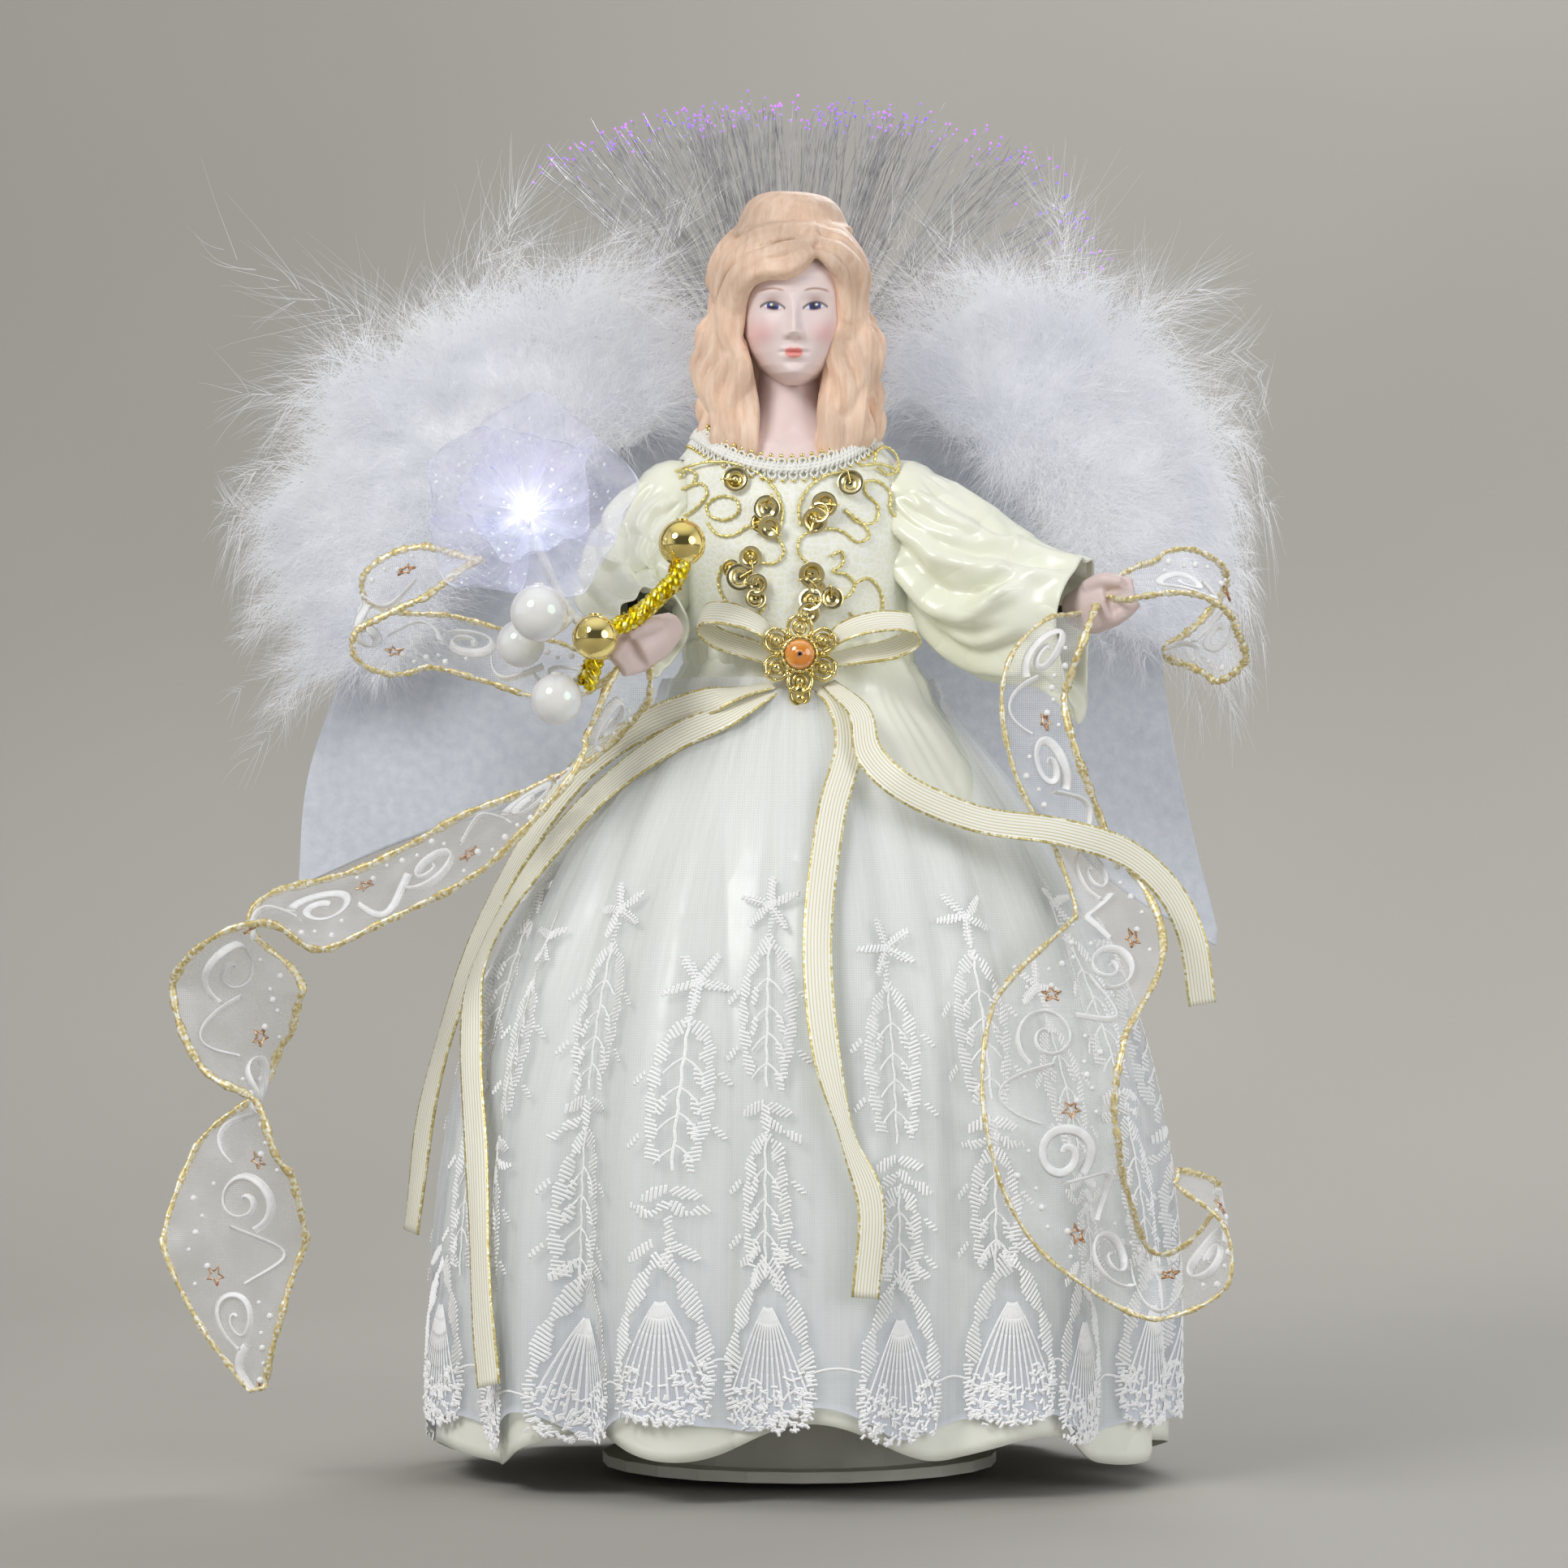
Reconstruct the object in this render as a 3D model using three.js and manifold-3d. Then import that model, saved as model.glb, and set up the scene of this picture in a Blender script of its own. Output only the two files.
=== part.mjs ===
// Angel tree topper with a fan of light fibres, a lit flower and a battery box under the skirt.
// Millimetres, +Z up. The figure faces -Y, and its right arm is at -X.
// The origin is the centre of the cone's foot, on the axis of the tree's leader.
import * as THREE from 'three';
import { mergeVertices } from 'three/addons/utils/BufferGeometryUtils.js';
import Module from 'manifold-3d';

const wasm = await Module();
wasm.setup();

// Clearances
const FIT_GAP = 0.3;
const JOINT_GAP = 0.6;
const LAYER_GAP = 1.3;

// Cone that slips over the top shoot of the tree
const CONE_HEIGHT = 140;
const CONE_BASE_RADIUS = 37;
const CONE_TOP_RADIUS = 15;
const CONE_WALL = 1.8;
const FLANGE_RADIUS = 44;
const FLANGE_THICKNESS = 2.4;
const CONE_HOLE_RADIUS = 4;
const PAD_WIDTH = 36;
const PAD_HEIGHT = 62;
const PAD_FACE_Y = 38;

// Torso: rise above the waist, half width, depth in front, depth behind
const TORSO_TAIL = 35.7;
const TORSO_TOP_RISE = 42;
const WAIST_HALF_WIDTH = 22.5;
const WAIST_FRONT = 20;
const WAIST_BACK = 18;
const BUST_RISE = 28;
const BUST_HALF_WIDTH = 25.5;
const BUST_FRONT = 20.5;
const TORSO_LEAN = -0.06;

// Bodice and its trim
const BODICE_CLOTH = 1.2;
const NECK_SIDE_RISE = 56;
const NECK_FRONT_DROP = 9;
const NECK_BACK_DROP = 2;
const TRIM_RADIUS = 1.7;

// Skirts
const SKIRT_HEM_RADIUS = 81;
const SKIRT_DEPTH_RATIO = 0.9;
const SKIRT_DOME = 3.1;
const FOLD_COUNT = 13;
const FOLD_DEPTH = 2.6;
const UNDERSKIRT_CLOTH = 1.2;
const OVERSKIRT_CLOTH = 0.8;
const UNDERSKIRT_HEM_Z = 1.5;
const UNDERSKIRT_HEM_WAVE = 8;
const HEM_FRONT_LIFT = 6.5;
const OVERSKIRT_HEM_Z = 8.5;
const OVERSKIRT_HEM_WAVE = 5;
const OVERSKIRT_TOP_DROP = 8;
const OVERSKIRT_OPEN_DROP = 24;

// Sash, bow and brooch
const SASH_WIDTH = 7;
const SASH_THICKNESS = 0.8;
const BOW_REACH_RIGHT = 23;
const BOW_REACH_LEFT = 25;
const BOW_LOOP_HEIGHT = 9;
const KNOT_SIZE = 8;
const BROOCH_RADIUS = 8.5;
const BROOCH_THICKNESS = 1.8;
const BROOCH_LOBES = 6;
const STONE_RADIUS = 3.2;

// Shoulders, sleeves and hands
const SHOULDER_HALF_SPAN = 25.5;
const SHOULDER_RISE = 38;
const SHOULDER_Y = -2;
const SHOULDER_BALL = 9.5;
const LOWEST_SWING = 4.5;
const WIRE_RADIUS = 1.1;
const CUFF_CLOTH = 1.4;
const CUFF_DEPTH = 13;
const SLEEVE_FOLD = 0.7;

// Head and moulded hair
const SKULL_HALF_WIDTH = 13.5;
const SKULL_HALF_DEPTH = 15.5;
const SKULL_HALF_HEIGHT = 17.5;
const HEAD_RISE = 82;
const HAIR_HALF_WIDTH = 18.5;
const HAIR_HALF_DEPTH = 18;
const HAIR_HALF_HEIGHT = 19;
const BUN_RADIUS = 11.5;
const BUN_HEIGHT = 9.5;
const NECK_RADIUS = 7.5;

// Light unit and fibre fan
const LIGHT_RADIUS = 7;
const LIGHT_LENGTH = 36;
const LIGHT_X = -2;
const LIGHT_Y = 3;
const FERRULE_RADIUS = 4.5;
const FERRULE_LENGTH = 9;
const BUNDLE_RADIUS = 3.6;
const FAN_RISE = 46;
const FAN_Y = 40;
const FAN_THICKNESS = 5;
const FAN_HALF_ANGLE = 39;
const COMB_INNER = 20;
const COMB_OUTER = 26;
const FIBRE_REACH = 83;
const FIBRE_SIDE_EXTRA = 9;
const FIBRE_RADIUS = 0.26;
const FIBRES_ACROSS = 15;
const FIBRE_LAYERS = 5;
const FIBRE_SPREAD = 2.4;
const COMB_COUNT = 4;

// Wings
const WING_THICKNESS = 2.4;
const WING_Y = 30;
const WING_SWEEP = 6;
const WING_ROOT_X = 8;
const MARABOU_RADIUS = 15;
const MARABOU_DEPTH = 9;
const BLOCK_HALF_WIDTH = 13;
const BLOCK_HEIGHT = 36;

// Battery box for three AA cells
const CELL_RADIUS = 7.15;
const CELL_LENGTH = 50;
const CELL_PITCH = 15.2;
const BOX_WALL = 1.6;
const BOX_LIP = 1.5;
const BOX_RISE = 6;
const DOOR_THICKNESS = 1.6;
const CONTACT_THICKNESS = 0.6;
const SPRING_HEIGHT = 3.2;
const SPRING_RADIUS = 4;
const SPRING_WIRE = 0.45;
const SPRING_TURNS = 2.5;
const SWITCH_TRAVEL = 3;
const SWITCH_LENGTH = 5;
const SWITCH_WIDTH = 3.4;
const LEAD_RADIUS = 1;

// Flower pick
const PETAL_LENGTH = 25;
const PETAL_HALF_WIDTH = 13.5;
const PETAL_CUP = 10;
const PETAL_CLOTH = 0.8;
const OUTER_PETALS = 5;
const INNER_PETALS = 5;
const LED_RADIUS = 2.5;
const STEM_RADIUS = 1.1;
const GOLD_STEM_RADIUS = 2;
const PEARL_RADIUS = 6.2;
const GOLD_BALL_RADIUS = 5.2;

// Wired ribbon garland
const GARLAND_WIDTH = 29;
const GARLAND_THICKNESS = 0.7;

const WAIST_Z = CONE_HEIGHT + FIT_GAP + TORSO_TAIL;
const RAD = Math.PI / 180;

const V = (x, y, z) => new THREE.Vector3(x, y, z);
const P = (x, y, rise) => V(x, y, WAIST_Z + rise);
const curveOf = (points) => new THREE.CatmullRomCurve3(points);
const wobble = (n) => Math.sin(n * 12.9898) * Math.cos(n * 4.1414 + 0.7);

// A closed skin over rings with the same number of points. Open runs of rings are capped at each end.
function loft(rings, loop = false, sheet = false) {
  const count = rings[0].length;
  const points = rings.flat();
  const index = [];
  const spans = loop ? rings.length : rings.length - 1;
  for (let i = 0; i < spans; i++) {
    const next = (i + 1) % rings.length;
    for (let j = 0; j < count; j++) {
      const k = (j + 1) % count;
      const quad = [i * count + j, i * count + k, next * count + k, next * count + j];
      const turned = sheet && j >= count / 2;
      const order = turned ? [0, 1, 3, 1, 2, 3] : [0, 1, 2, 0, 2, 3];
      index.push(...order.map((corner) => quad[corner]));
    }
  }
  if (!loop) {
    for (const [row, turn] of [[0, 1], [rings.length - 1, -1]]) {
      for (let j = 1; j < count - 1; j++) {
        const [a, b] = turn > 0 ? [j + 1, j] : [j, j + 1];
        index.push(row * count, row * count + a, row * count + b);
      }
    }
  }
  const geometry = new THREE.BufferGeometry().setFromPoints(points);
  geometry.setIndex(index);
  return geometry;
}

// The closed body of a geometry, turned the right way out.
function solid(geometry) {
  const bare = new THREE.BufferGeometry();
  bare.setAttribute('position', geometry.getAttribute('position').clone());
  bare.setIndex(geometry.getIndex());
  const merged = mergeVertices(bare, 1e-4);
  const corners = merged.getAttribute('position');
  const tris = [];
  let volume = 0;
  const [a, b, c] = [V(), V(), V()];
  const old = merged.getIndex().array;
  for (let i = 0; i < old.length; i += 3) {
    const [p, q, r] = [old[i], old[i + 1], old[i + 2]];
    if (p === q || q === r || r === p) continue;
    tris.push(p, q, r);
    a.fromBufferAttribute(corners, p);
    b.fromBufferAttribute(corners, q);
    c.fromBufferAttribute(corners, r);
    volume += a.dot(b.cross(c));
  }
  if (volume < 0) tris.reverse();
  return new wasm.Manifold(new wasm.Mesh({
    numProp: 3,
    vertProperties: new Float32Array(corners.array),
    triVerts: new Uint32Array(tris),
  }));
}

const join = (solids) => wasm.Manifold.union(solids);

function geometryOf(body) {
  const mesh = body.getMesh();
  const geometry = new THREE.BufferGeometry();
  geometry.setAttribute('position', new THREE.BufferAttribute(new Float32Array(mesh.vertProperties), 3));
  geometry.setIndex(Array.from(mesh.triVerts));
  return geometry;
}

// The largest body of a cut piece, so that slivers are left behind.
function mainBody(body) {
  return body.decompose().sort((p, q) => q.volume() - p.volume())[0];
}

function box(x0, x1, y0, y1, z0, z1) {
  const geometry = new THREE.BoxGeometry(x1 - x0, y1 - y0, z1 - z0);
  return solid(geometry.translate((x0 + x1) / 2, (y0 + y1) / 2, (z0 + z1) / 2));
}

function rod(radius, z0, z1, x, y, sides = 18) {
  const geometry = new THREE.CylinderGeometry(radius, radius, z1 - z0, sides).rotateX(Math.PI / 2);
  return solid(geometry.translate(x, y, (z0 + z1) / 2));
}

function ball(centre, rx, ry = rx, rz = rx, around = 14, up = 9) {
  const geometry = new THREE.SphereGeometry(1, around, up).rotateX(Math.PI / 2);
  return solid(geometry.scale(rx, ry, rz).translate(centre.x, centre.y, centre.z));
}

function turned(profile, segments = 24) {
  const points = profile.map(([r, z]) => new THREE.Vector2(r, z));
  return solid(new THREE.LatheGeometry(points, segments).rotateX(Math.PI / 2));
}

// A tube along a curve. size(u, angle) gives the half size across and up at each point of the ring.
function sweep(curve, steps, sides, size, up = V(0, 0, 1)) {
  const rings = [];
  for (let i = 0; i <= steps; i++) {
    const u = i / steps;
    const centre = curve.getPointAt(u);
    const along = curve.getTangentAt(u);
    const across = along.clone().cross(up).normalize();
    const rise = across.clone().cross(along).normalize();
    const ring = [];
    for (let j = 0; j < sides; j++) {
      const angle = (j / sides) * 2 * Math.PI;
      const [half, tall] = size(u, angle);
      ring.push(centre.clone()
        .addScaledVector(across, half * Math.cos(angle))
        .addScaledVector(rise, tall * Math.sin(angle)));
    }
    rings.push(ring);
  }
  return solid(loft(rings));
}

// A round tube that keeps its ring from spinning along a bent route.
function tube(points, radius, steps, sides = 6) {
  const curve = curveOf(points);
  const ring = new THREE.Shape().absarc(0, 0, radius, 0, 2 * Math.PI);
  return solid(new THREE.ExtrudeGeometry(ring, {
    steps,
    curveSegments: sides / 2,
    extrudePath: curve,
    bevelEnabled: false,
  }));
}

// A flat strip along route stations, each with a middle point, the direction of its width and a share of it.
function strip(stations, width, thickness, steps, taper = () => 1) {
  const curve = curveOf(stations.map((s) => s.at));
  const rings = [];
  for (let i = 0; i <= steps; i++) {
    const u = i / steps;
    const place = u * (stations.length - 1);
    const k = Math.min(stations.length - 2, Math.floor(place));
    const centre = curve.getPoint(u);
    const along = curve.getTangent(u);
    const wide = stations[k].wide.clone().lerp(stations[k + 1].wide, place - k);
    wide.addScaledVector(along, -wide.dot(along)).normalize();
    const face = along.clone().cross(wide).normalize();
    const share = THREE.MathUtils.lerp(stations[k].share, stations[k + 1].share, place - k);
    const w = (width / 2) * share * taper(u);
    const t = thickness / 2;
    rings.push([[w, t], [-w, t], [-w, -t], [w, -t]].map(([p, q]) => centre.clone()
      .addScaledVector(wide, p)
      .addScaledVector(face, q)));
  }
  return solid(loft(rings, false, true));
}

const station = (at, wide, share = 1) => ({ at, wide: wide.clone().normalize(), share });

// Torso rows: rise, half width, front, back
const TORSO_ROWS = [
  [-TORSO_TAIL, CONE_TOP_RADIUS, CONE_TOP_RADIUS - 1, CONE_TOP_RADIUS - 1],
  [-TORSO_TAIL / 2, (CONE_TOP_RADIUS + WAIST_HALF_WIDTH) / 2, (CONE_TOP_RADIUS + WAIST_FRONT) / 2, 16],
  [0, WAIST_HALF_WIDTH, WAIST_FRONT, WAIST_BACK],
  [BUST_RISE / 2, (WAIST_HALF_WIDTH + BUST_HALF_WIDTH) / 2 - 0.5, BUST_FRONT - 1, WAIST_BACK - 1.5],
  [BUST_RISE, BUST_HALF_WIDTH, BUST_FRONT, WAIST_BACK - 1.5],
  [SHOULDER_RISE, BUST_HALF_WIDTH + 1, BUST_FRONT - 2, WAIST_BACK - 2],
  [SHOULDER_RISE + 8, BUST_HALF_WIDTH + 0.5, BUST_FRONT - 4.5, WAIST_BACK - 2.5],
  [SHOULDER_RISE + 14, BUST_HALF_WIDTH - 1.5, BUST_FRONT - 6.5, WAIST_BACK - 3],
  [NECK_SIDE_RISE + 2, BUST_HALF_WIDTH - 4, BUST_FRONT - 7.5, WAIST_BACK - 3.5],
];

function torsoAt(rise) {
  let k = 0;
  while (k < TORSO_ROWS.length - 2 && TORSO_ROWS[k + 1][0] < rise) k++;
  const [low, high] = [TORSO_ROWS[k], TORSO_ROWS[k + 1]];
  const t = (rise - low[0]) / (high[0] - low[0]);
  return [1, 2, 3].map((i) => low[i] + (high[i] - low[i]) * t);
}

function torsoPoint(angle, rise, offset) {
  const [half, front, back] = torsoAt(rise);
  const s = Math.sin(angle);
  const x = TORSO_LEAN * Math.max(0, rise) + (half + offset) * Math.cos(angle);
  return P(x, ((s < 0 ? front : back) + offset) * s, rise);
}

const around = (count) => Array.from({ length: count }, (_, i) => (i / count) * 2 * Math.PI);
const torsoRing = (rise, offset, count = 32) => around(count).map((a) => torsoPoint(a, rise, offset));
const neckline = (angle) => NECK_SIDE_RISE
  - NECK_FRONT_DROP * Math.max(0, -Math.sin(angle)) ** 2
  - NECK_BACK_DROP * Math.max(0, Math.sin(angle)) ** 2;
const BODICE_IN = FIT_GAP * 2;
const BODICE_OUT = BODICE_IN + BODICE_CLOTH;
const BODY_SIDES = 20;

// Skirt surface: angle from the +X axis, share of the way down, offset outwards
const SKIRT_TOP_RADIUS = WAIST_HALF_WIDTH + FIT_GAP + UNDERSKIRT_CLOTH;

function skirtRadius(angle, z, offset) {
  const t = THREE.MathUtils.clamp((WAIST_Z - z) / WAIST_Z, 0, 1);
  const bell = SKIRT_TOP_RADIUS + (SKIRT_HEM_RADIUS - SKIRT_TOP_RADIUS) * (1 - (1 - t) ** SKIRT_DOME);
  const phase = FOLD_COUNT * angle + 1.2 * Math.sin(3 * angle) + 0.8 * Math.sin(2 * angle + 1);
  return bell + FOLD_DEPTH * t ** 0.8 * Math.cos(phase) + offset;
}

function skirtPoint(angle, z, offset) {
  const r = skirtRadius(angle, z, offset);
  const t = THREE.MathUtils.clamp((WAIST_Z - z) / 40, 0, 1);
  const depth = THREE.MathUtils.lerp(WAIST_FRONT / WAIST_HALF_WIDTH, SKIRT_DEPTH_RATIO, t);
  return V(r * Math.cos(angle), r * depth * Math.sin(angle), z);
}

function skirtShell(inner, outer, topOf, hemOf, count, rows) {
  return solid(loft(around(count).map((angle) => {
    const section = [];
    for (let side = 0; side < 2; side++) {
      for (let i = 0; i <= rows; i++) {
        const u = side === 0 ? i / rows : 1 - i / rows;
        const z = topOf(angle) + (hemOf(angle) - topOf(angle)) * u ** 1.5;
        section.push(skirtPoint(angle, z, side === 0 ? outer : inner));
      }
    }
    return section;
  }), true));
}

const OVERSKIRT_IN = LAYER_GAP;
const OVERSKIRT_OUT = OVERSKIRT_IN + OVERSKIRT_CLOTH;
const openSide = (angle) => Math.exp(-(((angle - 5.45) / 0.42) ** 2));
const frontShare = (angle) => Math.max(0, -Math.sin(angle)) ** 2;
const underHem = (angle) => UNDERSKIRT_HEM_Z + HEM_FRONT_LIFT * frontShare(angle)
  + UNDERSKIRT_HEM_WAVE * (0.5 + 0.5 * Math.sin(9 * angle + 2.83)) * (0.5 + 0.5 * frontShare(angle));
const overHem = (angle) => OVERSKIRT_HEM_Z + HEM_FRONT_LIFT * frontShare(angle)
  + OVERSKIRT_HEM_WAVE * (0.5 + 0.5 * Math.cos(FOLD_COUNT * angle + 1.2 * Math.sin(3 * angle)));
const overTop = (angle) => WAIST_Z - OVERSKIRT_TOP_DROP - OVERSKIRT_OPEN_DROP * openSide(angle);

// Materials
const look = (color, roughness, metalness = 0) => ({ color, roughness, metalness });
const PLASTIC = look(0xe9e7e0, 0.5);
const FOAM = look(0xf2f0ea, 0.9);
const BISQUE = look(0xf0cdb6, 0.55);
const SATIN = look(0xf1efd6, 0.35);
const ORGANZA = look(0xf5f6f2, 0.5);
const LACE = look(0xfafaf5, 0.8);
const RIBBON = look(0xe6dca8, 0.45, 0.2);
const GOLD = look(0xd9b24a, 0.25, 1);
const AMBER = look(0xe08a1c, 0.1);
const FELT = look(0xf4f6fa, 0.95);
const FEATHER = look(0xfbfbfd, 0.95);
const FIBRE = look(0xb9b8c6, 0.25);
const DARK = look(0x1c1c1e, 0.6);
const STEEL = look(0xc8ccd0, 0.3, 1);
const PEARL = look(0xf4f1ec, 0.2);
const PETAL = look(0xe8ebfb, 0.4);
const LED = look(0xf3f6ff, 0.15);
const CELL = look(0x3c6a9c, 0.4, 0.4);

const topper = new THREE.Group();
topper.name = 'angel_tree_topper';

function add(name, body, finish, parent = topper) {
  const geometry = body.isBufferGeometry ? body : geometryOf(body);
  const mesh = new THREE.Mesh(geometry, new THREE.MeshStandardMaterial(finish));
  mesh.name = name;
  parent.add(mesh);
  return mesh;
}

// Routes that several pieces share
const lean = (rise) => TORSO_LEAN * rise;
const SHOULDER_RIGHT = P(lean(SHOULDER_RISE) - SHOULDER_HALF_SPAN, SHOULDER_Y, SHOULDER_RISE);
const SHOULDER_LEFT = P(lean(SHOULDER_RISE) + SHOULDER_HALF_SPAN, SHOULDER_Y, SHOULDER_RISE);
const fromRight = (x, y, z) => V(x, y, z).add(SHOULDER_RIGHT);
const fromLeft = (x, y, z) => V(x, y, z).add(SHOULDER_LEFT);

const LIGHT_BASE = WAIST_Z - LIGHT_LENGTH * 0.78;
const LIGHT_TOP = LIGHT_BASE + LIGHT_LENGTH;
const FERRULE_TOP = LIGHT_TOP + FIT_GAP + FERRULE_LENGTH;
const FAN_CENTRE = P(LIGHT_X, FAN_Y, FAN_RISE);
const bundleRoute = [
  V(LIGHT_X, LIGHT_Y, FERRULE_TOP + FIT_GAP * 2),
  V(LIGHT_X, LIGHT_Y, FERRULE_TOP + 4),
  V(LIGHT_X, LIGHT_Y + 2, FERRULE_TOP + 8),
  P(LIGHT_X, LIGHT_Y + 11, FAN_RISE - 14),
  P(LIGHT_X, FAN_Y - 12, FAN_RISE - 10),
  P(LIGHT_X, FAN_Y - 1.5, FAN_RISE - 3),
  P(LIGHT_X, FAN_Y, FAN_RISE + 8),
];
const BOX_Y0 = PAD_FACE_Y + FIT_GAP;
const BOX_Z0 = BOX_RISE;
const CELL_Y = BOX_Y0 + BOX_WALL + FIT_GAP + CELL_RADIUS;
const CONTACT_ROOM = CONTACT_THICKNESS + FIT_GAP;
const CELL_Z0 = BOX_Z0 + BOX_WALL + CONTACT_ROOM + SPRING_HEIGHT + FIT_GAP;
const CELL_Z1 = CELL_Z0 + CELL_LENGTH;
const BOX_Z1 = CELL_Z1 + FIT_GAP + CONTACT_ROOM + BOX_WALL;
const leadRoute = [
  V(0, CELL_Y, BOX_Z1 + FIT_GAP),
  V(0, CELL_Y - 1, BOX_Z1 + 14),
  V(0, CONE_TOP_RADIUS + 18, CONE_HEIGHT * 0.75),
  V(LIGHT_X, CONE_TOP_RADIUS, CONE_HEIGHT * 0.92),
  V(LIGHT_X, LIGHT_Y + 1.5, CONE_HEIGHT + 1),
  V(LIGHT_X, LIGHT_Y, LIGHT_BASE - FIT_GAP),
];

// Base cone with its foot and the flat pad for the battery box
const coneOuter = [[FLANGE_RADIUS, 0], [FLANGE_RADIUS, FLANGE_THICKNESS], [CONE_BASE_RADIUS, FLANGE_THICKNESS],
  [CONE_TOP_RADIUS, CONE_HEIGHT], [CONE_HOLE_RADIUS, CONE_HEIGHT]];
const coneInner = [[CONE_HOLE_RADIUS, CONE_HEIGHT - CONE_WALL],
  [CONE_TOP_RADIUS - CONE_WALL, CONE_HEIGHT - CONE_WALL], [CONE_BASE_RADIUS - CONE_WALL, 0]];
const coneHollow = turned([[0, -1], [CONE_BASE_RADIUS - CONE_WALL, -1], [CONE_BASE_RADIUS - CONE_WALL, 0],
  [CONE_TOP_RADIUS - CONE_WALL, CONE_HEIGHT - CONE_WALL], [0, CONE_HEIGHT - CONE_WALL]]);
const pad = box(-PAD_WIDTH / 2, PAD_WIDTH / 2, CONE_TOP_RADIUS, PAD_FACE_Y, BOX_RISE, BOX_RISE + PAD_HEIGHT);
const leadRoom = tube(leadRoute, LEAD_RADIUS + FIT_GAP, 14, 4);
const cone = turned([...coneOuter, ...coneInner, coneOuter[0]]).add(pad.subtract(coneHollow));
add('base_cone', mainBody(cone.subtract(leadRoom)), PLASTIC);

// Torso core with the bore of the light unit
const shoulderRooms = join([SHOULDER_RIGHT, SHOULDER_LEFT].map((c) => ball(
  c, SHOULDER_BALL + JOINT_GAP, SHOULDER_BALL + JOINT_GAP, SHOULDER_BALL + JOINT_GAP, 12, 8)));
const bundleRoom = tube(bundleRoute, BUNDLE_RADIUS + JOINT_GAP, 12, 10);
const lightRoom = join([
  rod(LIGHT_RADIUS + FIT_GAP, WAIST_Z - TORSO_TAIL - 1, LIGHT_TOP + FIT_GAP / 2, LIGHT_X, LIGHT_Y),
  rod(FERRULE_RADIUS + JOINT_GAP, LIGHT_TOP - 1, FERRULE_TOP + BUNDLE_RADIUS, LIGHT_X, LIGHT_Y),
  bundleRoom,
]);
const coreRows = [...TORSO_ROWS.map((row) => row[0]).filter((rise) => rise < TORSO_TOP_RISE), TORSO_TOP_RISE];
const core = solid(loft(coreRows.map((rise) => torsoRing(rise, 0, BODY_SIDES))));
add('torso_core', mainBody(core.subtract(shoulderRooms).subtract(lightRoom)), FOAM);

// Bodice shell, open at the neck, the armholes and the way out of the fibres
const bodiceRises = TORSO_ROWS.map((row) => row[0]).filter((rise) => rise > 0 && rise < NECK_SIDE_RISE - NECK_FRONT_DROP);
const bodiceShell = solid(loft(around(BODY_SIDES).map((angle) => {
  const rises = [FIT_GAP, ...bodiceRises, neckline(angle)];
  return [
    ...rises.map((rise) => torsoPoint(angle, rise, BODICE_OUT)),
    ...rises.reverse().map((rise) => torsoPoint(angle, rise, BODICE_IN)),
  ];
}), true));
add('bodice', mainBody(bodiceShell.subtract(shoulderRooms).subtract(bundleRoom)), SATIN);

// Braid round the neckline
const trimOut = BODICE_OUT + FIT_GAP + TRIM_RADIUS;
const braid = solid(loft(around(30).map((angle) => around(5).map((turn) => {
  const out = trimOut + TRIM_RADIUS * Math.cos(turn);
  return torsoPoint(angle, neckline(angle) - TRIM_RADIUS + TRIM_RADIUS * Math.sin(turn), out);
})), true));
add('neckline_trim', braid, LACE);

// Satin underskirt and sheer overskirt, both hung from the waist in the same folds
const underTop = () => WAIST_Z;
add('underskirt', skirtShell(-UNDERSKIRT_CLOTH, 0, underTop, underHem, 65, 6), SATIN);
add('overskirt', skirtShell(OVERSKIRT_IN, OVERSKIRT_OUT, overTop, overHem, 65, 5), ORGANZA);

// Sash round the waist, knot, bow loops and four tails
const sashIn = BODICE_OUT + FIT_GAP;
const sash = solid(loft(around(24).map((angle) => [[0, 0], [1, 0], [1, 1], [0, 1]].map(([out, up]) => torsoPoint(
  angle, up * SASH_WIDTH + FIT_GAP, sashIn + out * SASH_THICKNESS))), true));
add('waist_sash', sash, RIBBON);
const KNOT_Y = -(WAIST_FRONT + sashIn + SASH_THICKNESS + FIT_GAP);
const KNOT_RISE = FIT_GAP + SASH_WIDTH / 2;
const KNOT_DEPTH = KNOT_SIZE * 0.65;
const knot = box(-KNOT_SIZE / 2, KNOT_SIZE / 2, KNOT_Y - KNOT_DEPTH, KNOT_Y,
  WAIST_Z + KNOT_RISE - KNOT_SIZE / 2, WAIST_Z + KNOT_RISE + KNOT_SIZE / 2);
add('bow_knot', knot, RIBBON);

function bowLoop(side, reach) {
  const root = side * (KNOT_SIZE / 2 + FIT_GAP * 3);
  const y = KNOT_Y - KNOT_DEPTH / 2;
  const up = BOW_LOOP_HEIGHT / 2;
  const wide = V(0, 1, 0.35);
  return strip([
    station(P(root, y, KNOT_RISE + 1.2), wide),
    station(P(root + side * (reach - KNOT_SIZE) * 0.5, y, KNOT_RISE + up + 2.5), wide),
    station(P(side * reach * 0.92, y - 1, KNOT_RISE + up), wide),
    station(P(side * reach, y - 1.5, KNOT_RISE), wide),
    station(P(side * reach * 0.9, y - 1, KNOT_RISE - up), wide),
    station(P(root + side * (reach - KNOT_SIZE) * 0.4, y, KNOT_RISE - up + 0.5), wide),
    station(P(root, y, KNOT_RISE - 1.6), wide),
  ], SASH_WIDTH * 0.6, SASH_THICKNESS, 16);
}
add('bow_loop_right', bowLoop(-1, BOW_REACH_RIGHT), RIBBON);
add('bow_loop_left', bowLoop(1, BOW_REACH_LEFT), RIBBON);

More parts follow.
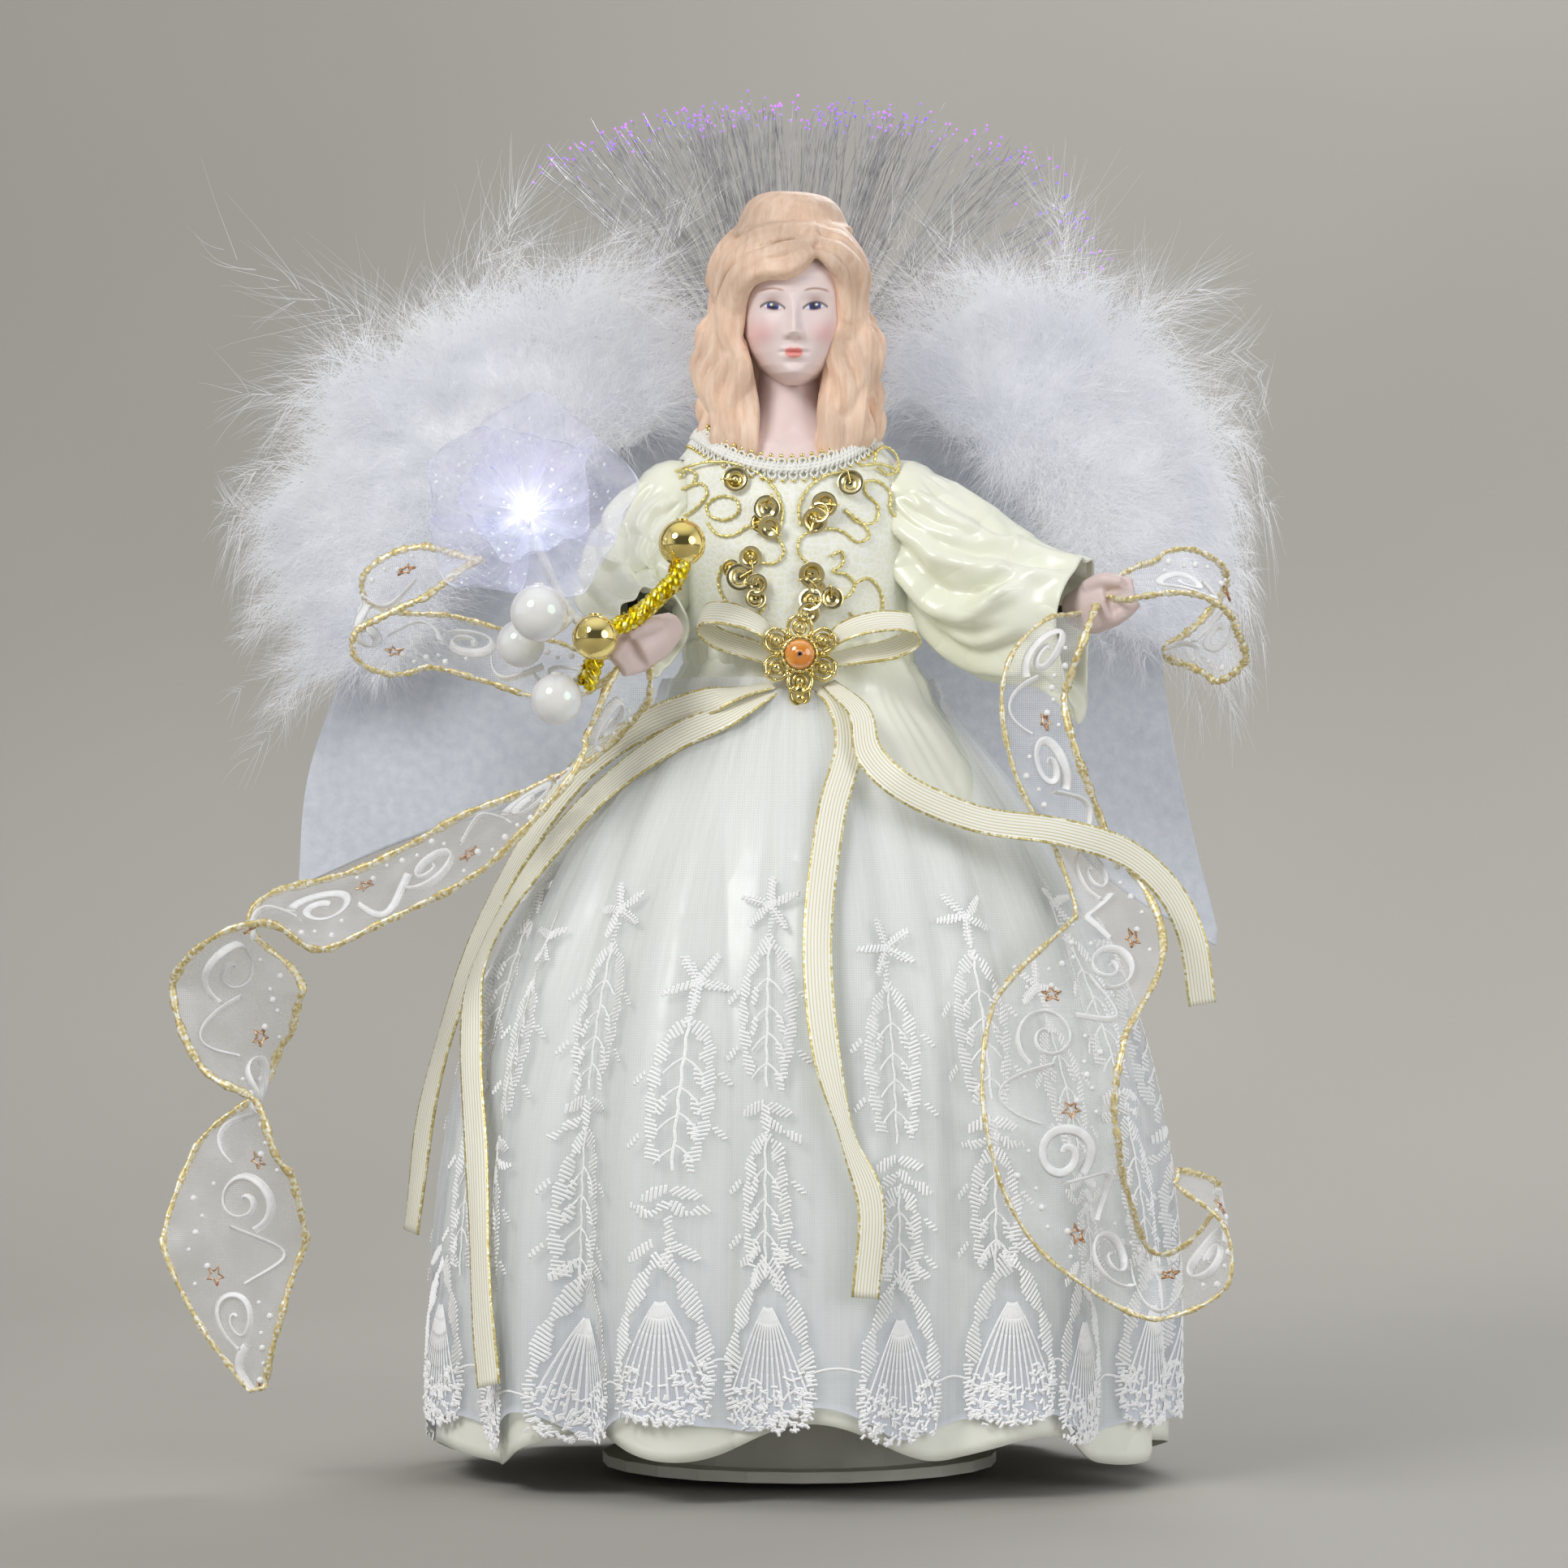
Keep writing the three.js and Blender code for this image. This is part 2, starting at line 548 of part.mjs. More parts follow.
// Tails lie on the overskirt: degrees from the front towards the left hand, height in percent of the waist's, lift
const TAIL_LIFT = OVERSKIRT_OUT + SASH_THICKNESS / 2 + FIT_GAP;
function tailStations(route) {
  return route.map(([degrees, percent, lift]) => {
    const angle = (degrees - 90) * RAD;
    const z = (percent / 100) * WAIST_Z;
    const at = skirtPoint(angle, z, TAIL_LIFT + lift);
    const beside = skirtPoint(angle + 0.02, z, TAIL_LIFT + lift);
    return station(at, beside.sub(at));
  });
}
const KNOT_FOOT = KNOT_RISE - KNOT_SIZE / 2 - FIT_GAP * 2;
const tailRoot = (x, drop, ahead) => station(P(x, KNOT_Y - KNOT_DEPTH / 2 - ahead, KNOT_FOOT - drop), V(1, 0, 0.1), 0.5);
const tails = {
  sash_tail_right_outer: tailStations([[-30, 96.6, 4.6], [-52, 93.8, 4.6], [-73, 87.5, 4.4], [-85, 76.1, 4.2],
    [-88, 61.9, 4.5], [-90, 45.5, 5.5], [-92, 29, 6.5]]),
  sash_tail_right_inner: tailStations([[-24, 94.9, 1.2], [-42, 91.5, 1.6], [-60, 84.7, 2],
    [-71, 73.3, 2.4], [-74, 62.5, 2.4], [-68, 54, 2.4], [-60, 40.9, 2.9], [-52, 21.6, 3.2], [-49, 12.5, 3.2]]),
  sash_tail_centre: tailStations([[14, 96, 2], [14, 90.9, 2.2], [7, 82.4, 2.6], [3, 67, 2.6], [4, 53.4, 2.6],
    [7, 43.2, 2.8], [10, 35.8, 3], [9, 24.5, 3.2]]),
  sash_tail_left: [
    station(P(13, -36, -9), V(0.9, 0.1, 0.3), 0.8),
    station(P(15, -43.5, -18), V(0.7, 0.1, 0.8)),
    station(P(22, -48.5, -25), V(0.3, 0.1, 1)),
    station(P(38, -46, -32), V(0.1, 0.3, 1)),
    station(P(57, -39, -35), V(0.1, 0.3, 1)),
    station(P(72, -31, -40), V(0.3, 0.2, 1)),
    station(P(81, -27, -48), V(0.7, 0.2, 0.7)),
    station(P(86, -25, -58), V(1, 0.2, 0.25)),
    station(P(88.5, -24, -73), V(1, 0.2, 0.1)),
  ],
};
tails.sash_tail_right_outer.unshift(tailRoot(-5.4, 1.8, 1));
tails.sash_tail_right_inner.unshift(tailRoot(-2.4, 1, -1));
tails.sash_tail_centre.unshift(tailRoot(2.4, 0.8, -1));
tails.sash_tail_left.unshift(tailRoot(6.4, 1.8, 2));
for (const [name, stations] of Object.entries(tails)) {
  add(name, strip(stations, SASH_WIDTH, SASH_THICKNESS, 20), RIBBON);
}

// Brooch on the knot
const broochGroup = new THREE.Group();
broochGroup.position.copy(P(0, KNOT_Y - KNOT_DEPTH - FIT_GAP, KNOT_RISE));
broochGroup.rotation.x = Math.PI / 2;
topper.add(broochGroup);
const lobes = new THREE.Shape();
for (let i = 0; i < BROOCH_LOBES * 5; i++) {
  const angle = (i / (BROOCH_LOBES * 5)) * 2 * Math.PI;
  const r = BROOCH_RADIUS * (0.8 + 0.2 * Math.abs(Math.cos((BROOCH_LOBES * angle) / 2)));
  if (i === 0) lobes.moveTo(r, 0);
  else lobes.lineTo(r * Math.cos(angle), r * Math.sin(angle));
}
lobes.closePath();
const setting = solid(new THREE.ExtrudeGeometry(lobes, { depth: BROOCH_THICKNESS, bevelEnabled: false }));
const drop = rod(1.8, 0, BROOCH_THICKNESS, 0, -BROOCH_RADIUS * 0.8 - 1.2, 10);
add('brooch_setting', setting.add(drop), GOLD, broochGroup);
const stoneBase = BROOCH_THICKNESS + FIT_GAP;
const stone = turned([[0, stoneBase], [STONE_RADIUS, stoneBase], [STONE_RADIUS * 0.9, stoneBase + 1],
  [STONE_RADIUS * 0.55, stoneBase + 1.9], [0, stoneBase + 2.3]], 12);
add('brooch_stone', stone, AMBER, broochGroup);

// Head, neck and shoulder plate moulded in one with the hair
const HEAD = P(lean(NECK_SIDE_RISE) + 1, -1, HEAD_RISE);
const plateRise = TORSO_TOP_RISE + FIT_GAP;
const neckRing = (rise, half, front, back) => around(14).map((a) => P(
  HEAD.x + half * Math.cos(a), (Math.sin(a) < 0 ? front : back) * Math.sin(a), rise));
const plate = solid(loft([
  torsoRing(plateRise, 0, 14),
  torsoRing(SHOULDER_RISE + 8, 0, 14),
  neckRing(SHOULDER_RISE + 13, BUST_HALF_WIDTH - 5.5, BUST_FRONT - 8, WAIST_BACK - 4.5),
  neckRing(SHOULDER_RISE + 17, NECK_RADIUS + 5, NECK_RADIUS + 3, NECK_RADIUS + 3),
  neckRing(SHOULDER_RISE + 23, NECK_RADIUS, NECK_RADIUS, NECK_RADIUS),
  neckRing(HEAD_RISE, NECK_RADIUS, NECK_RADIUS, NECK_RADIUS),
]));
const skull = ball(HEAD.clone().add(V(0, -2, 0)), SKULL_HALF_WIDTH, SKULL_HALF_DEPTH, SKULL_HALF_HEIGHT, 12, 8);
// Hair rows: height from the middle of the head, then shares of the half width, the front and the back
const hairRows = [[-1.5, 0.75, 0.15, 0.6], [-1, 1.06, 0.2, 0.9], [-0.4, 1.04, 0.25, 1.05], [0.2, 1, 0.42, 1.12],
  [0.62, 0.88, 0.66, 1], [0.88, 0.6, 0.55, 0.7], [1, 0.22, 0.22, 0.22]];
const hair = solid(loft(hairRows.map(([rise, wide, front, back]) => around(14).map((a) => HEAD.clone().add(V(
  HAIR_HALF_WIDTH * wide * Math.cos(a),
  HAIR_HALF_DEPTH * (Math.sin(a) < 0 ? front : back) * Math.sin(a),
  HAIR_HALF_HEIGHT * rise))))));
const bunBase = HEAD.z + HAIR_HALF_HEIGHT - 3;
const bun = turned([[0, bunBase], [BUN_RADIUS + 0.8, bunBase], [BUN_RADIUS + 1, bunBase + 2.5],
  [BUN_RADIUS, bunBase + BUN_HEIGHT * 0.75], [BUN_RADIUS * 0.8, bunBase + BUN_HEIGHT], [0, bunBase + BUN_HEIGHT + 0.6]], 14)
  .translate([HEAD.x, HEAD.y + 2, 0]);
function lock(side, out) {
  const curve = curveOf([
    HEAD.clone().add(V(side * 8, -6, 12)),
    HEAD.clone().add(V(side * (SKULL_HALF_WIDTH - 0.5), -6, -1)),
    HEAD.clone().add(V(side * (SKULL_HALF_WIDTH + out), -4, -13)),
    HEAD.clone().add(V(side * (SKULL_HALF_WIDTH + out - 1), -6, -22)),
    HEAD.clone().add(V(side * (SKULL_HALF_WIDTH - 2), -9, -28)),
  ]);
  return sweep(curve, 6, 6, (u) => [4 + 2.6 * Math.sin(Math.PI * u), 4 + 2.4 * Math.sin(Math.PI * u)], V(0, 1, 0));
}
add('head', mainBody(join([plate, skull, hair, bun, lock(-1, 2), lock(1, 1)]).subtract(shoulderRooms)), BISQUE);

// Light unit, ferrule and the bundle that opens into the fan
add('light_unit', rod(LIGHT_RADIUS, LIGHT_BASE, LIGHT_TOP, LIGHT_X, LIGHT_Y), DARK);
add('fibre_ferrule', rod(FERRULE_RADIUS, LIGHT_TOP + FIT_GAP, FERRULE_TOP, LIGHT_X, LIGHT_Y), STEEL);

function sector(inner, outer, from, to, thickness, steps) {
  const shape = new THREE.Shape();
  for (let i = 0; i <= steps; i++) {
    const a = from + ((to - from) * i) / steps;
    const [x, y] = [inner * Math.sin(a), inner * Math.cos(a)];
    if (i === 0) shape.moveTo(x, y);
    else shape.lineTo(x, y);
  }
  for (let i = steps; i >= 0; i--) {
    const a = from + ((to - from) * i) / steps;
    shape.lineTo(outer * Math.sin(a), outer * Math.cos(a));
  }
  shape.closePath();
  const plateBody = new THREE.ExtrudeGeometry(shape, { depth: thickness, bevelEnabled: false });
  return solid(plateBody.rotateX(Math.PI / 2).translate(0, thickness / 2, 0));
}
const half = FAN_HALF_ANGLE * RAD;
const bundleFan = sector(3, COMB_INNER - FIT_GAP, -half, half, FAN_THICKNESS, COMB_COUNT).translate(FAN_CENTRE.toArray());
add('fibre_bundle', tube(bundleRoute, BUNDLE_RADIUS, 12, 10).add(bundleFan), FIBRE);

const fan = new THREE.Group();
fan.position.copy(FAN_CENTRE);
topper.add(fan);
// Each comb is a slice of clear backing. Its outer face is a grid, and one half of every cell runs out as a fibre.
const combShare = (2 * half) / COMB_COUNT;
function comb(n) {
  const trim = FIT_GAP / 2 / COMB_INNER;
  const from = -half + n * combShare + trim;
  const to = from + combShare - 2 * trim;
  const at = (r, i, j, spread = 1) => {
    const a = from + ((to - from) * i) / FIBRES_ACROSS;
    const y = (j / FIBRE_LAYERS - 0.5) * FAN_THICKNESS * spread;
    return V(r * Math.sin(a), y, r * Math.cos(a));
  };
  const points = [];
  const index = [];
  const put = (p) => points.push(p) - 1;
  const rows = FIBRE_LAYERS + 1;
  for (let i = 0; i <= FIBRES_ACROSS; i++) {
    for (let j = 0; j < rows; j++) put(at(COMB_OUTER, i, j));
  }
  for (let i = 0; i < FIBRES_ACROSS; i++) {
    for (let j = 0; j < FIBRE_LAYERS; j++) {
      const base = [i * rows + j, (i + 1) * rows + j, (i + 1) * rows + j + 1];
      index.push(base[0], base[2], i * rows + j + 1);
      const share = ((i + 0.7) / FIBRES_ACROSS) * (to - from) + from;
      const reach = FIBRE_REACH + FIBRE_SIDE_EXTRA * (share / half) ** 2 + 3 * wobble(n * 100 + i * 7 + j);
      const middle = at(reach, i + 0.67, j + 0.33, FIBRE_SPREAD);
      const tips = base.map((k) => {
        const spoke = points[k].clone().sub(at(COMB_OUTER, i + 0.67, j + 0.33));
        return put(spoke.setLength(FIBRE_RADIUS).add(middle));
      });
      index.push(...tips);
      for (let k = 0; k < 3; k++) {
        const l = (k + 1) % 3;
        index.push(base[k], base[l], tips[l], base[k], tips[l], tips[k]);
      }
    }
  }
  const [a, b, c, d] = [[0, 0], [FIBRES_ACROSS, 0], [FIBRES_ACROSS, FIBRE_LAYERS], [0, FIBRE_LAYERS]]
    .map(([i, j]) => put(at(COMB_INNER, i, j)));
  index.push(a, c, b, a, d, c);
  const rim = (corner, far, row) => {
    for (let k = 0; k + 1 < row.length; k++) index.push(corner, row[k + 1], row[k]);
    index.push(corner, far, row[row.length - 1]);
  };
  const across = Array.from({ length: FIBRES_ACROSS + 1 }, (_, i) => i * rows);
  const deep = Array.from({ length: rows }, (_, j) => j);
  rim(a, b, across);
  rim(b, c, deep.map((j) => FIBRES_ACROSS * rows + j));
  rim(c, d, across.map((k) => k + FIBRE_LAYERS).reverse());
  rim(d, a, deep.slice().reverse());
  const geometry = new THREE.BufferGeometry().setFromPoints(points);
  geometry.setIndex(index);
  return solid(geometry);
}
for (let n = 0; n < COMB_COUNT; n++) add(`halo_fibres_${n + 1}`, comb(n), FIBRE, fan);

// Wings: a felt panel each, with a feather pad along its upper edge, on a block behind the bodice
const blockBox = box(LIGHT_X - BLOCK_HALF_WIDTH, LIGHT_X + BLOCK_HALF_WIDTH, 0, WING_Y - FIT_GAP,
  WAIST_Z + SASH_WIDTH + 2, WAIST_Z + SASH_WIDTH + 2 + BLOCK_HEIGHT);
const blockRoom = solid(loft([0, 1, 2, 3, 4, 5, 6].map((i) => torsoRing(i * 9, BODICE_OUT + FIT_GAP, 24))));
add('wing_block', mainBody(blockBox.subtract(blockRoom).subtract(bundleRoom)), FOAM);

function wing(name, side, outline, pads) {
  const group = new THREE.Group();
  group.position.copy(P(LIGHT_X, WING_Y, 0));
  group.rotation.z = side * WING_SWEEP * RAD;
  topper.add(group);
  const [first, ...rest] = outline.map(([x, z]) => new THREE.Vector2(x - LIGHT_X, z));
  const shape = new THREE.Shape().moveTo(first.x, first.y);
  shape.lineTo(rest[0].x, rest[0].y);
  shape.splineThru(rest.slice(1));
  shape.closePath();
  const panel = new THREE.ExtrudeGeometry(shape, {
    depth: WING_THICKNESS,
    curveSegments: 3,
    bevelEnabled: false,
  }).rotateX(Math.PI / 2).translate(0, WING_THICKNESS, 0);
  add(`wing_${name}`, solid(panel), FELT, group);
  const y = -FIT_GAP - MARABOU_DEPTH;
  const route = curveOf(pads.map(([x, z]) => V(x - LIGHT_X, y, z)));
  const boa = sweep(route, 12, 12, (u) => {
    const end = Math.sqrt(Math.max(0.12, 1 - (2 * u - 1) ** 6));
    return [MARABOU_RADIUS * end, MARABOU_DEPTH * end];
  }, V(0, 1, 0));
  return { boa, group };
}

const wingRight = wing('right', -1, [[-WING_ROOT_X, 6], [-WING_ROOT_X, 42], [-28, 64], [-58, 76], [-84, 67],
  [-98, 40], [-104, 8], [-114, -24], [-116, -48], [-92, -38], [-62, -28], [-30, -14]], [
  [-30, 60], [-42, 70], [-60, 72], [-80, 63], [-95, 49], [-102, 31], [-102, 13], [-100, 2]]);
const wingLeft = wing('left', 1, [[WING_ROOT_X - 4, 6], [WING_ROOT_X - 4, 42], [24, 64], [54, 74], [74, 64],
  [84, 38], [84, 4], [90, -30], [97, -58], [95, -66], [75, -49], [54, -30], [26, -12]], [
  [27, 62], [38, 72], [54, 71], [70, 60], [81, 44], [84.5, 26], [82.5, 8]]);

function feathers(name, { boa, group }) {
  add(`marabou_${name}`, boa, FEATHER, group);
}
feathers('right', wingRight);
feathers('left', wingLeft);

// Battery box with three cells, two contact strips, a sliding door and a switch
const boxHalf = CELL_PITCH + CELL_RADIUS + 1;
const wallHalf = boxHalf + BOX_WALL + BOX_LIP;
const doorY0 = CELL_Y + CELL_RADIUS + FIT_GAP;
const doorY1 = doorY0 + DOOR_THICKNESS;
const doorHalf = boxHalf + BOX_WALL - FIT_GAP;
const SWITCH_DEPTH = 1.7;
const switchZ = BOX_Z0 + 40;
const tray = box(-wallHalf, wallHalf, BOX_Y0, doorY1 + FIT_GAP + BOX_LIP, BOX_Z0, BOX_Z1)
  .subtract(box(-boxHalf, boxHalf, BOX_Y0 + BOX_WALL, doorY1 + 20, BOX_Z0 + BOX_WALL, BOX_Z1 - BOX_WALL))
  .subtract(box(-doorHalf - FIT_GAP, doorHalf + FIT_GAP, doorY0 - FIT_GAP, doorY1 + FIT_GAP,
    BOX_Z0 - 1, BOX_Z1 - BOX_WALL))
  .subtract(box(-boxHalf, boxHalf, doorY1, doorY1 + 20, BOX_Z0 - 1, BOX_Z1 - BOX_WALL))
  .subtract(box(wallHalf - SWITCH_DEPTH - FIT_GAP, wallHalf + 1, CELL_Y - SWITCH_WIDTH / 2 - FIT_GAP,
    CELL_Y + SWITCH_WIDTH / 2 + FIT_GAP, switchZ - FIT_GAP, switchZ + SWITCH_LENGTH + SWITCH_TRAVEL + FIT_GAP));
add('battery_tray', tray, PLASTIC);
const doorPlate = box(-doorHalf, doorHalf, doorY0, doorY1, BOX_Z0, BOX_Z1 - BOX_WALL - FIT_GAP);
const grips = [0, 1, 2].map((i) => box(-9, 9, doorY1 - 0.2, doorY1 + 1, BOX_Z0 + 8 + i * 3, BOX_Z0 + 9.2 + i * 3));
add('battery_door', join([doorPlate, ...grips]), PLASTIC);
add('switch_slider', box(wallHalf - SWITCH_DEPTH, wallHalf + 1.4, CELL_Y - SWITCH_WIDTH / 2,
  CELL_Y + SWITCH_WIDTH / 2, switchZ, switchZ + SWITCH_LENGTH), DARK);

for (let i = 0; i < 3; i++) {
  const flip = i % 2 === 1;
  const tip = 1.6;
  const profile = [[0, 0], [CELL_RADIUS, 0], [CELL_RADIUS, CELL_LENGTH - tip], [2.7, CELL_LENGTH - tip],
    [2.7, CELL_LENGTH], [0, CELL_LENGTH]];
  const cell = add(`battery_${i + 1}`, turned(profile, 14), CELL);
  cell.position.set((i - 1) * CELL_PITCH, CELL_Y, flip ? CELL_Z1 : CELL_Z0);
  cell.rotation.x = flip ? Math.PI : 0;
}

function contactStrip(z0) {
  return box(-boxHalf + 1, boxHalf - 1, CELL_Y - 4.6, CELL_Y + 4.6, z0, z0 + CONTACT_THICKNESS);
}
const stripZ0 = BOX_Z0 + BOX_WALL + FIT_GAP;
const SPRING_STEPS = 6;
let leastTurnGap = Infinity;
function contactSpring(x) {
  const points = [];
  const steps = SPRING_TURNS * SPRING_STEPS;
  for (let i = 0; i <= steps; i++) {
    const u = i / steps;
    const a = u * SPRING_TURNS * 2 * Math.PI;
    const r = SPRING_RADIUS - 2 * u;
    const z = stripZ0 + CONTACT_THICKNESS + (SPRING_HEIGHT - SPRING_WIRE) * u;
    points.push(V(x + r * Math.cos(a), CELL_Y + r * Math.sin(a), z));
  }
  for (let i = 0; i + SPRING_STEPS <= steps; i++) {
    leastTurnGap = Math.min(leastTurnGap, points[i].distanceTo(points[i + SPRING_STEPS]) - 2 * SPRING_WIRE);
  }
  return tube(points, SPRING_WIRE, steps, 4);
}
const springs = [-1, 0, 1].map((i) => contactSpring(i * CELL_PITCH));
console.log(`contact springs, least gap between turns: ${leastTurnGap.toFixed(2)} mm`);
add('contact_bottom', join([contactStrip(stripZ0), ...springs]), STEEL);
add('contact_top', contactStrip(BOX_Z1 - BOX_WALL - FIT_GAP - CONTACT_THICKNESS), STEEL);
add('lead_wire', tube(leadRoute, LEAD_RADIUS, 14, 4), DARK);

// Arms: a puffed sleeve on a wire, with a moulded hand
const bodyRoom = (extra) => join([
  solid(loft([0, 1, 2, 3, 4, 5, 6].map((i) => torsoRing(i * 9, BODICE_OUT + extra, 16)))),
  solid(loft([0, 1, 2, 3].map((i) => around(16).map((a) => skirtPoint(
    a, WAIST_Z - i * 10, OVERSKIRT_OUT + FOLD_DEPTH * 0.5 + extra))))),
  solid(loft([torsoRing(FIT_GAP, sashIn + SASH_THICKNESS + extra, 16),
    torsoRing(FIT_GAP + SASH_WIDTH, sashIn + SASH_THICKNESS + extra, 16)])),
]);
function swung(body, pivot, degrees) {
  return body.translate([-pivot.x, -pivot.y, -pivot.z]).rotate([0, degrees, 0]).translate(pivot.toArray());
}

function sleeveOf(pivot, route, widths, hang, wire, side) {
  const curve = curveOf(route);
  const widthAt = (u) => {
    const place = u * (widths.length - 1);
    const k = Math.min(widths.length - 2, Math.floor(place));
    return THREE.MathUtils.lerp(widths[k], widths[k + 1], place - k);
  };
  const outer = sweep(curve, 8, 14, (u, angle) => {
    const fold = SLEEVE_FOLD * Math.sin(Math.PI * u) * Math.cos(5 * angle + 4 * u);
    const low = Math.sin(angle) < 0 ? 1 + hang * u * u : 1;
    return [widthAt(u) + fold, (widthAt(u) + fold) * low];
  });
  const mouth = 1 - CUFF_DEPTH / curve.getLength();
  const mouthPoints = [0, 0.5, 1].map((t) => curve.getPointAt(mouth + (1 - mouth) * t));
  mouthPoints.push(curve.getPointAt(1).addScaledVector(curve.getTangentAt(1), 4));
  const inner = sweep(curveOf(mouthPoints), 3, 10, (t, angle) => {
    const u = mouth + (1 - mouth) * Math.min(1, t * 1.3);
    const low = Math.sin(angle) < 0 ? 1 + hang * u * u : 1;
    const size = (widthAt(u) - CUFF_CLOTH) * (0.75 + 0.25 * t);
    return [size, size * low];
  });
  const room = bodyRoom(JOINT_GAP);
  const shell = outer.subtract(room).subtract(swung(room, pivot, side * LOWEST_SWING)).subtract(inner);
  const wireRoom = tube(wire, WIRE_RADIUS + FIT_GAP, 12, 4);
  return mainBody(ball(pivot, SHOULDER_BALL, SHOULDER_BALL, SHOULDER_BALL, 12, 8).add(shell).subtract(wireRoom));
}

// A mitten hand along a route: half sizes across and up at each step
function handOf(route, across, up, thumb, thumbSize) {
  const curve = curveOf(route);
  const pick = (list, u) => {
    const place = u * (list.length - 1);
    const k = Math.min(list.length - 2, Math.floor(place));
    return THREE.MathUtils.lerp(list[k], list[k + 1], place - k);
  };
  const palm = sweep(curve, 6, 8, (u) => [pick(across, u), pick(up, u)]);
  return palm.add(ball(thumb, ...thumbSize, 8, 6));
}

const wireRight = [SHOULDER_RIGHT, fromRight(-7, -2, -12), fromRight(-9.5, -8, -23), fromRight(-6.5, -17, -27.5),
  fromRight(-3, -25, -28), fromRight(-1.2, -31, -28.5), fromRight(-4, -35, -31)];
const cuffRight = [SHOULDER_RIGHT, fromRight(-7, -2, -12), fromRight(-10.5, -7.5, -22), fromRight(-8, -17, -27),
  fromRight(-4.5, -23.5, -28)];
const wireLeft = [SHOULDER_LEFT, fromLeft(10, -2, -11), fromLeft(21, -6, -20), fromLeft(32, -11, -24),
  fromLeft(40, -16, -24)];
const cuffLeft = [SHOULDER_LEFT, fromLeft(10, -2, -11), fromLeft(21, -6, -20.5), fromLeft(35, -12, -24)];
add('sleeve_right', sleeveOf(SHOULDER_RIGHT, cuffRight, [9, 11.5, 11, 9, 7.5], 0, wireRight, 1), SATIN);
add('sleeve_left', sleeveOf(SHOULDER_LEFT, cuffLeft, [9, 13, 14, 11], 0.45, wireLeft, -1), SATIN);
add('arm_wire_right', tube(wireRight, WIRE_RADIUS, 12, 4), DARK);
add('arm_wire_left', tube(wireLeft, WIRE_RADIUS, 12, 4), DARK);

// Flower pick in the right hand
const FLOWER = fromRight(-31.3, -35, -4.5);
const flower = new THREE.Group();
flower.position.copy(FLOWER);
flower.rotation.set(Math.PI / 2 - 0.35, 0, 0);
topper.add(flower);

function petals(count, length, halfWidth, cup, hub, z0, turn) {
  const parts = [solid(new THREE.CylinderGeometry(hub, hub, 2.4, 12).rotateX(Math.PI / 2).translate(0, 0, z0 + 1.2))];
  for (let i = 0; i < count; i++) {
    const angle = (i / count) * 2 * Math.PI + turn;
    const rings = [];
    for (let k = 0; k <= 3; k++) {
      const v = k / 3;
      const w = 0.8 + halfWidth * Math.sin(Math.PI * Math.min(0.97, 0.08 + 0.9 * v) ** 0.85) ** 0.75;
      const r = hub * 0.4 + (length - hub * 0.4) * v;
      const z = z0 + 0.9 + cup * v ** 1.6;
      const ring = [];
      for (const [s, h] of [[-1, 0], [1, 0], [1, 1], [-1, 1]]) {
        const p = V(r, s * w, z + h * PETAL_CLOTH);
        ring.push(p.applyAxisAngle(V(0, 0, 1), angle));
      }
      rings.push(ring);
    }
    parts.push(solid(loft(rings)));
  }
  return join(parts);
}
const INNER_Z = 3;
add('flower_outer', petals(OUTER_PETALS, PETAL_LENGTH, PETAL_HALF_WIDTH, PETAL_CUP, 3.5, 0, 0.2)
  .subtract(rod(4, 2.4, 40, 0, 0, 12)), PETAL, flower);
const innerCup = petals(INNER_PETALS, PETAL_LENGTH * 0.62, PETAL_HALF_WIDTH * 0.62, PETAL_CUP * 1.15, 3.2, INNER_Z, 0.7);
add('flower_inner', mainBody(innerCup.subtract(rod(LED_RADIUS + FIT_GAP, INNER_Z + 1.4, 60, 0, 0, 12))), PETAL, flower);
const bulb = ball(V(0, 0, INNER_Z + 1.4 + FIT_GAP + LED_RADIUS), LED_RADIUS, LED_RADIUS, LED_RADIUS, 8, 6);
add('flower_led', bulb, LED, flower);

const behindFlower = (z) => V(0, 0, z).applyEuler(flower.rotation).add(FLOWER);
const pearls = [
  ['pearl_1', fromRight(-28, -58, -26), PEARL_RADIUS],
  ['pearl_2', fromRight(-24.8, -44, -44.2), PEARL_RADIUS * 0.9],
  ['pearl_3', fromRight(-33, -34, -32), PEARL_RADIUS * 0.85],
];
const goldBalls = [
  ['gold_ball_1', fromRight(2.2, -38, -10.3), GOLD_BALL_RADIUS],
  ['gold_ball_2', fromRight(-16.3, -50.5, -31), GOLD_BALL_RADIUS * 0.96],
];
const stemMain = [behindFlower(-FIT_GAP), behindFlower(-4), fromRight(-28, -30, -14), fromRight(-21.5, -35, -26),
  fromRight(-13, -37.5, -31.5), fromRight(-8, -37, -33.5)];
const stemBranches = [
  [fromRight(-21.5, -35, -26), fromRight(-25, -42, -29.5), pearls[0][1]],
  [fromRight(-14.5, -37, -31), fromRight(-19, -39, -38), pearls[1][1]],
  [fromRight(-22, -34.6, -25.5), fromRight(-27.5, -33.5, -30), pearls[2][1]],
];
const goldRoute = [goldBalls[0][1], fromRight(1, -40, -17.5), fromRight(-3.5, -41.5, -23), fromRight(-9, -42.5, -27),
  fromRight(-13.5, -43.4, -29.5), fromRight(-16.5, -43.6, -36), fromRight(-18.5, -43, -41)];
const beadsRoom = join([...pearls, ...goldBalls].map(([, c, r]) => ball(
  c, r + FIT_GAP, r + FIT_GAP, r + FIT_GAP, 12, 8)));
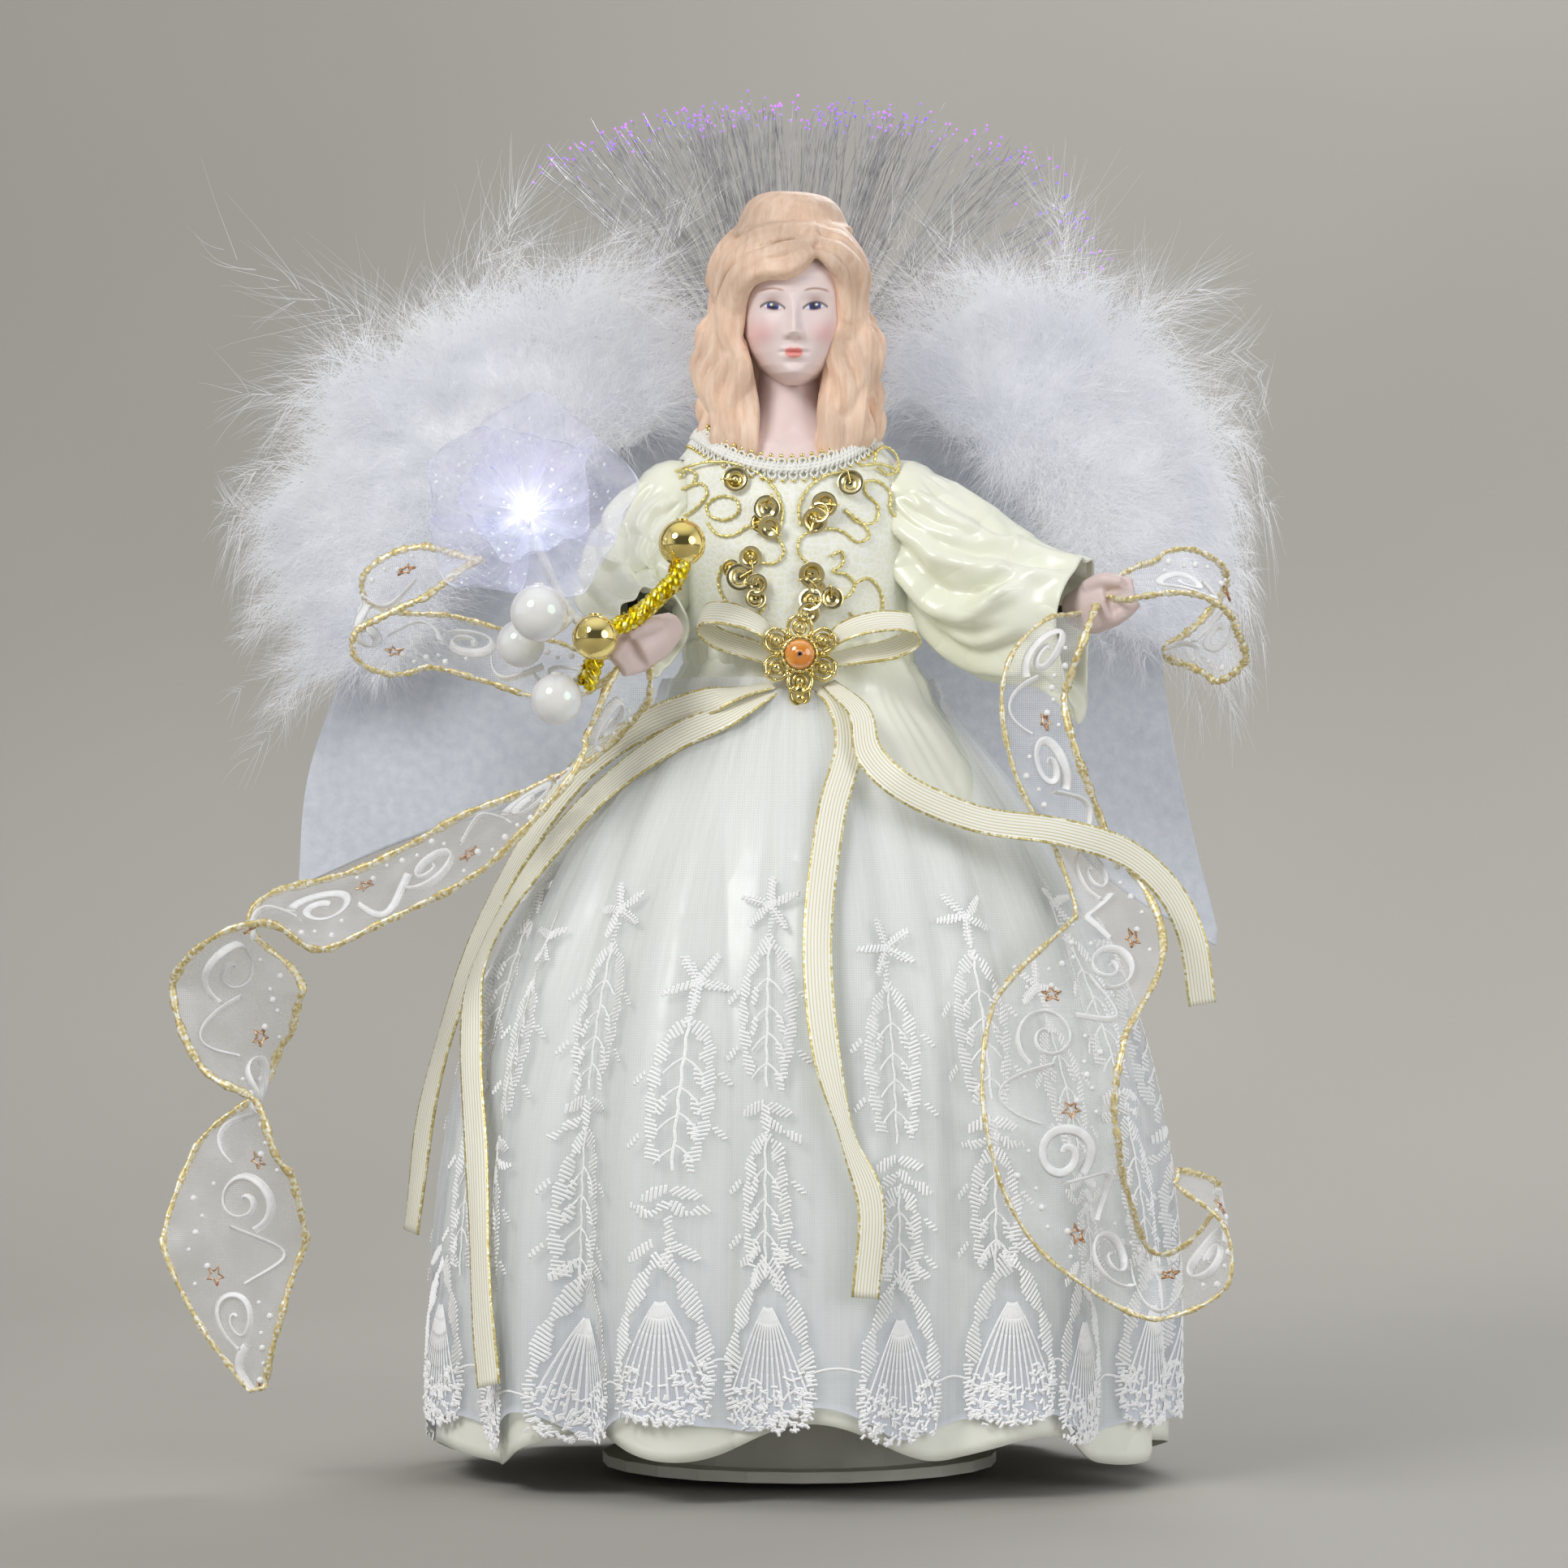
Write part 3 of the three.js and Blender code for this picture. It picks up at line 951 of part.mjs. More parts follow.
const goldStem = (extra) => sweep(curveOf(goldRoute), 22, 6, (u) => {
  const r = GOLD_STEM_RADIUS + 0.45 * Math.sin(u * 60) + extra;
  return [r, r];
}, V(0, 1, 0));
const stemSolid = (radius) => join([
  tube(stemMain, radius, 12, 4),
  ...stemBranches.map((route) => tube(route, radius * 0.8, 3, 4)),
]);
add('flower_stem', mainBody(stemSolid(STEM_RADIUS).subtract(beadsRoom).subtract(goldStem(FIT_GAP))), LACE);
add('gold_stem', mainBody(goldStem(0).subtract(beadsRoom)), GOLD);
for (const [name, centre, radius] of pearls) {
  add(name, ball(V(), radius, radius, radius, 12, 7), PEARL).position.copy(centre);
}
for (const [name, centre, radius] of goldBalls) {
  add(name, ball(V(), radius, radius, radius, 12, 7), GOLD).position.copy(centre);
}

const handRight = (extra) => handOf(
  [fromRight(0.2, -30.5, -28), fromRight(-4, -35, -31), fromRight(-9, -38, -34.5), fromRight(-12, -39, -37)],
  [3, 4.2, 4, 2.2].map((v) => v + extra), [3.2, 5.6, 5.4, 3].map((v) => v + extra),
  fromRight(-7, -41, -30), [4 + extra, 2.4 + extra, 2.4 + extra]);
const handLeft = (extra) => handOf(
  [fromLeft(36, -14, -24), fromLeft(41, -17, -23.5), fromLeft(46, -20, -22), fromLeft(50, -22.5, -20.5)],
  [3, 4.6, 4.6, 2.6].map((v) => v + extra), [3.2, 6.8, 6.4, 3.8].map((v) => v + extra),
  fromLeft(44, -21.5, -18), [4.6 + extra, 2.6 + extra, 2.6 + extra]);
const wireRoomRight = tube(wireRight, WIRE_RADIUS + FIT_GAP, 12, 4);
const wireRoomLeft = tube(wireLeft, WIRE_RADIUS + FIT_GAP, 12, 4);
const graspRight = join([wireRoomRight, stemSolid(STEM_RADIUS + FIT_GAP), goldStem(FIT_GAP), beadsRoom]);
add('hand_right', mainBody(handRight(0).subtract(graspRight)), BISQUE);
add('hand_left', mainBody(handLeft(0).subtract(wireRoomLeft)), BISQUE);

// Wired ribbon garland: a loop and a long tail at each hand
const garlands = {
  garland_right_loop: [
    station(fromRight(-9, -36, -34.5), V(0.1, 0.6, 0.8), 0.35),
    station(fromRight(-20, -31, -38.5), V(0.1, 0.5, 0.8), 0.4),
    station(fromRight(-36, -22, -35), V(0.1, 0.75, 0.65), 0.6),
    station(fromRight(-51, -15, -31), V(0, 0.88, 0.47), 0.9),
    station(fromRight(-62, -13, -31), V(0, 0.9, 0.44)),
    station(fromRight(-68.5, -14, -28.5), V(0, 0.9, 0.44)),
    station(fromRight(-69, -16, -23), V(0, 0.9, 0.44)),
    station(fromRight(-62, -18, -18.5), V(0, 0.9, 0.44)),
    station(fromRight(-51, -19, -15.5), V(0, 0.9, 0.44), 0.9),
    station(fromRight(-42, -19.5, -13.5), V(0, 0.9, 0.44), 0.7),
  ],
  garland_right_tail: [
    station(fromRight(-7, -37, -34), V(0.8, 0.5, 0.2), 0.4),
    station(fromRight(-10, -37, -43), V(0.8, 0.5, 0.2), 0.6),
    station(fromRight(-16, -32, -53), V(0.5, 0.8, 0.3), 0.8),
    station(fromRight(-26, -33, -63), V(0.35, 0.8, 0.5)),
    station(fromRight(-42, -31, -74), V(0.3, 0.75, 0.6)),
    station(fromRight(-60, -26, -84), V(0.2, 0.75, 0.6)),
    station(fromRight(-78, -26, -91), V(0.1, 0.85, 0.5)),
    station(fromRight(-91, -30, -94), V(0.1, 1, 0.1), 0.9),
    station(fromRight(-95, -30, -107), V(0.95, 0.3, 0.1)),
    station(fromRight(-93.5, -28, -121), V(0.9, 0.4, 0), 0.8),
    station(fromRight(-90.5, -27, -131), V(0.9, 0.4, 0), 0.35),
    station(fromRight(-94.5, -26, -145), V(1, 0.1, 0), 0.85),
    station(fromRight(-96, -27, -164), V(1, 0, 0), 1.05),
    station(fromRight(-94, -28, -182), V(1, 0, 0)),
    station(fromRight(-91, -28, -195), V(1, 0, 0)),
  ],
  garland_left_loop: [
    station(fromLeft(45, -20, -20), V(0.1, 0.9, 0.5), 0.4),
    station(fromLeft(52, -23, -18.5), V(0.1, 0.9, 0.4), 0.6),
    station(fromLeft(60, -22.5, -17.5), V(0.05, 0.9, 0.35), 0.9),
    station(fromLeft(68, -17.5, -19.5), V(0, 0.85, 0.45)),
    station(fromLeft(73, -11.5, -25), V(-0.15, 0.75, 0.65)),
    station(fromLeft(69, -6, -31), V(-0.1, 0.8, 0.55)),
    station(fromLeft(58, -5, -33), V(0.1, 0.9, 0.4)),
  ],
  garland_left_tail: [
    station(fromLeft(41, -20.5, -24), V(0.75, -0.65, 0), 0.4),
    station(fromLeft(35, -27.5, -29), V(0.8, -0.3, -0.45), 0.45),
    station(fromLeft(28, -29, -41), V(0.9, 0.2, -0.1), 0.5),
    station(fromLeft(30, -31, -57), V(0.9, 0.3, 0.1), 0.5),
    station(fromLeft(38, -28, -75), V(0.87, 0.45, 0.1), 0.5),
    station(fromLeft(46, -36, -94), V(0.85, 0.45, 0), 0.7),
    station(fromLeft(32, -59, -114), V(0.95, 0.15, 0)),
    station(fromLeft(29.5, -64, -129), V(1, 0.2, 0)),
    station(fromLeft(32, -64, -143), V(0.95, 0.35, 0.2)),
    station(fromLeft(40, -58, -158), V(0.5, 0.75, 0.45)),
    station(fromLeft(54, -52, -170.5), V(0.1, 0.9, 0.44)),
    station(fromLeft(66.5, -55, -163), V(0, 0.9, 0.44)),
    station(fromLeft(67, -60, -152), V(0, 0.9, 0.44)),
    station(fromLeft(57, -63, -146), V(0, 0.9, 0.44)),
  ],
};
const pointed = (u) => Math.min(1, 0.35 + 5 * u, 0.12 + 6 * (1 - u));
const graspRooms = {
  right: join([handRight(FIT_GAP), stemSolid(STEM_RADIUS + FIT_GAP), goldStem(FIT_GAP), beadsRoom, wireRoomRight]),
  left: join([handLeft(FIT_GAP), wireRoomLeft]),
};
for (const [name, stations] of Object.entries(garlands)) {
  const ribbon = strip(stations, GARLAND_WIDTH, GARLAND_THICKNESS, 28, pointed);
  add(name, mainBody(ribbon.subtract(graspRooms[name.split('_')[1]])), ORGANZA);
}

export default topper;
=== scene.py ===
import math

import bpy
import numpy as np
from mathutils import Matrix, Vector


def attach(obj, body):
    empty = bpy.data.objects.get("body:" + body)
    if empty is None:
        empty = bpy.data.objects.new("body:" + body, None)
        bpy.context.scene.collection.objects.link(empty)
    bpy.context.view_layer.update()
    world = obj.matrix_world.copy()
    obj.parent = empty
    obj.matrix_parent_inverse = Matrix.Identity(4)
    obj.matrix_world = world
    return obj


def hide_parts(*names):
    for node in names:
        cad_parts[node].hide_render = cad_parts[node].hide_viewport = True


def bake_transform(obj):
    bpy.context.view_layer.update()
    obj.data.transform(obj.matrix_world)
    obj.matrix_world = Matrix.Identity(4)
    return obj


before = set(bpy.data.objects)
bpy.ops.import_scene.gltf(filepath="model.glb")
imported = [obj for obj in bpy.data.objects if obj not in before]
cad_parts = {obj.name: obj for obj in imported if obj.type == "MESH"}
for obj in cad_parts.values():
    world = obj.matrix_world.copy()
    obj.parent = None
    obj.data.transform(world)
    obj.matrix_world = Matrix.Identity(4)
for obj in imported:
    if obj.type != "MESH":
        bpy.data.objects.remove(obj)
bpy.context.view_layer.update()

# Lengths in this file are millimetres, as in the CAD source, and turn to metres when a mesh is made.
MM = 0.001
TAU = 2 * math.pi
rng = np.random.default_rng(11)


# Small geometry helpers

def unit(v):
    v = np.asarray(v, float)
    return v / np.maximum(np.linalg.norm(v, axis=-1, keepdims=True), 1e-12)


def curve_at(points, u):
    """Centripetal Catmull-Rom, the curve that the CAD routes use, at shares u of the stations."""
    p = np.asarray(points, float)
    ext = np.vstack([2 * p[0] - p[1], p, 2 * p[-1] - p[-2]])
    place = np.clip(np.asarray(u, float) * (len(p) - 1), 0, len(p) - 1 - 1e-9)
    k = place.astype(int)
    w = (place - k)[:, None]
    p0, p1, p2, p3 = ext[k], ext[k + 1], ext[k + 2], ext[k + 3]

    def step(a, b):
        return np.maximum(np.linalg.norm(b - a, axis=1), 1e-6)[:, None] ** 0.5

    d0, d1, d2 = step(p0, p1), step(p1, p2), step(p2, p3)
    t1 = ((p1 - p0) / d0 - (p2 - p0) / (d0 + d1) + (p2 - p1) / d1) * d1
    t2 = ((p2 - p1) / d1 - (p3 - p1) / (d1 + d2) + (p3 - p2) / d2) * d1
    return p1 + t1 * w + (-3 * p1 + 3 * p2 - 2 * t1 - t2) * w**2 + (2 * p1 - 2 * p2 + t1 + t2) * w**3


def length_of(path):
    return float(np.linalg.norm(np.diff(path, axis=0), axis=1).sum())


def even(points, n):
    """n points at even distances along the route."""
    dense = curve_at(points, np.linspace(0, 1, 500))
    s = np.r_[0, np.cumsum(np.linalg.norm(np.diff(dense, axis=0), axis=1))]
    at = np.linspace(0, s[-1], n)
    return np.stack([np.interp(at, s, dense[:, i]) for i in range(3)], 1)


def tube_rings(path, radius, sides, up=None, flat=1.0, ridge=0.0, ridges=4):
    """Rings of points round a path. Without up the ring is carried along so that it doesn't spin."""
    path = np.asarray(path, float)
    along = unit(np.gradient(path, axis=0))
    if up is None:
        first = np.cross(along[0], [0.3, 0.5, 0.8])
        across = [unit(first)]
        for t in along[1:]:
            across.append(unit(across[-1] - t * np.dot(across[-1], t)))
        across = np.array(across)
    else:
        across = unit(np.cross(along, up))
    rise = np.cross(across, along)
    turn = np.linspace(0, TAU, sides, endpoint=False)
    r = np.broadcast_to(np.asarray(radius, float).reshape(-1, 1), (len(path), sides))
    r = r * (1 + ridge * np.cos(ridges * turn))
    return (path[:, None] + (r * np.cos(turn))[..., None] * across[:, None]
            + (flat * r * np.sin(turn))[..., None] * rise[:, None])


class Piece:
    """Collects the vertices and faces of one visible piece."""

    def __init__(self):
        self.v, self.f, self.uv, self.tone, self.count = [], [], [], [], 0

    def put(self, verts, faces, uv=None, tone=None):
        verts = np.asarray(verts, float).reshape(-1, 3)
        n = len(verts)
        self.v.append(verts)
        self.f.extend((np.asarray(faces) + self.count).tolist())
        self.uv.append(np.zeros((n, 2)) if uv is None else np.asarray(uv, float).reshape(-1, 2))
        self.tone.append(np.ones((n, 3)) if tone is None else np.broadcast_to(tone, (n, 3)))
        self.count += n
        return self

    def grid(self, pts, wrap=False, loop=False, caps=False, uv=None, tone=None):
        nu, nv = pts.shape[:2]
        start = self.count
        idx = np.arange(nu * nv).reshape(nu, nv)
        if wrap:
            idx = np.hstack([idx, idx[:, :1]])
        if loop:
            idx = np.vstack([idx, idx[:1]])
        q = np.stack([idx[:-1, :-1], idx[1:, :-1], idx[1:, 1:], idx[:-1, 1:]], -1).reshape(-1, 4)
        self.put(pts, q, uv, tone)
        if caps:
            self.f.append(list(range(start + nv - 1, start - 1, -1)))
            self.f.append(list(range(start + (nu - 1) * nv, start + nu * nv)))
        return self

    def tube(self, path, radius, sides=6, loop=False, cap=True, **rings):
        pts = tube_rings(path, radius, sides, **rings)
        return self.grid(pts, wrap=True, loop=loop, caps=cap and not loop)

    def ball(self, centre, r, around=14, up=9):
        """A closed ellipsoid with half sizes r."""
        lat = np.linspace(-math.pi / 2, math.pi / 2, up + 1)[1:-1, None]
        lon = np.linspace(0, TAU, around, endpoint=False)
        ring = np.broadcast_arrays(np.cos(lat) * np.cos(lon), np.cos(lat) * np.sin(lon), np.sin(lat))
        pts = np.vstack([[0, 0, -1], np.stack(ring, -1).reshape(-1, 3), [0, 0, 1]]) * r + centre
        bottom, top = self.count, self.count + len(pts) - 1
        first, last = bottom + 1, top - around
        self.put(pts, [])
        for j in range(around):
            k = (j + 1) % around
            self.f.append([bottom, first + k, first + j])
            self.f.append([top, last + j, last + k])
            for low in range(first, last, around):
                self.f.append([low + j, low + k, low + around + k, low + around + j])
        return self

    def strands(self, paths, radius, sides=3):
        """Many thin tapered hairs at once: paths (m, n, 3), radius (m, n)."""
        m, n = paths.shape[:2]
        along = unit(np.gradient(paths, axis=1))
        across = unit(np.cross(along, unit(rng.normal(size=(m, 1, 3)))))
        rise = np.cross(across, along)
        turn = np.linspace(0, TAU, sides, endpoint=False)
        pts = (paths[:, :, None] + radius[:, :, None, None] * (
            np.cos(turn)[:, None] * across[:, :, None] + np.sin(turn)[:, None] * rise[:, :, None]))
        idx = np.arange(m * n * sides).reshape(m, n, sides)
        nxt = np.roll(idx, -1, axis=2)
        q = np.stack([idx[:, :-1], nxt[:, :-1], nxt[:, 1:], idx[:, 1:]], -1).reshape(-1, 4)
        return self.put(pts, q)

    def make(self, name, look, body="body", replaces=(), solid=0.0, smooth=True, slot=None, ride=True):
        """Makes the object. look names its material, and solid is its thickness in millimetres."""
        verts = np.concatenate(self.v) * MM
        mesh = bpy.data.meshes.new(name)
        mesh.from_pydata(verts.tolist(), [], self.f)
        ends = np.zeros(len(mesh.loops), np.int32)
        mesh.loops.foreach_get("vertex_index", ends)
        layer = mesh.uv_layers.new(name="uv")
        layer.data.foreach_set("uv", np.concatenate(self.uv)[ends].astype(np.float32).ravel())
        tone = mesh.color_attributes.new("tone", "FLOAT_COLOR", "POINT")
        rgba = np.hstack([np.concatenate(self.tone), np.ones((self.count, 1))])
        tone.data.foreach_set("color", rgba.astype(np.float32).ravel())
        mesh.polygons.foreach_set("use_smooth", np.full(len(mesh.polygons), smooth))
        mesh.update()
        obj = bpy.data.objects.new(name, mesh)
        bpy.context.scene.collection.objects.link(obj)
        if look:
            mesh.materials.append(LOOKS[look])
        if solid:
            thick = obj.modifiers.new("thickness", "SOLIDIFY")
            thick.thickness, thick.offset = solid * MM, 0.0
        if ride:
            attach(obj, body)
        if replaces:
            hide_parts(*replaces)
        return obj


def fused(piece, name, voxel, smooth_steps):
    """One skin over overlapping forms, by voxel remesh, then a little smoothing."""
    raw = piece.make(name + "_raw", None, ride=False)
    mod = raw.modifiers.new("skin", "REMESH")
    mod.mode, mod.voxel_size = "VOXEL", voxel * MM
    ease = raw.modifiers.new("ease", "SMOOTH")
    ease.factor, ease.iterations = 0.5, smooth_steps
    bpy.context.view_layer.update()
    done = raw.evaluated_get(bpy.context.evaluated_depsgraph_get()).to_mesh()
    verts = np.zeros(len(done.vertices) * 3)
    done.vertices.foreach_get("co", verts)
    out = Piece().put(verts / MM, [])
    out.f = [list(p.vertices) for p in done.polygons]
    bpy.data.objects.remove(raw)
    return out


# Materials, each kept by its name

LOOKS = {}
def srgb(r, g, b):
    c = np.array([r, g, b], float) / 255
    return tuple(np.where(c <= 0.04045, c / 12.92, ((c + 0.055) / 1.055) ** 2.4)) + (1.0,)


class Paint:
    """A principled material with procedural colour and relief."""

    def __init__(self, name, roughness, **sockets):
        self.mat = bpy.data.materials.new(name)
        LOOKS[name] = self.mat
        self.mat.use_nodes = True
        self.tree = self.mat.node_tree
        self.bsdf = self.tree.nodes["Principled BSDF"]
        self.bsdf.inputs["Roughness"].default_value = roughness
        for key, value in sockets.items():
            self.bsdf.inputs[key.replace("_", " ")].default_value = value
        self.coord = self.node("TexCoord").outputs["Object"]

    def node(self, kind, links=None, **props):
        made = self.tree.nodes.new("ShaderNode" + kind)
        for key, value in props.items():
            setattr(made, key, value)
        for key, value in (links or {}).items():
            self.plug(made.inputs[key], value)
        return made

    def plug(self, socket, value):
        if isinstance(value, bpy.types.NodeSocket):
            self.tree.links.new(value, socket)
        else:
            socket.default_value = value

    def stretched(self, x, y, z):
        return self.node("Mapping", {"Vector": self.coord, "Scale": (x, y, z)}).outputs["Vector"]

    def noise(self, scale, detail=3.0, vector=None, rough=0.5):
        made = self.node("TexNoise", {"Vector": vector or self.coord, "Scale": scale, "Detail": detail,
                                      "Roughness": rough})
        return made.outputs["Fac"]

    def cells(self, scale, output="Color", feature="F1"):
        made = self.node("TexVoronoi", {"Vector": self.coord, "Scale": scale}, feature=feature)
        return made.outputs[output]

    def weave(self, pitch):
        """Threads that cross, pitch millimetres apart."""
        wave = {"Vector": self.coord, "Scale": 0.314 / (pitch * MM), "Distortion": 1.0}
        one, two = (self.node("TexWave", wave, bands_direction=way).outputs["Fac"] for way in "ZX")
        return self.math("MULTIPLY", one, two)

    def math(self, operation, a, b=0.0, clamp=False):
        made = self.node("Math", operation=operation, use_clamp=clamp)
        self.plug(made.inputs[0], a)
        self.plug(made.inputs[1], b)
        return made.outputs[0]

    def ramp(self, value, *stops):
        made = self.node("ValToRGB", {"Fac": value})
        marks = made.color_ramp.elements
        while len(marks) < len(stops):
            marks.new(0.5)
        for mark, (at, colour) in zip(marks, stops):
            mark.position, mark.color = at, colour
        return made.outputs["Color"]

    def span(self, value, low, high, to_low=0.0, to_high=1.0):
        made = self.node("MapRange", {"Value": value, "From Min": low, "From Max": high, "To Min": to_low,
                                      "To Max": to_high})
        return made.outputs["Result"]

    def mixed(self, fac, a, b, blend="MIX"):
        made = self.node("Mix", data_type="RGBA", blend_type=blend)
        self.plug(made.inputs[0], fac)
        self.plug(made.inputs[6], a)
        self.plug(made.inputs[7], b)
        return made.outputs[2]

    def attribute(self, name):
        return self.node("Attribute", attribute_name=name).outputs["Color"]

    def uv(self):
        """u along in millimetres, v across from -1 to 1."""
        parts = self.node("SeparateXYZ", {"Vector": self.node("UVMap", uv_map="uv").outputs["UV"]})
        return parts.outputs["X"], parts.outputs["Y"]

    def away_from(self, point):
        place = tuple(np.asarray(point) * MM)
        return self.node("VectorMath", {0: self.coord, 1: place}, operation="DISTANCE").outputs["Value"]

    def set(self, **links):
        for key, value in links.items():
            self.plug(self.bsdf.inputs[key.replace("_", " ")], value)
        return self

    def bump(self, height, strength, distance):
        made = self.node("Bump", {"Height": height, "Strength": strength, "Distance": distance * MM})
        self.plug(self.bsdf.inputs["Normal"], made.outputs["Normal"])
        return self

    def tinted(self, low, high, scale, detail=4.0):
        self.set(Base_Color=self.ramp(self.noise(scale, detail), (0.3, low), (0.7, high)))
        return self


LED_AT = (-59.1, -43.8, 212.0)


def satin(name, rough, shine, low, high, patch, grain, strength):
    """Cloth with soft creases. grain says how many fit in a metre along x, y and z."""
    p = Paint(name, rough, Sheen_Weight=0.15, Specular_IOR_Level=shine)
    crease = p.math("ABSOLUTE", p.math("SUBTRACT", p.noise(1.0, 2, p.stretched(*grain), 0.4), 0.5))
    p.tinted(low, high, patch).bump(crease, strength, 5.0)


def glitter(name, rough, metal, flakes, strength, depth, *stops):
    """Flakes of many shades that each lean their own way. flakes is how many fit in a metre."""
    p = Paint(name, rough, Metallic=metal)
    flake = p.node("SeparateColor", {"Color": p.cells(flakes)})
    p.set(Base_Color=p.ramp(flake.outputs["Red"], *stops))
    p.bump(flake.outputs["Green"], strength, depth)


satin("satin", 0.26, 0.65, srgb(240, 241, 218), srgb(250, 251, 238), 45, (60, 60, 75), 0.55)
satin("satin_skirt", 0.23, 0.72, srgb(240, 242, 226), srgb(250, 251, 240), 30, (45, 45, 34), 0.45)
glitter("glitter_gold", 0.3, 0.9, 1250, 1.0, 0.5, (0.05, srgb(196, 164, 10)), (0.6, srgb(240, 214, 36)),
        (0.95, srgb(255, 248, 160)))
glitter("glitter_edge", 0.45, 0.4, 1500, 1.0, 0.6, (0.05, srgb(206, 184, 120)), (0.5, srgb(238, 222, 166)),
        (0.95, srgb(255, 253, 238)))
glitter("copper_glitter", 0.35, 0.8, 1900, 0.8, 0.2, (0.1, srgb(176, 122, 76)), (0.9, srgb(240, 206, 168)))

p = Paint("bodice_lace", 0.55, Sheen_Weight=0.3)
net = p.cells(620, "Distance", "DISTANCE_TO_EDGE")
p.set(Base_Color=p.mixed(p.span(net, 0.02, 0.12), srgb(252, 253, 250), srgb(243, 245, 228)))
p.bump(net, 0.5, 0.25)

p = Paint("organza", 0.4, Sheen_Weight=0.35)
u, v = p.uv()
across, down = p.math("MULTIPLY", u, 0.5), p.math("MULTIPLY", v, 0.03)
along = p.node("CombineXYZ", {"X": across, "Y": down}).outputs["Vector"]
streak = p.span(p.noise(1.0, 3, along, 0.5), 0.35, 0.7, -0.04, 0.06)
threads = p.span(p.weave(0.5), 0.0, 1.0, -0.04, 0.08)
lace = p.node("SeparateColor", {"Color": p.attribute("tone")}).outputs["Red"]
alpha = p.math("ADD", p.math("ADD", threads, streak), p.span(lace, 0.0, 1.0, 0.46, 0.84))
# Painted shade: the organza is darker and cooler towards the hem.
height = p.node("SeparateXYZ", {"Vector": p.coord}).outputs["Z"]
p.set(Alpha=alpha, Base_Color=p.mixed(p.span(height, 0.01, 0.11), srgb(224, 229, 241), srgb(243, 246, 252)))

p = Paint("thread", 0.42, Sheen_Weight=0.4, Base_Color=srgb(253, 253, 253))
p.set(Roughness=p.span(p.noise(300, 2), 0.3, 0.7, 0.4, 0.62))

p = Paint("braid", 0.6, Sheen_Weight=0.3)
p.tinted(srgb(236, 235, 226), srgb(252, 251, 246), 500).bump(p.noise(1500, 2), 0.3, 0.15)

p = Paint("ribbon", 0.42, Sheen_Weight=0.15)
u, v = p.uv()
stripe = p.math("ABSOLUTE", p.math("SINE", p.math("MULTIPLY", v, 14.0)))
side = p.math("ABSOLUTE", v)
edge = p.span(side, 0.8, 0.86)
glint = p.cells(1500, "Color")
spark = p.node("SeparateColor", {"Color": glint}).outputs["Red"]
rows = p.mixed(p.span(stripe, 0.25, 0.75), srgb(224, 217, 176), srgb(251, 250, 240))
gold = p.ramp(spark, (0.1, srgb(198, 182, 112)), (0.6, srgb(232, 218, 154)), (0.95, srgb(255, 252, 226)))
p.set(Base_Color=p.mixed(edge, rows, gold), Metallic=p.math("MULTIPLY", edge, 0.6))
p.bump(p.math("ADD", stripe, p.math("MULTIPLY", spark, edge)), 0.45, 0.18)

p = Paint("gold", 0.16, Metallic=1.0)
p.tinted(srgb(226, 204, 126), srgb(247, 233, 172), 120)
p.set(Roughness=p.span(p.noise(400), 0.3, 0.7, 0.1, 0.24))

p = Paint("gold_ball", 0.05, Metallic=1.0)
p.tinted(srgb(238, 214, 128), srgb(248, 232, 168), 90)

p = Paint("sequin", 0.2, Metallic=1.0)
p.tinted(srgb(202, 184, 124), srgb(244, 232, 184), 160)
p.set(Roughness=p.span(p.noise(300), 0.3, 0.7, 0.14, 0.3))

p = Paint("gold_cord", 0.35, Metallic=0.85)
p.tinted(srgb(214, 196, 112), srgb(252, 242, 180), 1400).bump(p.cells(1600, "Distance"), 0.8, 0.2)

p = Paint("amber", 0.07, Coat_Weight=1.0, Transmission_Weight=0.15, IOR=1.54)
p.tinted(srgb(226, 112, 8), srgb(252, 178, 56), 260)

p = Paint("bisque", 0.46, Subsurface_Weight=0.12, Subsurface_Radius=(0.004, 0.0015, 0.001))
blush = p.span(p.noise(500, 3), 0.3, 0.7, 0.0, 0.05)
p.set(Base_Color=p.mixed(blush, p.attribute("tone"), srgb(216, 170, 156)))
p.bump(p.noise(2600, 2), 0.06, 0.06)

p = Paint("moulded_hair", 0.5, Subsurface_Weight=0.06, Subsurface_Radius=(0.003, 0.0015, 0.0008))
strand = p.noise(1.0, 3, p.stretched(620, 620, 70), 0.6)
colour = p.ramp(strand, (0.25, srgb(224, 190, 164)), (0.5, srgb(240, 210, 186)), (0.75, srgb(248, 226, 206)))
p.set(Base_Color=p.mixed(0.9, colour, p.attribute("tone"), "MULTIPLY"))
p.bump(strand, 0.6, 0.5)

p = Paint("felt", 0.95, Sheen_Weight=0.5, Sheen_Roughness=0.6)
fuzz = p.noise(900, 6, None, 0.7)
p.set(Base_Color=p.ramp(p.noise(420, 6), (0.25, srgb(212, 217, 228)), (0.75, srgb(230, 234, 242))))
p.bump(fuzz, 0.6, 0.4)

# Painted light: a faint bluish-white glow that stands in for light passing through the down.
p = Paint("down", 0.9, Sheen_Weight=0.3, Emission_Color=srgb(242, 246, 255), Emission_Strength=0.11)
p.tinted(srgb(246, 247, 252), srgb(255, 255, 255), 40)

# Painted light: a faint glow that stands in for light passing through the pad's down.
p = Paint("down_pad", 0.95, Sheen_Weight=0.5, Emission_Color=srgb(244, 247, 255), Emission_Strength=0.06)
tuft = p.noise(1.0, 5, p.stretched(260, 260, 200), 0.7)
p.set(Base_Color=p.ramp(tuft, (0.25, srgb(236, 238, 246)), (0.65, srgb(254, 254, 255))))
p.bump(tuft, 0.8, 1.6)

p = Paint("fibre", 0.25, Transmission_Weight=0.2, IOR=1.49)
p.tinted(srgb(168, 166, 168), srgb(230, 228, 230), 320)

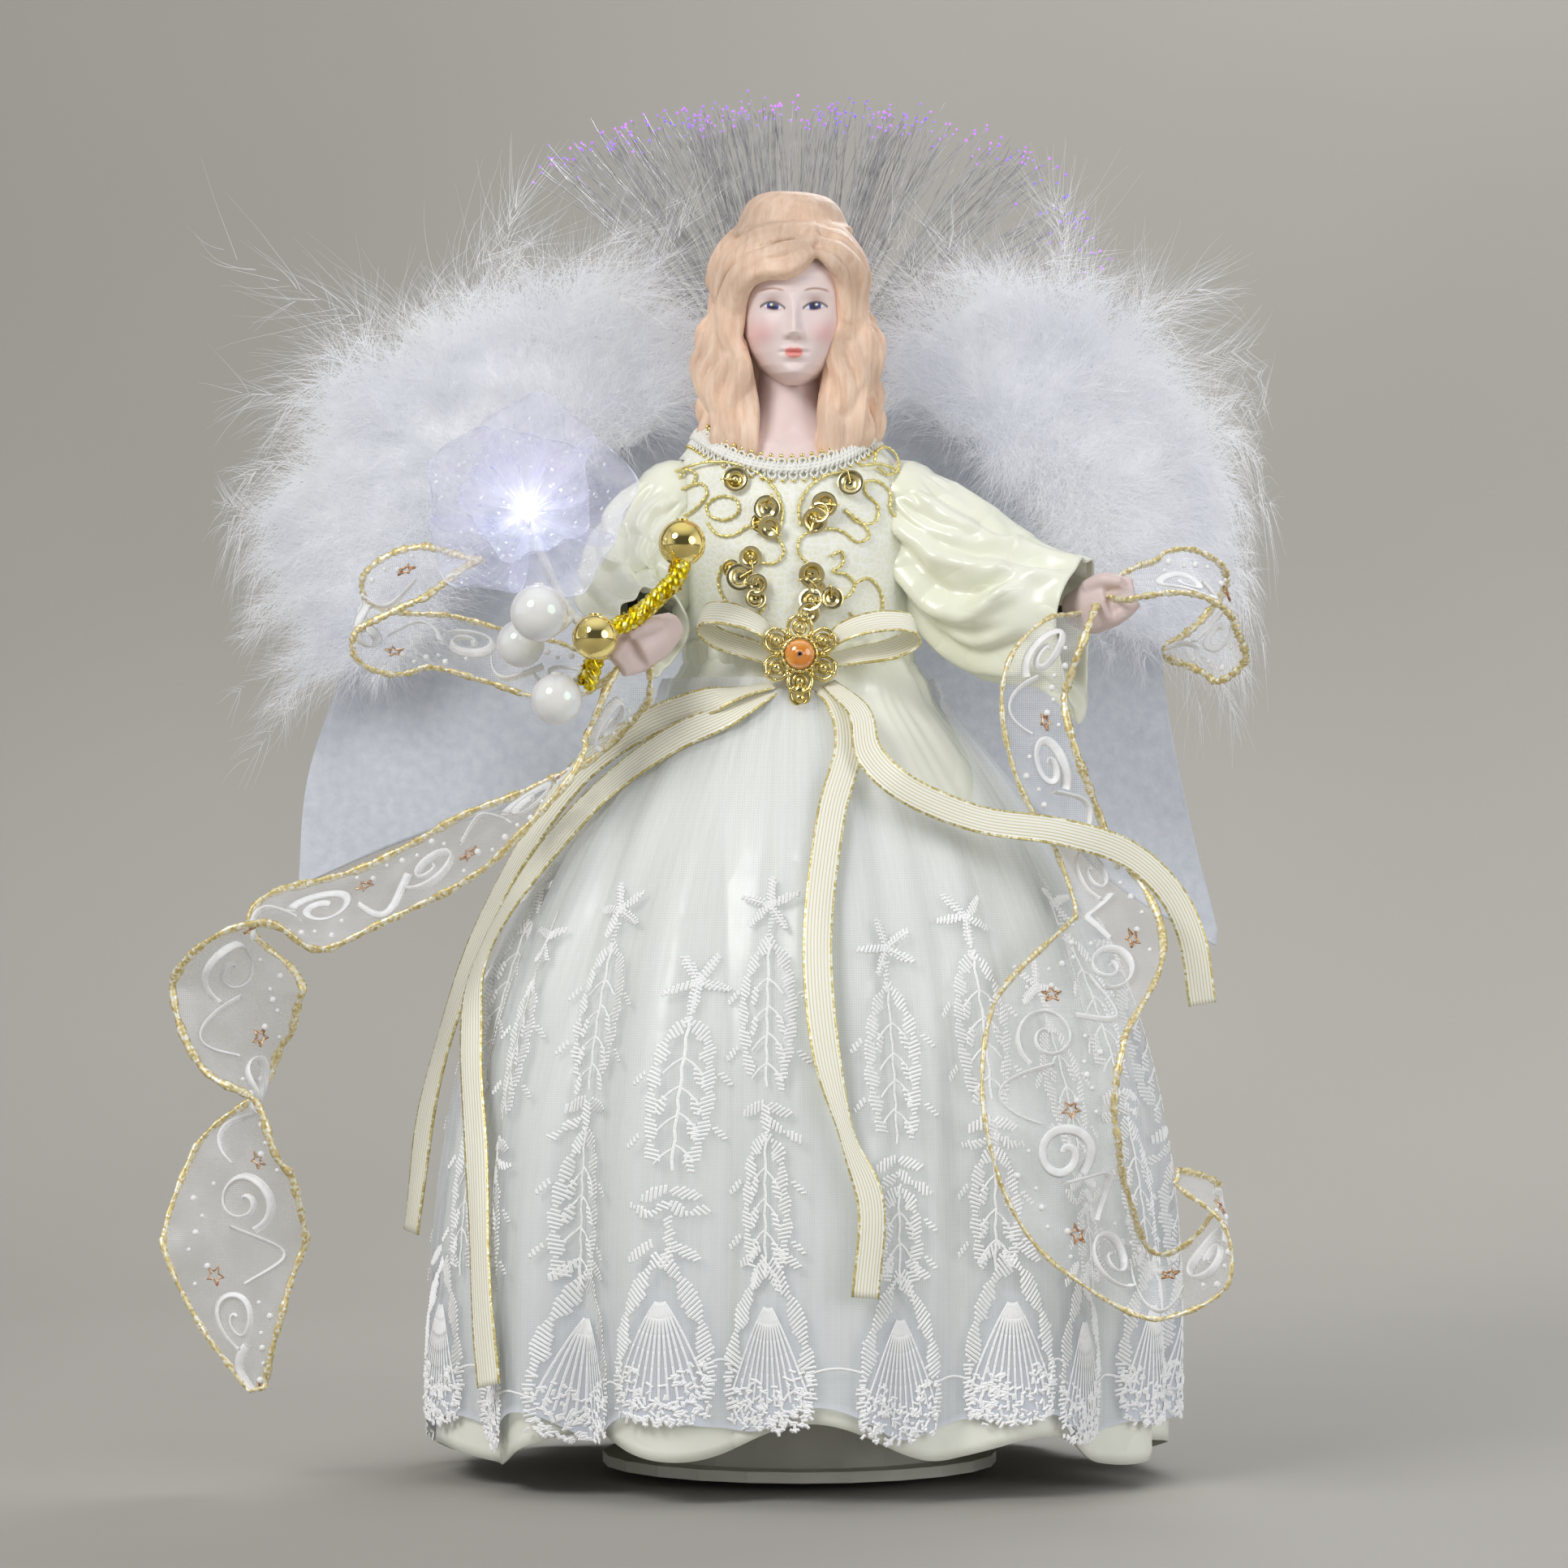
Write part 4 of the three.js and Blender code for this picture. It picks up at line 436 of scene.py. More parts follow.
p = Paint("fibre_tip", 0.3, Emission_Strength=1.6)
hue = p.ramp(p.noise(90, 1), (0.35, srgb(92, 60, 255)), (0.65, srgb(176, 96, 255)))
p.set(Base_Color=hue, Emission_Color=hue)

p = Paint("petal", 0.32, Thin_Film_Thickness=420.0, Thin_Film_IOR=1.45)
speck = p.node("SeparateColor", {"Color": p.cells(1700)})
sparkle = p.span(speck.outputs["Red"], 0.975, 0.985)
u, v = p.uv()
across, down = p.math("MULTIPLY", u, 9.0), p.math("MULTIPLY", v, 1.2)
grain = p.node("CombineXYZ", {"X": across, "Y": down}).outputs["Vector"]
ribs = p.span(p.noise(1.0, 3, grain, 0.6), 0.5, 0.72)
rim = p.math("MAXIMUM", p.span(p.math("ABSOLUTE", u), 0.955, 0.99), p.span(v, 0.965, 0.99))
cloud = p.noise(1.0, 3, p.stretched(160, 160, 160))
tint = p.ramp(cloud, (0.3, srgb(208, 210, 244)), (0.55, srgb(232, 234, 250)), (0.75, srgb(220, 214, 244)))
p.set(Base_Color=p.mixed(sparkle, tint, srgb(255, 255, 255)))
veil = p.math("ADD", p.span(cloud, 0.3, 0.75, 0.26, 0.44), p.math("MULTIPLY", ribs, 0.14))
veil = p.math("MAXIMUM", veil, p.math("MULTIPLY", rim, 0.8))
p.set(Alpha=p.math("MAXIMUM", veil, p.math("MULTIPLY", sparkle, 0.8)))
# Painted light: the LED's glow on the petals, an emission that is white near the lamp and fades to lavender
# further out.
far = p.away_from(LED_AT)
p.set(Emission_Color=p.ramp(p.span(far, 0.0, 0.022), (0.1, srgb(255, 255, 255)), (0.4, srgb(206, 206, 255)),
                            (1.0, srgb(170, 164, 255))))
near_glow = p.math("POWER", p.span(far, 0.002, 0.0085, 1.0, 0.0), 2.0)
wide_glow = p.math("POWER", p.span(far, 0.002, 0.027, 1.0, 0.0), 1.7)
p.set(Emission_Strength=p.math("ADD", p.math("MULTIPLY", near_glow, 0.3), p.math("MULTIPLY", wide_glow, 0.17)))
p.bump(speck.outputs["Green"], 0.25, 0.1)

p = Paint("led", 0.1, Base_Color=srgb(250, 252, 255), Emission_Strength=3.0)
p.set(Emission_Color=p.ramp(p.noise(300), (0.3, srgb(232, 236, 255)), (0.7, srgb(255, 255, 255))))

p = Paint("pearl", 0.14, Coat_Weight=1.0, Specular_IOR_Level=0.8, Sheen_Weight=0.2,
          Thin_Film_Thickness=360.0, Thin_Film_IOR=1.5)
p.tinted(srgb(233, 229, 224), srgb(250, 248, 246), 70)

p = Paint("garland_net", 0.4, Sheen_Weight=0.3)
p.set(Base_Color=p.ramp(p.noise(60), (0.3, srgb(240, 239, 238)), (0.7, srgb(252, 252, 253))))
threads = p.span(p.weave(0.45), 0.0, 1.0, 0.12, 0.3)
p.set(Alpha=p.math("ADD", threads, p.span(p.noise(120), 0.35, 0.7, 0.0, 0.16)))

p = Paint("scroll_print", 0.6, Sheen_Weight=0.2)
p.tinted(srgb(238, 238, 238), srgb(253, 253, 253), 400).bump(p.noise(1600), 0.4, 0.1)

p = Paint("wrapped_stem", 0.6)
wrapping = p.node("TexWave", {"Vector": p.coord, "Scale": 420.0, "Distortion": 2.0}).outputs["Fac"]
p.tinted(srgb(226, 226, 214), srgb(246, 246, 238), 300).bump(wrapping, 0.4, 0.2)

# Plain finishes: roughness, two shades, metal, grains in a metre and strength of the grain
PLAIN = {
    "plastic": (0.45, srgb(226, 224, 210), srgb(238, 236, 224), 0.0, 1800, 0.08),
    "foam": (0.9, srgb(236, 234, 228), srgb(248, 247, 243), 0.0, 700, 0.25),
    "dark": (0.5, srgb(24, 24, 26), srgb(44, 44, 48), 0.0, 1800, 0.08),
    "steel": (0.28, srgb(176, 180, 184), srgb(214, 218, 222), 1.0, 1800, 0.08),
    "cell": (0.35, srgb(44, 82, 128), srgb(66, 112, 164), 0.3, 1800, 0.08),
}
for name, (rough, low, high, metal, grains, strength) in PLAIN.items():
    p = Paint(name, rough, Metallic=metal)
    p.tinted(low, high, 90).bump(p.noise(grains, 3), strength, 0.15)


# Surfaces shared with the CAD source

WAIST = 176.0
WAIST_HALF_WIDTH, WAIST_FRONT = 22.5, 20
TORSO_LEAN = -0.06
SKIRT_TOP_RADIUS, SKIRT_FLARE, SKIRT_DOME = 24, 57, 3.1
FOLD_COUNT, FOLD_DEPTH = 13, 2.6
WAIST_DEPTH_SHARE, HEM_DEPTH_SHARE, DEPTH_CHANGE_RUN = WAIST_FRONT / WAIST_HALF_WIDTH, 0.9, 40
SHOULDER_R = np.array([-27.78, -2, 214])
SHOULDER_L = np.array([23.22, -2, 214])
HEAD = np.array([-2.36, -1, 258.0])
FAN = np.array([-2.0, 40, 222])

# Height above the waist, half width, depth in front and depth behind
TORSO = np.array([[-35.7, 15, 14, 14], [-17.85, 18.75, 17.5, 16], [0, WAIST_HALF_WIDTH, WAIST_FRONT, 18],
                  [14, 23.5, 19.5, 16.5], [28, 25.5, 20.5, 16.5], [38, 26.5, 18.5, 16], [46, 26, 16, 15.5],
                  [52, 24, 14, 15], [58, 21.5, 13, 14.5]])


def ahead(a):
    """How squarely an angle round the figure faces the front, from 0 to 1."""
    return np.maximum(0, -np.sin(a))


def signed(a):
    """The same angle, between half a turn back and half a turn on."""
    return np.mod(a + math.pi, TAU) - math.pi


def torso(a, rise, off):
    """Places off the torso, at angles round it and heights above the waist."""
    half, front, back = (np.interp(rise, TORSO[:, 0], TORSO[:, i]) for i in (1, 2, 3))
    x = TORSO_LEAN * np.maximum(0, rise) + (half + off) * np.cos(a)
    y = (np.where(np.sin(a) < 0, front, back) + off) * np.sin(a)
    return np.stack(np.broadcast_arrays(x, y, WAIST + rise), -1)


def collar_in(a, rise):
    """How far the bodice's upper edge is drawn in towards the neck at the shoulders."""
    t = np.clip((rise - 40) / 16, 0, 1)
    return 6.0 * np.cos(a) ** 2 * t * t * (3 - 2 * t)


def chest(x, z, off):
    """The place off the front of the torso at that width and height."""
    rise = np.asarray(z, float) - WAIST
    half = np.interp(rise, TORSO[:, 0], TORSO[:, 1]) + off
    c = np.clip((np.asarray(x, float) - TORSO_LEAN * np.maximum(0, rise)) / half, -1, 1)
    return torso(-np.arccos(c), rise, off)


def neckline(a):
    """Height of the bodice's upper edge above the waist."""
    return 55.5 - 8.5 * ahead(a) ** 3.4 - 2 * np.maximum(0, np.sin(a)) ** 2


def share_down(z):
    """Share of the way from the waist to the floor."""
    return np.clip((WAIST - z) / WAIST, 0, 1)


def bell(z):
    """Radius of the skirt before its folds."""
    return SKIRT_TOP_RADIUS + SKIRT_FLARE * (1 - (1 - share_down(z)) ** SKIRT_DOME)


def skirt(a, z, off):
    """Places off the folded skirt, at angles round it and heights."""
    a, z = np.broadcast_arrays(np.asarray(a, float), np.asarray(z, float))
    phase = FOLD_COUNT * a + 1.2 * np.sin(3 * a) + 0.8 * np.sin(2 * a + 1)
    r = bell(z) + FOLD_DEPTH * share_down(z) ** 0.8 * np.cos(phase) + off
    change = np.clip((WAIST - z) / DEPTH_CHANGE_RUN, 0, 1)
    depth = WAIST_DEPTH_SHARE + (HEM_DEPTH_SHARE - WAIST_DEPTH_SHARE) * change
    return np.stack([r * np.cos(a), r * depth * np.sin(a), z], -1)


RUN_Z = np.linspace(WAIST, -8, 400)
RUN_S = np.r_[0, np.cumsum(np.hypot(np.diff(RUN_Z), np.diff(bell(RUN_Z))))]


def height_at(run):
    """Height at a distance down the cloth from the waist."""
    return np.interp(run, RUN_S, RUN_Z)


def run_to(z):
    """Distance down the cloth from the waist to a height."""
    return np.interp(z, RUN_Z[::-1], RUN_S[::-1])


def under_top(a):
    return np.full_like(a, WAIST + 4.5)


def under_hem(a):
    front = ahead(a) ** 2
    return 1.5 + 6.5 * front + 8 * (0.5 + 0.5 * np.sin(9 * a + 2.83)) * (0.5 + 0.5 * front)


def over_top(a):
    """The overskirt's upper edge, drawn down at the left front."""
    return WAIST - 1 - 31 * np.exp(-(((np.mod(a, TAU) - 5.45) / 0.42) ** 2))


def over_hem(a):
    return 8.5 + 6.5 * ahead(a) ** 2 + 5 * (0.5 + 0.5 * np.cos(FOLD_COUNT * a + 1.2 * np.sin(3 * a)))


# Camera, floor and light

PX_PER_MM, PHOTO_X, PHOTO_Z, PHOTO_SIZE = 5.508, 985, 1800, 1932
CAMERA_DISTANCE, SENSOR = 1350.0, 36.0
cam = bpy.data.cameras.new("camera")
cam.sensor_width = SENSOR
cam.lens = SENSOR * CAMERA_DISTANCE / (PHOTO_SIZE / PX_PER_MM)
cam.clip_start, cam.clip_end = 0.05, 20
eye = bpy.data.objects.new("camera", cam)
eye.location = ((PHOTO_SIZE / 2 - PHOTO_X) / PX_PER_MM * MM, -CAMERA_DISTANCE * MM,
                (PHOTO_Z - PHOTO_SIZE / 2) / PX_PER_MM * MM)
eye.rotation_euler = (math.pi / 2, 0, 0)
bpy.context.scene.collection.objects.link(eye)
bpy.context.scene.camera = eye


def photo(px, py):
    """Width and height in millimetres of a place in the photograph, at the body's plane."""
    return (np.asarray(px, float) - PHOTO_X) / PX_PER_MM, (PHOTO_Z - np.asarray(py, float)) / PX_PER_MM


p = Paint("floor", 0.85)
p.tinted(srgb(168, 164, 157), srgb(174, 170, 163), 4, 2)
p.set(Alpha=p.math("SUBTRACT", 1.0, p.node("NewGeometry").outputs["Backfacing"]))
SWEEP = [(-1600, 0), (-600, 0), (300, 0), (520, 12), (640, 60), (720, 150), (760, 300), (780, 700),
         (785, 1800)]
SWEEP_HALF_WIDTH = 2600
line = curve_at([(0, y, z) for y, z in SWEEP], np.linspace(0, 1, 80))
columns = [line + [x, 0, 0] for x in np.linspace(SWEEP_HALF_WIDTH, -SWEEP_HALF_WIDTH, 3)]
floor = Piece().grid(np.stack(columns, 1)).make("floor", "floor", ride=False)

scene = bpy.context.scene
scene.view_settings.view_transform = "Standard"
world = bpy.data.worlds.new("studio")
scene.world = world
world.use_nodes = True
sky = world.node_tree
background = sky.nodes["Background"]
background.inputs["Color"].default_value = (0.94, 0.96, 1.0, 1.0)
SKY_LEVEL, MIRROR_LOW, MIRROR_HIGH = 0.44, 0.1, 1.0


def sky_node(kind, *inputs, **props):
    made = sky.nodes.new("ShaderNode" + kind)
    for key, value in props.items():
        setattr(made, key, value)
    for i, value in enumerate(inputs):
        if isinstance(value, bpy.types.NodeSocket):
            sky.links.new(value, made.inputs[i])
        else:
            made.inputs[i].default_value = value
    return made.outputs[0]


# Mirrors see a studio with bright sides and ceiling and a darker room in front
sides = sky_node("SeparateXYZ", sky.nodes.new("ShaderNodeTexCoord").outputs["Generated"]).node
across = sky_node("Math", sides.outputs["X"], operation="ABSOLUTE")
reach = sky_node("Math", across, sides.outputs["Z"], operation="MAXIMUM")
mirror = sky_node("MapRange", reach, 0.5, 0.95, MIRROR_LOW, MIRROR_HIGH)
glossy = sky.nodes.new("ShaderNodeLightPath").outputs["Is Glossy Ray"]
change = sky_node("Math", mirror, SKY_LEVEL, operation="SUBTRACT")
level = sky_node("Math", glossy, change, SKY_LEVEL, operation="MULTIPLY_ADD")
sky.links.new(level, background.inputs["Strength"])


def lamp(name, place, aim, size, power, colour):
    """A round lamp. Its place, aim and size are in metres."""
    data = bpy.data.lights.new(name, "AREA")
    data.shape, data.size, data.energy, data.color = "DISK", size, power, colour
    obj = bpy.data.objects.new(name, data)
    obj.location = place
    obj.rotation_euler = (Vector(aim) - Vector(place)).to_track_quat("-Z", "Y").to_euler()
    scene.collection.objects.link(obj)


lamp("key", (-0.75, -0.95, 0.95), (0, 0, 0.16), 0.6, 9.8, (1.0, 0.995, 0.985))
lamp("fill", (0.95, -0.8, 0.45), (0, 0, 0.14), 0.8, 4.5, (0.97, 0.98, 1.0))
lamp("rim", (0.25, 0.62, 0.75), (0, 0, 0.2), 0.5, 4.0, (0.95, 0.97, 1.0))


# Skirts and embroidery

def drape(a, z):
    """Folds of the cloth on top of the CAD's waves: round crests, narrow valleys, fine waist pleats."""
    t = share_down(z)
    one = 2 * np.abs(np.sin(0.5 * (11 * a + 1.9 * np.sin(3 * a + 0.6) + 1.5 * np.sin(2.6 * t + 2 * a)))) - 1
    two = np.cos(23 * a + 2.0 * np.sin(5 * a) + 2.4 * t)
    swell = 0.7 + 0.3 * np.sin(3 * a + 1.1)
    fold = (one * swell + 0.3 * two * (1 - 0.4 * t) - 0.55) * np.minimum(1, 3.2 * t)
    pleat = np.exp(-((t / 0.3) ** 2)) * (1 - np.exp(-t * 60)) * np.cos(46 * a + 2.5 * np.sin(7 * a))
    return fold, pleat


def skirt_sheet(top, hem, off, around, rows, gather, power, deep):
    """Angles, heights and places of a skirt from its upper edge to its hem, with a puff at the waist."""
    a = np.linspace(0, TAU, around, endpoint=False)
    u = np.linspace(0, 1, rows)[:, None] ** power
    z = top(a) + (hem(a) - top(a)) * u
    fold, pleat = drape(a, z)
    puff = 3.2 * np.exp(-(((WAIST - 0.4 - z) / 4.6) ** 2)) * (1 + 0.25 * np.cos(21 * a + 2.6 * np.sin(4 * a)))
    return a, z, skirt(a, z, off + gather * pleat + deep * fold + puff)


OVER_OFF, OVER_GATHER, OVER_DEEP = 1.95, 0.16, 3.3
a, z, pts = skirt_sheet(under_top, under_hem, -0.9, 520, 90, 0.12, 1.2, 2.4)
under = Piece().grid(pts, wrap=True).make("underskirt_satin", "satin_skirt", replaces=["underskirt"],
                                         solid=0.5, slot="satin")

# Columns of embroidery, each over a fan of dense lace that ends in a tongue of the hem
COLUMNS = 20
COLUMN_AT = np.linspace(0, TAU, COLUMNS, endpoint=False) - 1.62 + rng.uniform(-0.05, 0.05, COLUMNS)
LACE_RISE, LACE_DENSE_RISE, LACE_EDGE = 27, 14, 1.2
TONGUE_DROP, TONGUE_ANGLE = 2.5, 0.085


def scalloped_hem(a):
    tongues = [np.exp(-((signed(a - c) / TONGUE_ANGLE) ** 2)) for c in COLUMN_AT]
    return over_hem(a) - TONGUE_DROP * np.max(tongues, 0)


a, z, pts = skirt_sheet(over_top, scalloped_hem, OVER_OFF, 640, 90, OVER_GATHER, 1.0, OVER_DEEP)
down = run_to(z)
above = run_to(scalloped_hem(a)) - down
near = np.min(np.abs([signed(a - c) for c in COLUMN_AT]), 0)
fan_angle = 0.03 + 0.085 * np.sqrt(np.clip(1 - above / LACE_RISE, 0, 1))
dense = np.clip((fan_angle - near) / 0.02, 0, 1) * (above < LACE_RISE)
dense = dense * (0.35 + 0.65 * np.clip(1 - above / LACE_DENSE_RISE, 0, 1))
dense = np.maximum(dense, np.clip(1 - above / LACE_EDGE, 0, 1))
tone = np.repeat(dense[..., None], 3, -1).reshape(-1, 3)
uv = np.stack(np.broadcast_arrays(a * 80, down), -1)
over = Piece().grid(pts, wrap=True, tone=tone, uv=uv)
over = over.make("overskirt_organza", "organza", replaces=["overskirt"], slot="organza")


class Stitches:
    """Raised satin stitches laid on the overskirt, in millimetres across and down from a place on it."""

    def __init__(self):
        self.rows = []
        self.lean = 0.0

    def stitch(self, at, start, end, width, high):
        """A roof with blunt ends: four corners on the cloth and a ridge of two."""
        start, end = np.array(start, float), np.array(end, float)
        d = end - start
        n = np.array([-d[1], d[0]]) / max(np.hypot(*d), 1e-6) * width / 2
        for point, lift in ((start + n, 0.0), (start - n, 0.0), (end + n, 0.0), (end - n, 0.0),
                            (start + 0.22 * d, high), (end - 0.22 * d, high)):
            self.rows.append((at[0], at[1], point[0] + self.lean * point[1], point[1], lift))

    def line(self, at, points, width=0.6, high=0.35):
        for one, two in zip(points[:-1], points[1:]):
            self.stitch(at, one, two, width, high)

    def comb(self, at, points, width, leaf, slant=0.5, lean=0.0, high=0.6, step=0.92):
        """Stitches across a curved stem, long and short by turns, so that they read as leaves on it."""
        path = even([(x, 0, q) for x, q in points], 60)[:, [0, 2]]
        s = np.r_[0, np.cumsum(np.hypot(*np.diff(path, axis=0).T))]
        shift = rng.uniform(0, leaf)

        def spot(place):
            return np.array([np.interp(place, s, path[:, i]) for i in (0, 1)])

        for place in np.arange(step / 2, s[-1], step):
            d = spot(place + 0.3) - spot(place - 0.3)
            d /= max(np.hypot(*d), 1e-6)
            n = np.array([-d[1], d[0]]) * math.cos(slant) + d * math.sin(slant) * (1 if lean >= 0 else -1)
            wave = abs(math.sin(math.pi * (place + shift) / leaf))
            n = n * width * (0.3 + 0.7 * wave) * rng.uniform(0.75, 1.15)
            start, end = spot(place) - n * (0.5 - lean), spot(place) + n * (0.5 + lean)
            self.stitch(at, start, end, 0.6, high * rng.uniform(0.8, 1.1))

    def leaf(self, at, centre, lean, length, width, high=0.6):
        axis = np.array([math.sin(lean), math.cos(lean)])
        slant = np.array([math.sin(lean + 1.1), math.cos(lean + 1.1)])
        count = max(4, int(length / 0.85))
        for i in range(count):
            share = (i + 0.5) / count
            c = np.array(centre) + axis * length * (share - 0.5)
            half = width / 2 * math.sin(math.pi * (0.14 + 0.74 * share)) ** 0.6 * rng.uniform(0.82, 1.14)
            self.stitch(at, c - slant * half, c + slant * half, 0.62, high)

    def star(self, at, centre, size, arms=5, turn=0.0):
        centre = np.array(centre, float)
        for i in range(arms):
            lean = turn + i * TAU / arms + rng.uniform(-0.15, 0.15)
            arm = size * np.array([math.sin(lean), math.cos(lean)])
            self.leaf(at, centre + 0.52 * arm, lean, size * 1.05, size * 0.36, 0.7)
            self.line(at, [centre, centre + 0.95 * arm], 0.4, 0.5)

    def make(self, name):
        angle, start, across, down, lift = np.array(self.rows).T
        z = height_at(start + down)
        a = angle + across / bell(z)
        fold, pleat = drape(a, z)
        verts = skirt(a, z, OVER_OFF + OVER_GATHER * pleat + OVER_DEEP * fold + 0.16 + 0.5 * lift)
        base = np.arange(0, len(verts), 6)[:, None]
        piece = Piece().put(verts, np.concatenate([base + f for f in ([0, 2, 5, 4], [3, 1, 4, 5])]))
        piece.f.extend(np.concatenate([base + f for f in ([1, 0, 4], [2, 3, 5])]).tolist())
        return piece.make(name, "thread", slot="lace", smooth=False)


work = Stitches()


def cage(at, top, length, wide):
    """A stem with twigs between two arched rows of leaves."""
    work.line(at, [(0.2 * math.sin(q), top + q) for q in np.arange(0, length + 2, 2.2)])
    arch = [(0, 0), (0.6, 0.13), (0.95, 0.35), (1, 0.62), (0.72, 0.95)]
    for side in (-1, 1):
        row = [(side * x * wide + rng.uniform(-0.4, 0.4), top + q * length) for x, q in arch]
        work.comb(at, row, 3.3, 5.6, 0.35, 0.15 * side)
        for q in np.arange(0.26 * length, 0.9 * length, 6.4):
            low = top + q + rng.uniform(-0.8, 0.8)
            work.line(at, [(0, low), (side * 0.3 * wide, low + 1.2), (side * 0.62 * wide, low + 3.4)], 0.5)
            if rng.random() < 0.7:
                work.leaf(at, (side * 0.55 * wide, low + 4.2), side * 0.25, 4.2, 2.0)
        for j in range(2):
            q = top + length * (0.4 + 0.4 * j) + rng.uniform(-1, 1)
            work.leaf(at, (side * (wide + 2.6), q), side * 0.75, 4.0, 1.6)


def spray(k, angle, hem):
    """A column's upper part: a star, a cage, leaves with twigs and, where it fits, a second cage."""
    start = 60 + (0, 14, 4, 20)[k % 4] + rng.uniform(-3, 3)
    if over_top(angle) < 160:
        start = max(start, 66)
    at = (angle + rng.uniform(-0.03, 0.03), start)
    work.lean = rng.uniform(-0.09, 0.09)
    work.star(at, (rng.uniform(-1, 1), 0), 6.6, 5, 0.62 + 0.3 * k)
    work.comb(at, [(0.4, 3), (0, 6), (-0.3, 9)], 1.7, 3.0, 0.3)
    tall = 33 + rng.uniform(-3, 3)
    cage(at, 8, tall, 5.6)
    low = 12 + tall
    for lean in (-1.15, 0.0, 1.15)[::1 + k % 2]:
        work.leaf(at, (3.2 * math.sin(lean), low + 3.0 * math.cos(lean)), lean, 5.6, 2.9, 0.7)
    for side in (-1, 1):
        if rng.random() < 0.8:
            twig = [(0, low + 3), (side * 3.5, low + 5.5), (side * 7.5, low + 5 + rng.uniform(-3, 4))]
            work.comb(at, twig, 2.6, 5.0, 0.4)
    rest = hem - start - low - 36
    if rest > 12:
        cage(at, low + 6, rest, 4.6)
    elif rest > 3:
        work.comb(at, [(0, low + 6), (0.5, low + 6 + rest / 2), (0, low + 6 + rest)], 2.4, 4.0)
    work.lean = 0.0


def in_scallop(x, q):
    """Whether a place lies on the hem's dense lace, below the fan and above the tongue's edge."""
    edge = 3.2 * math.sqrt(max(0.0, 1 - (x / 9.6) ** 2)) + 0.5 * math.cos(x * 2.2)
    return q < edge and abs(x) > 6.5 * min(1, max(0, -q - 5) / 7)


def shell(at):
    """A column's foot: a fan of ribs between two rows of leaves, over dense short stitches."""
    outer = [(0.4, -33), (3.4, -28), (7.0, -20), (8.8, -11)]
    lower = [(8.8, -11), (9.3, -6), (8.4, -1)]
    for side in (-1, 1):
        work.comb(at, [(side * x, q) for x, q in outer], 4.2, 10.5, 0.45, 0.12 * side, 0.75)
        work.leaf(at, (side * 4.2, -33.5), side * 0.9, 6.5, 2.6)
        work.comb(at, [(side * x, q) for x, q in lower], 2.6, 3.0, 0.1, 0.0, 0.8)
    for j in np.linspace(-1, 1, 11):
        rib = [(j * 8.4 * w**0.8, -24 + (19 + 3 * (1 - j * j)) * w) for w in np.linspace(0.05, 1, 7)]
        work.line(at, rib, 0.5, 0.4)
    for j in range(230):
        x, q = rng.uniform(-9.4, 9.4), 3.2 - 13 * rng.random() ** 1.5
        turn = rng.uniform(0, TAU)
        d = np.array([math.sin(turn), math.cos(turn)]) * rng.uniform(0.5, 0.9)
        if in_scallop(x, q):
            work.stitch(at, np.array([x, q]) - d, np.array([x, q]) + d, 0.65, rng.uniform(0.5, 1.0))


for k, angle in enumerate(COLUMN_AT):
    hem = float(run_to(over_hem(angle)))
    spray(k, angle, hem)
    shell((angle, hem))
    gap = (COLUMN_AT[(k + 1) % COLUMNS] - angle) % TAU * 82
    chain = [(8 + (gap - 16) * w, -9 - 1.5 * math.sin(w * math.pi)) for w in np.linspace(0, 1, 7)]
    work.line((angle, hem), chain, 0.5, 0.3)
embroidery = work.make("overskirt_embroidery")

# Bodice, braid, cord and sequins

ARMHOLE_RADIUS = 9.3
FIBRE_HOLE_X, FIBRE_HOLE_HALF_WIDTH, FIBRE_HOLE_LOW, FIBRE_HOLE_HIGH = -2, 4.4, 203.5, 216
a = np.linspace(0, TAU, 160, endpoint=False)
share = np.linspace(0, 1, 44)[:, None]
rise = 0.3 + (neckline(a) - 0.3) * share
tuck = 0.28 * np.cos(23 * a + 1.5 * np.sin(3 * a)) * np.exp(-((rise / 16) ** 2))
pts = torso(a, rise, 1.2 + tuck - collar_in(a, rise))
x, y, z = np.moveaxis(pts, -1, 0)
in_width = np.abs(x - FIBRE_HOLE_X) < FIBRE_HOLE_HALF_WIDTH
cut = in_width & (y > 0) & (z > FIBRE_HOLE_LOW) & (z < FIBRE_HOLE_HIGH)
for shoulder in (SHOULDER_R, SHOULDER_L):
    cut |= np.linalg.norm(pts - shoulder, axis=-1) <= ARMHOLE_RADIUS
cut = cut.ravel()
piece = Piece().grid(pts, wrap=True)
piece.f = [f for f in piece.f if not any(cut[i] for i in f)]
bodice = piece.make("bodice_satin", "bodice_lace", replaces=["bodice"], solid=0.9, slot="satin")

braid = Piece()
beads = Piece()


def on_collar(angle, drop, off):
    """A place on the braid: drop below the neckline, off from the bodice's own surface."""
    rise = neckline(angle) - drop
    return torso(angle, rise, off - collar_in(angle, rise))


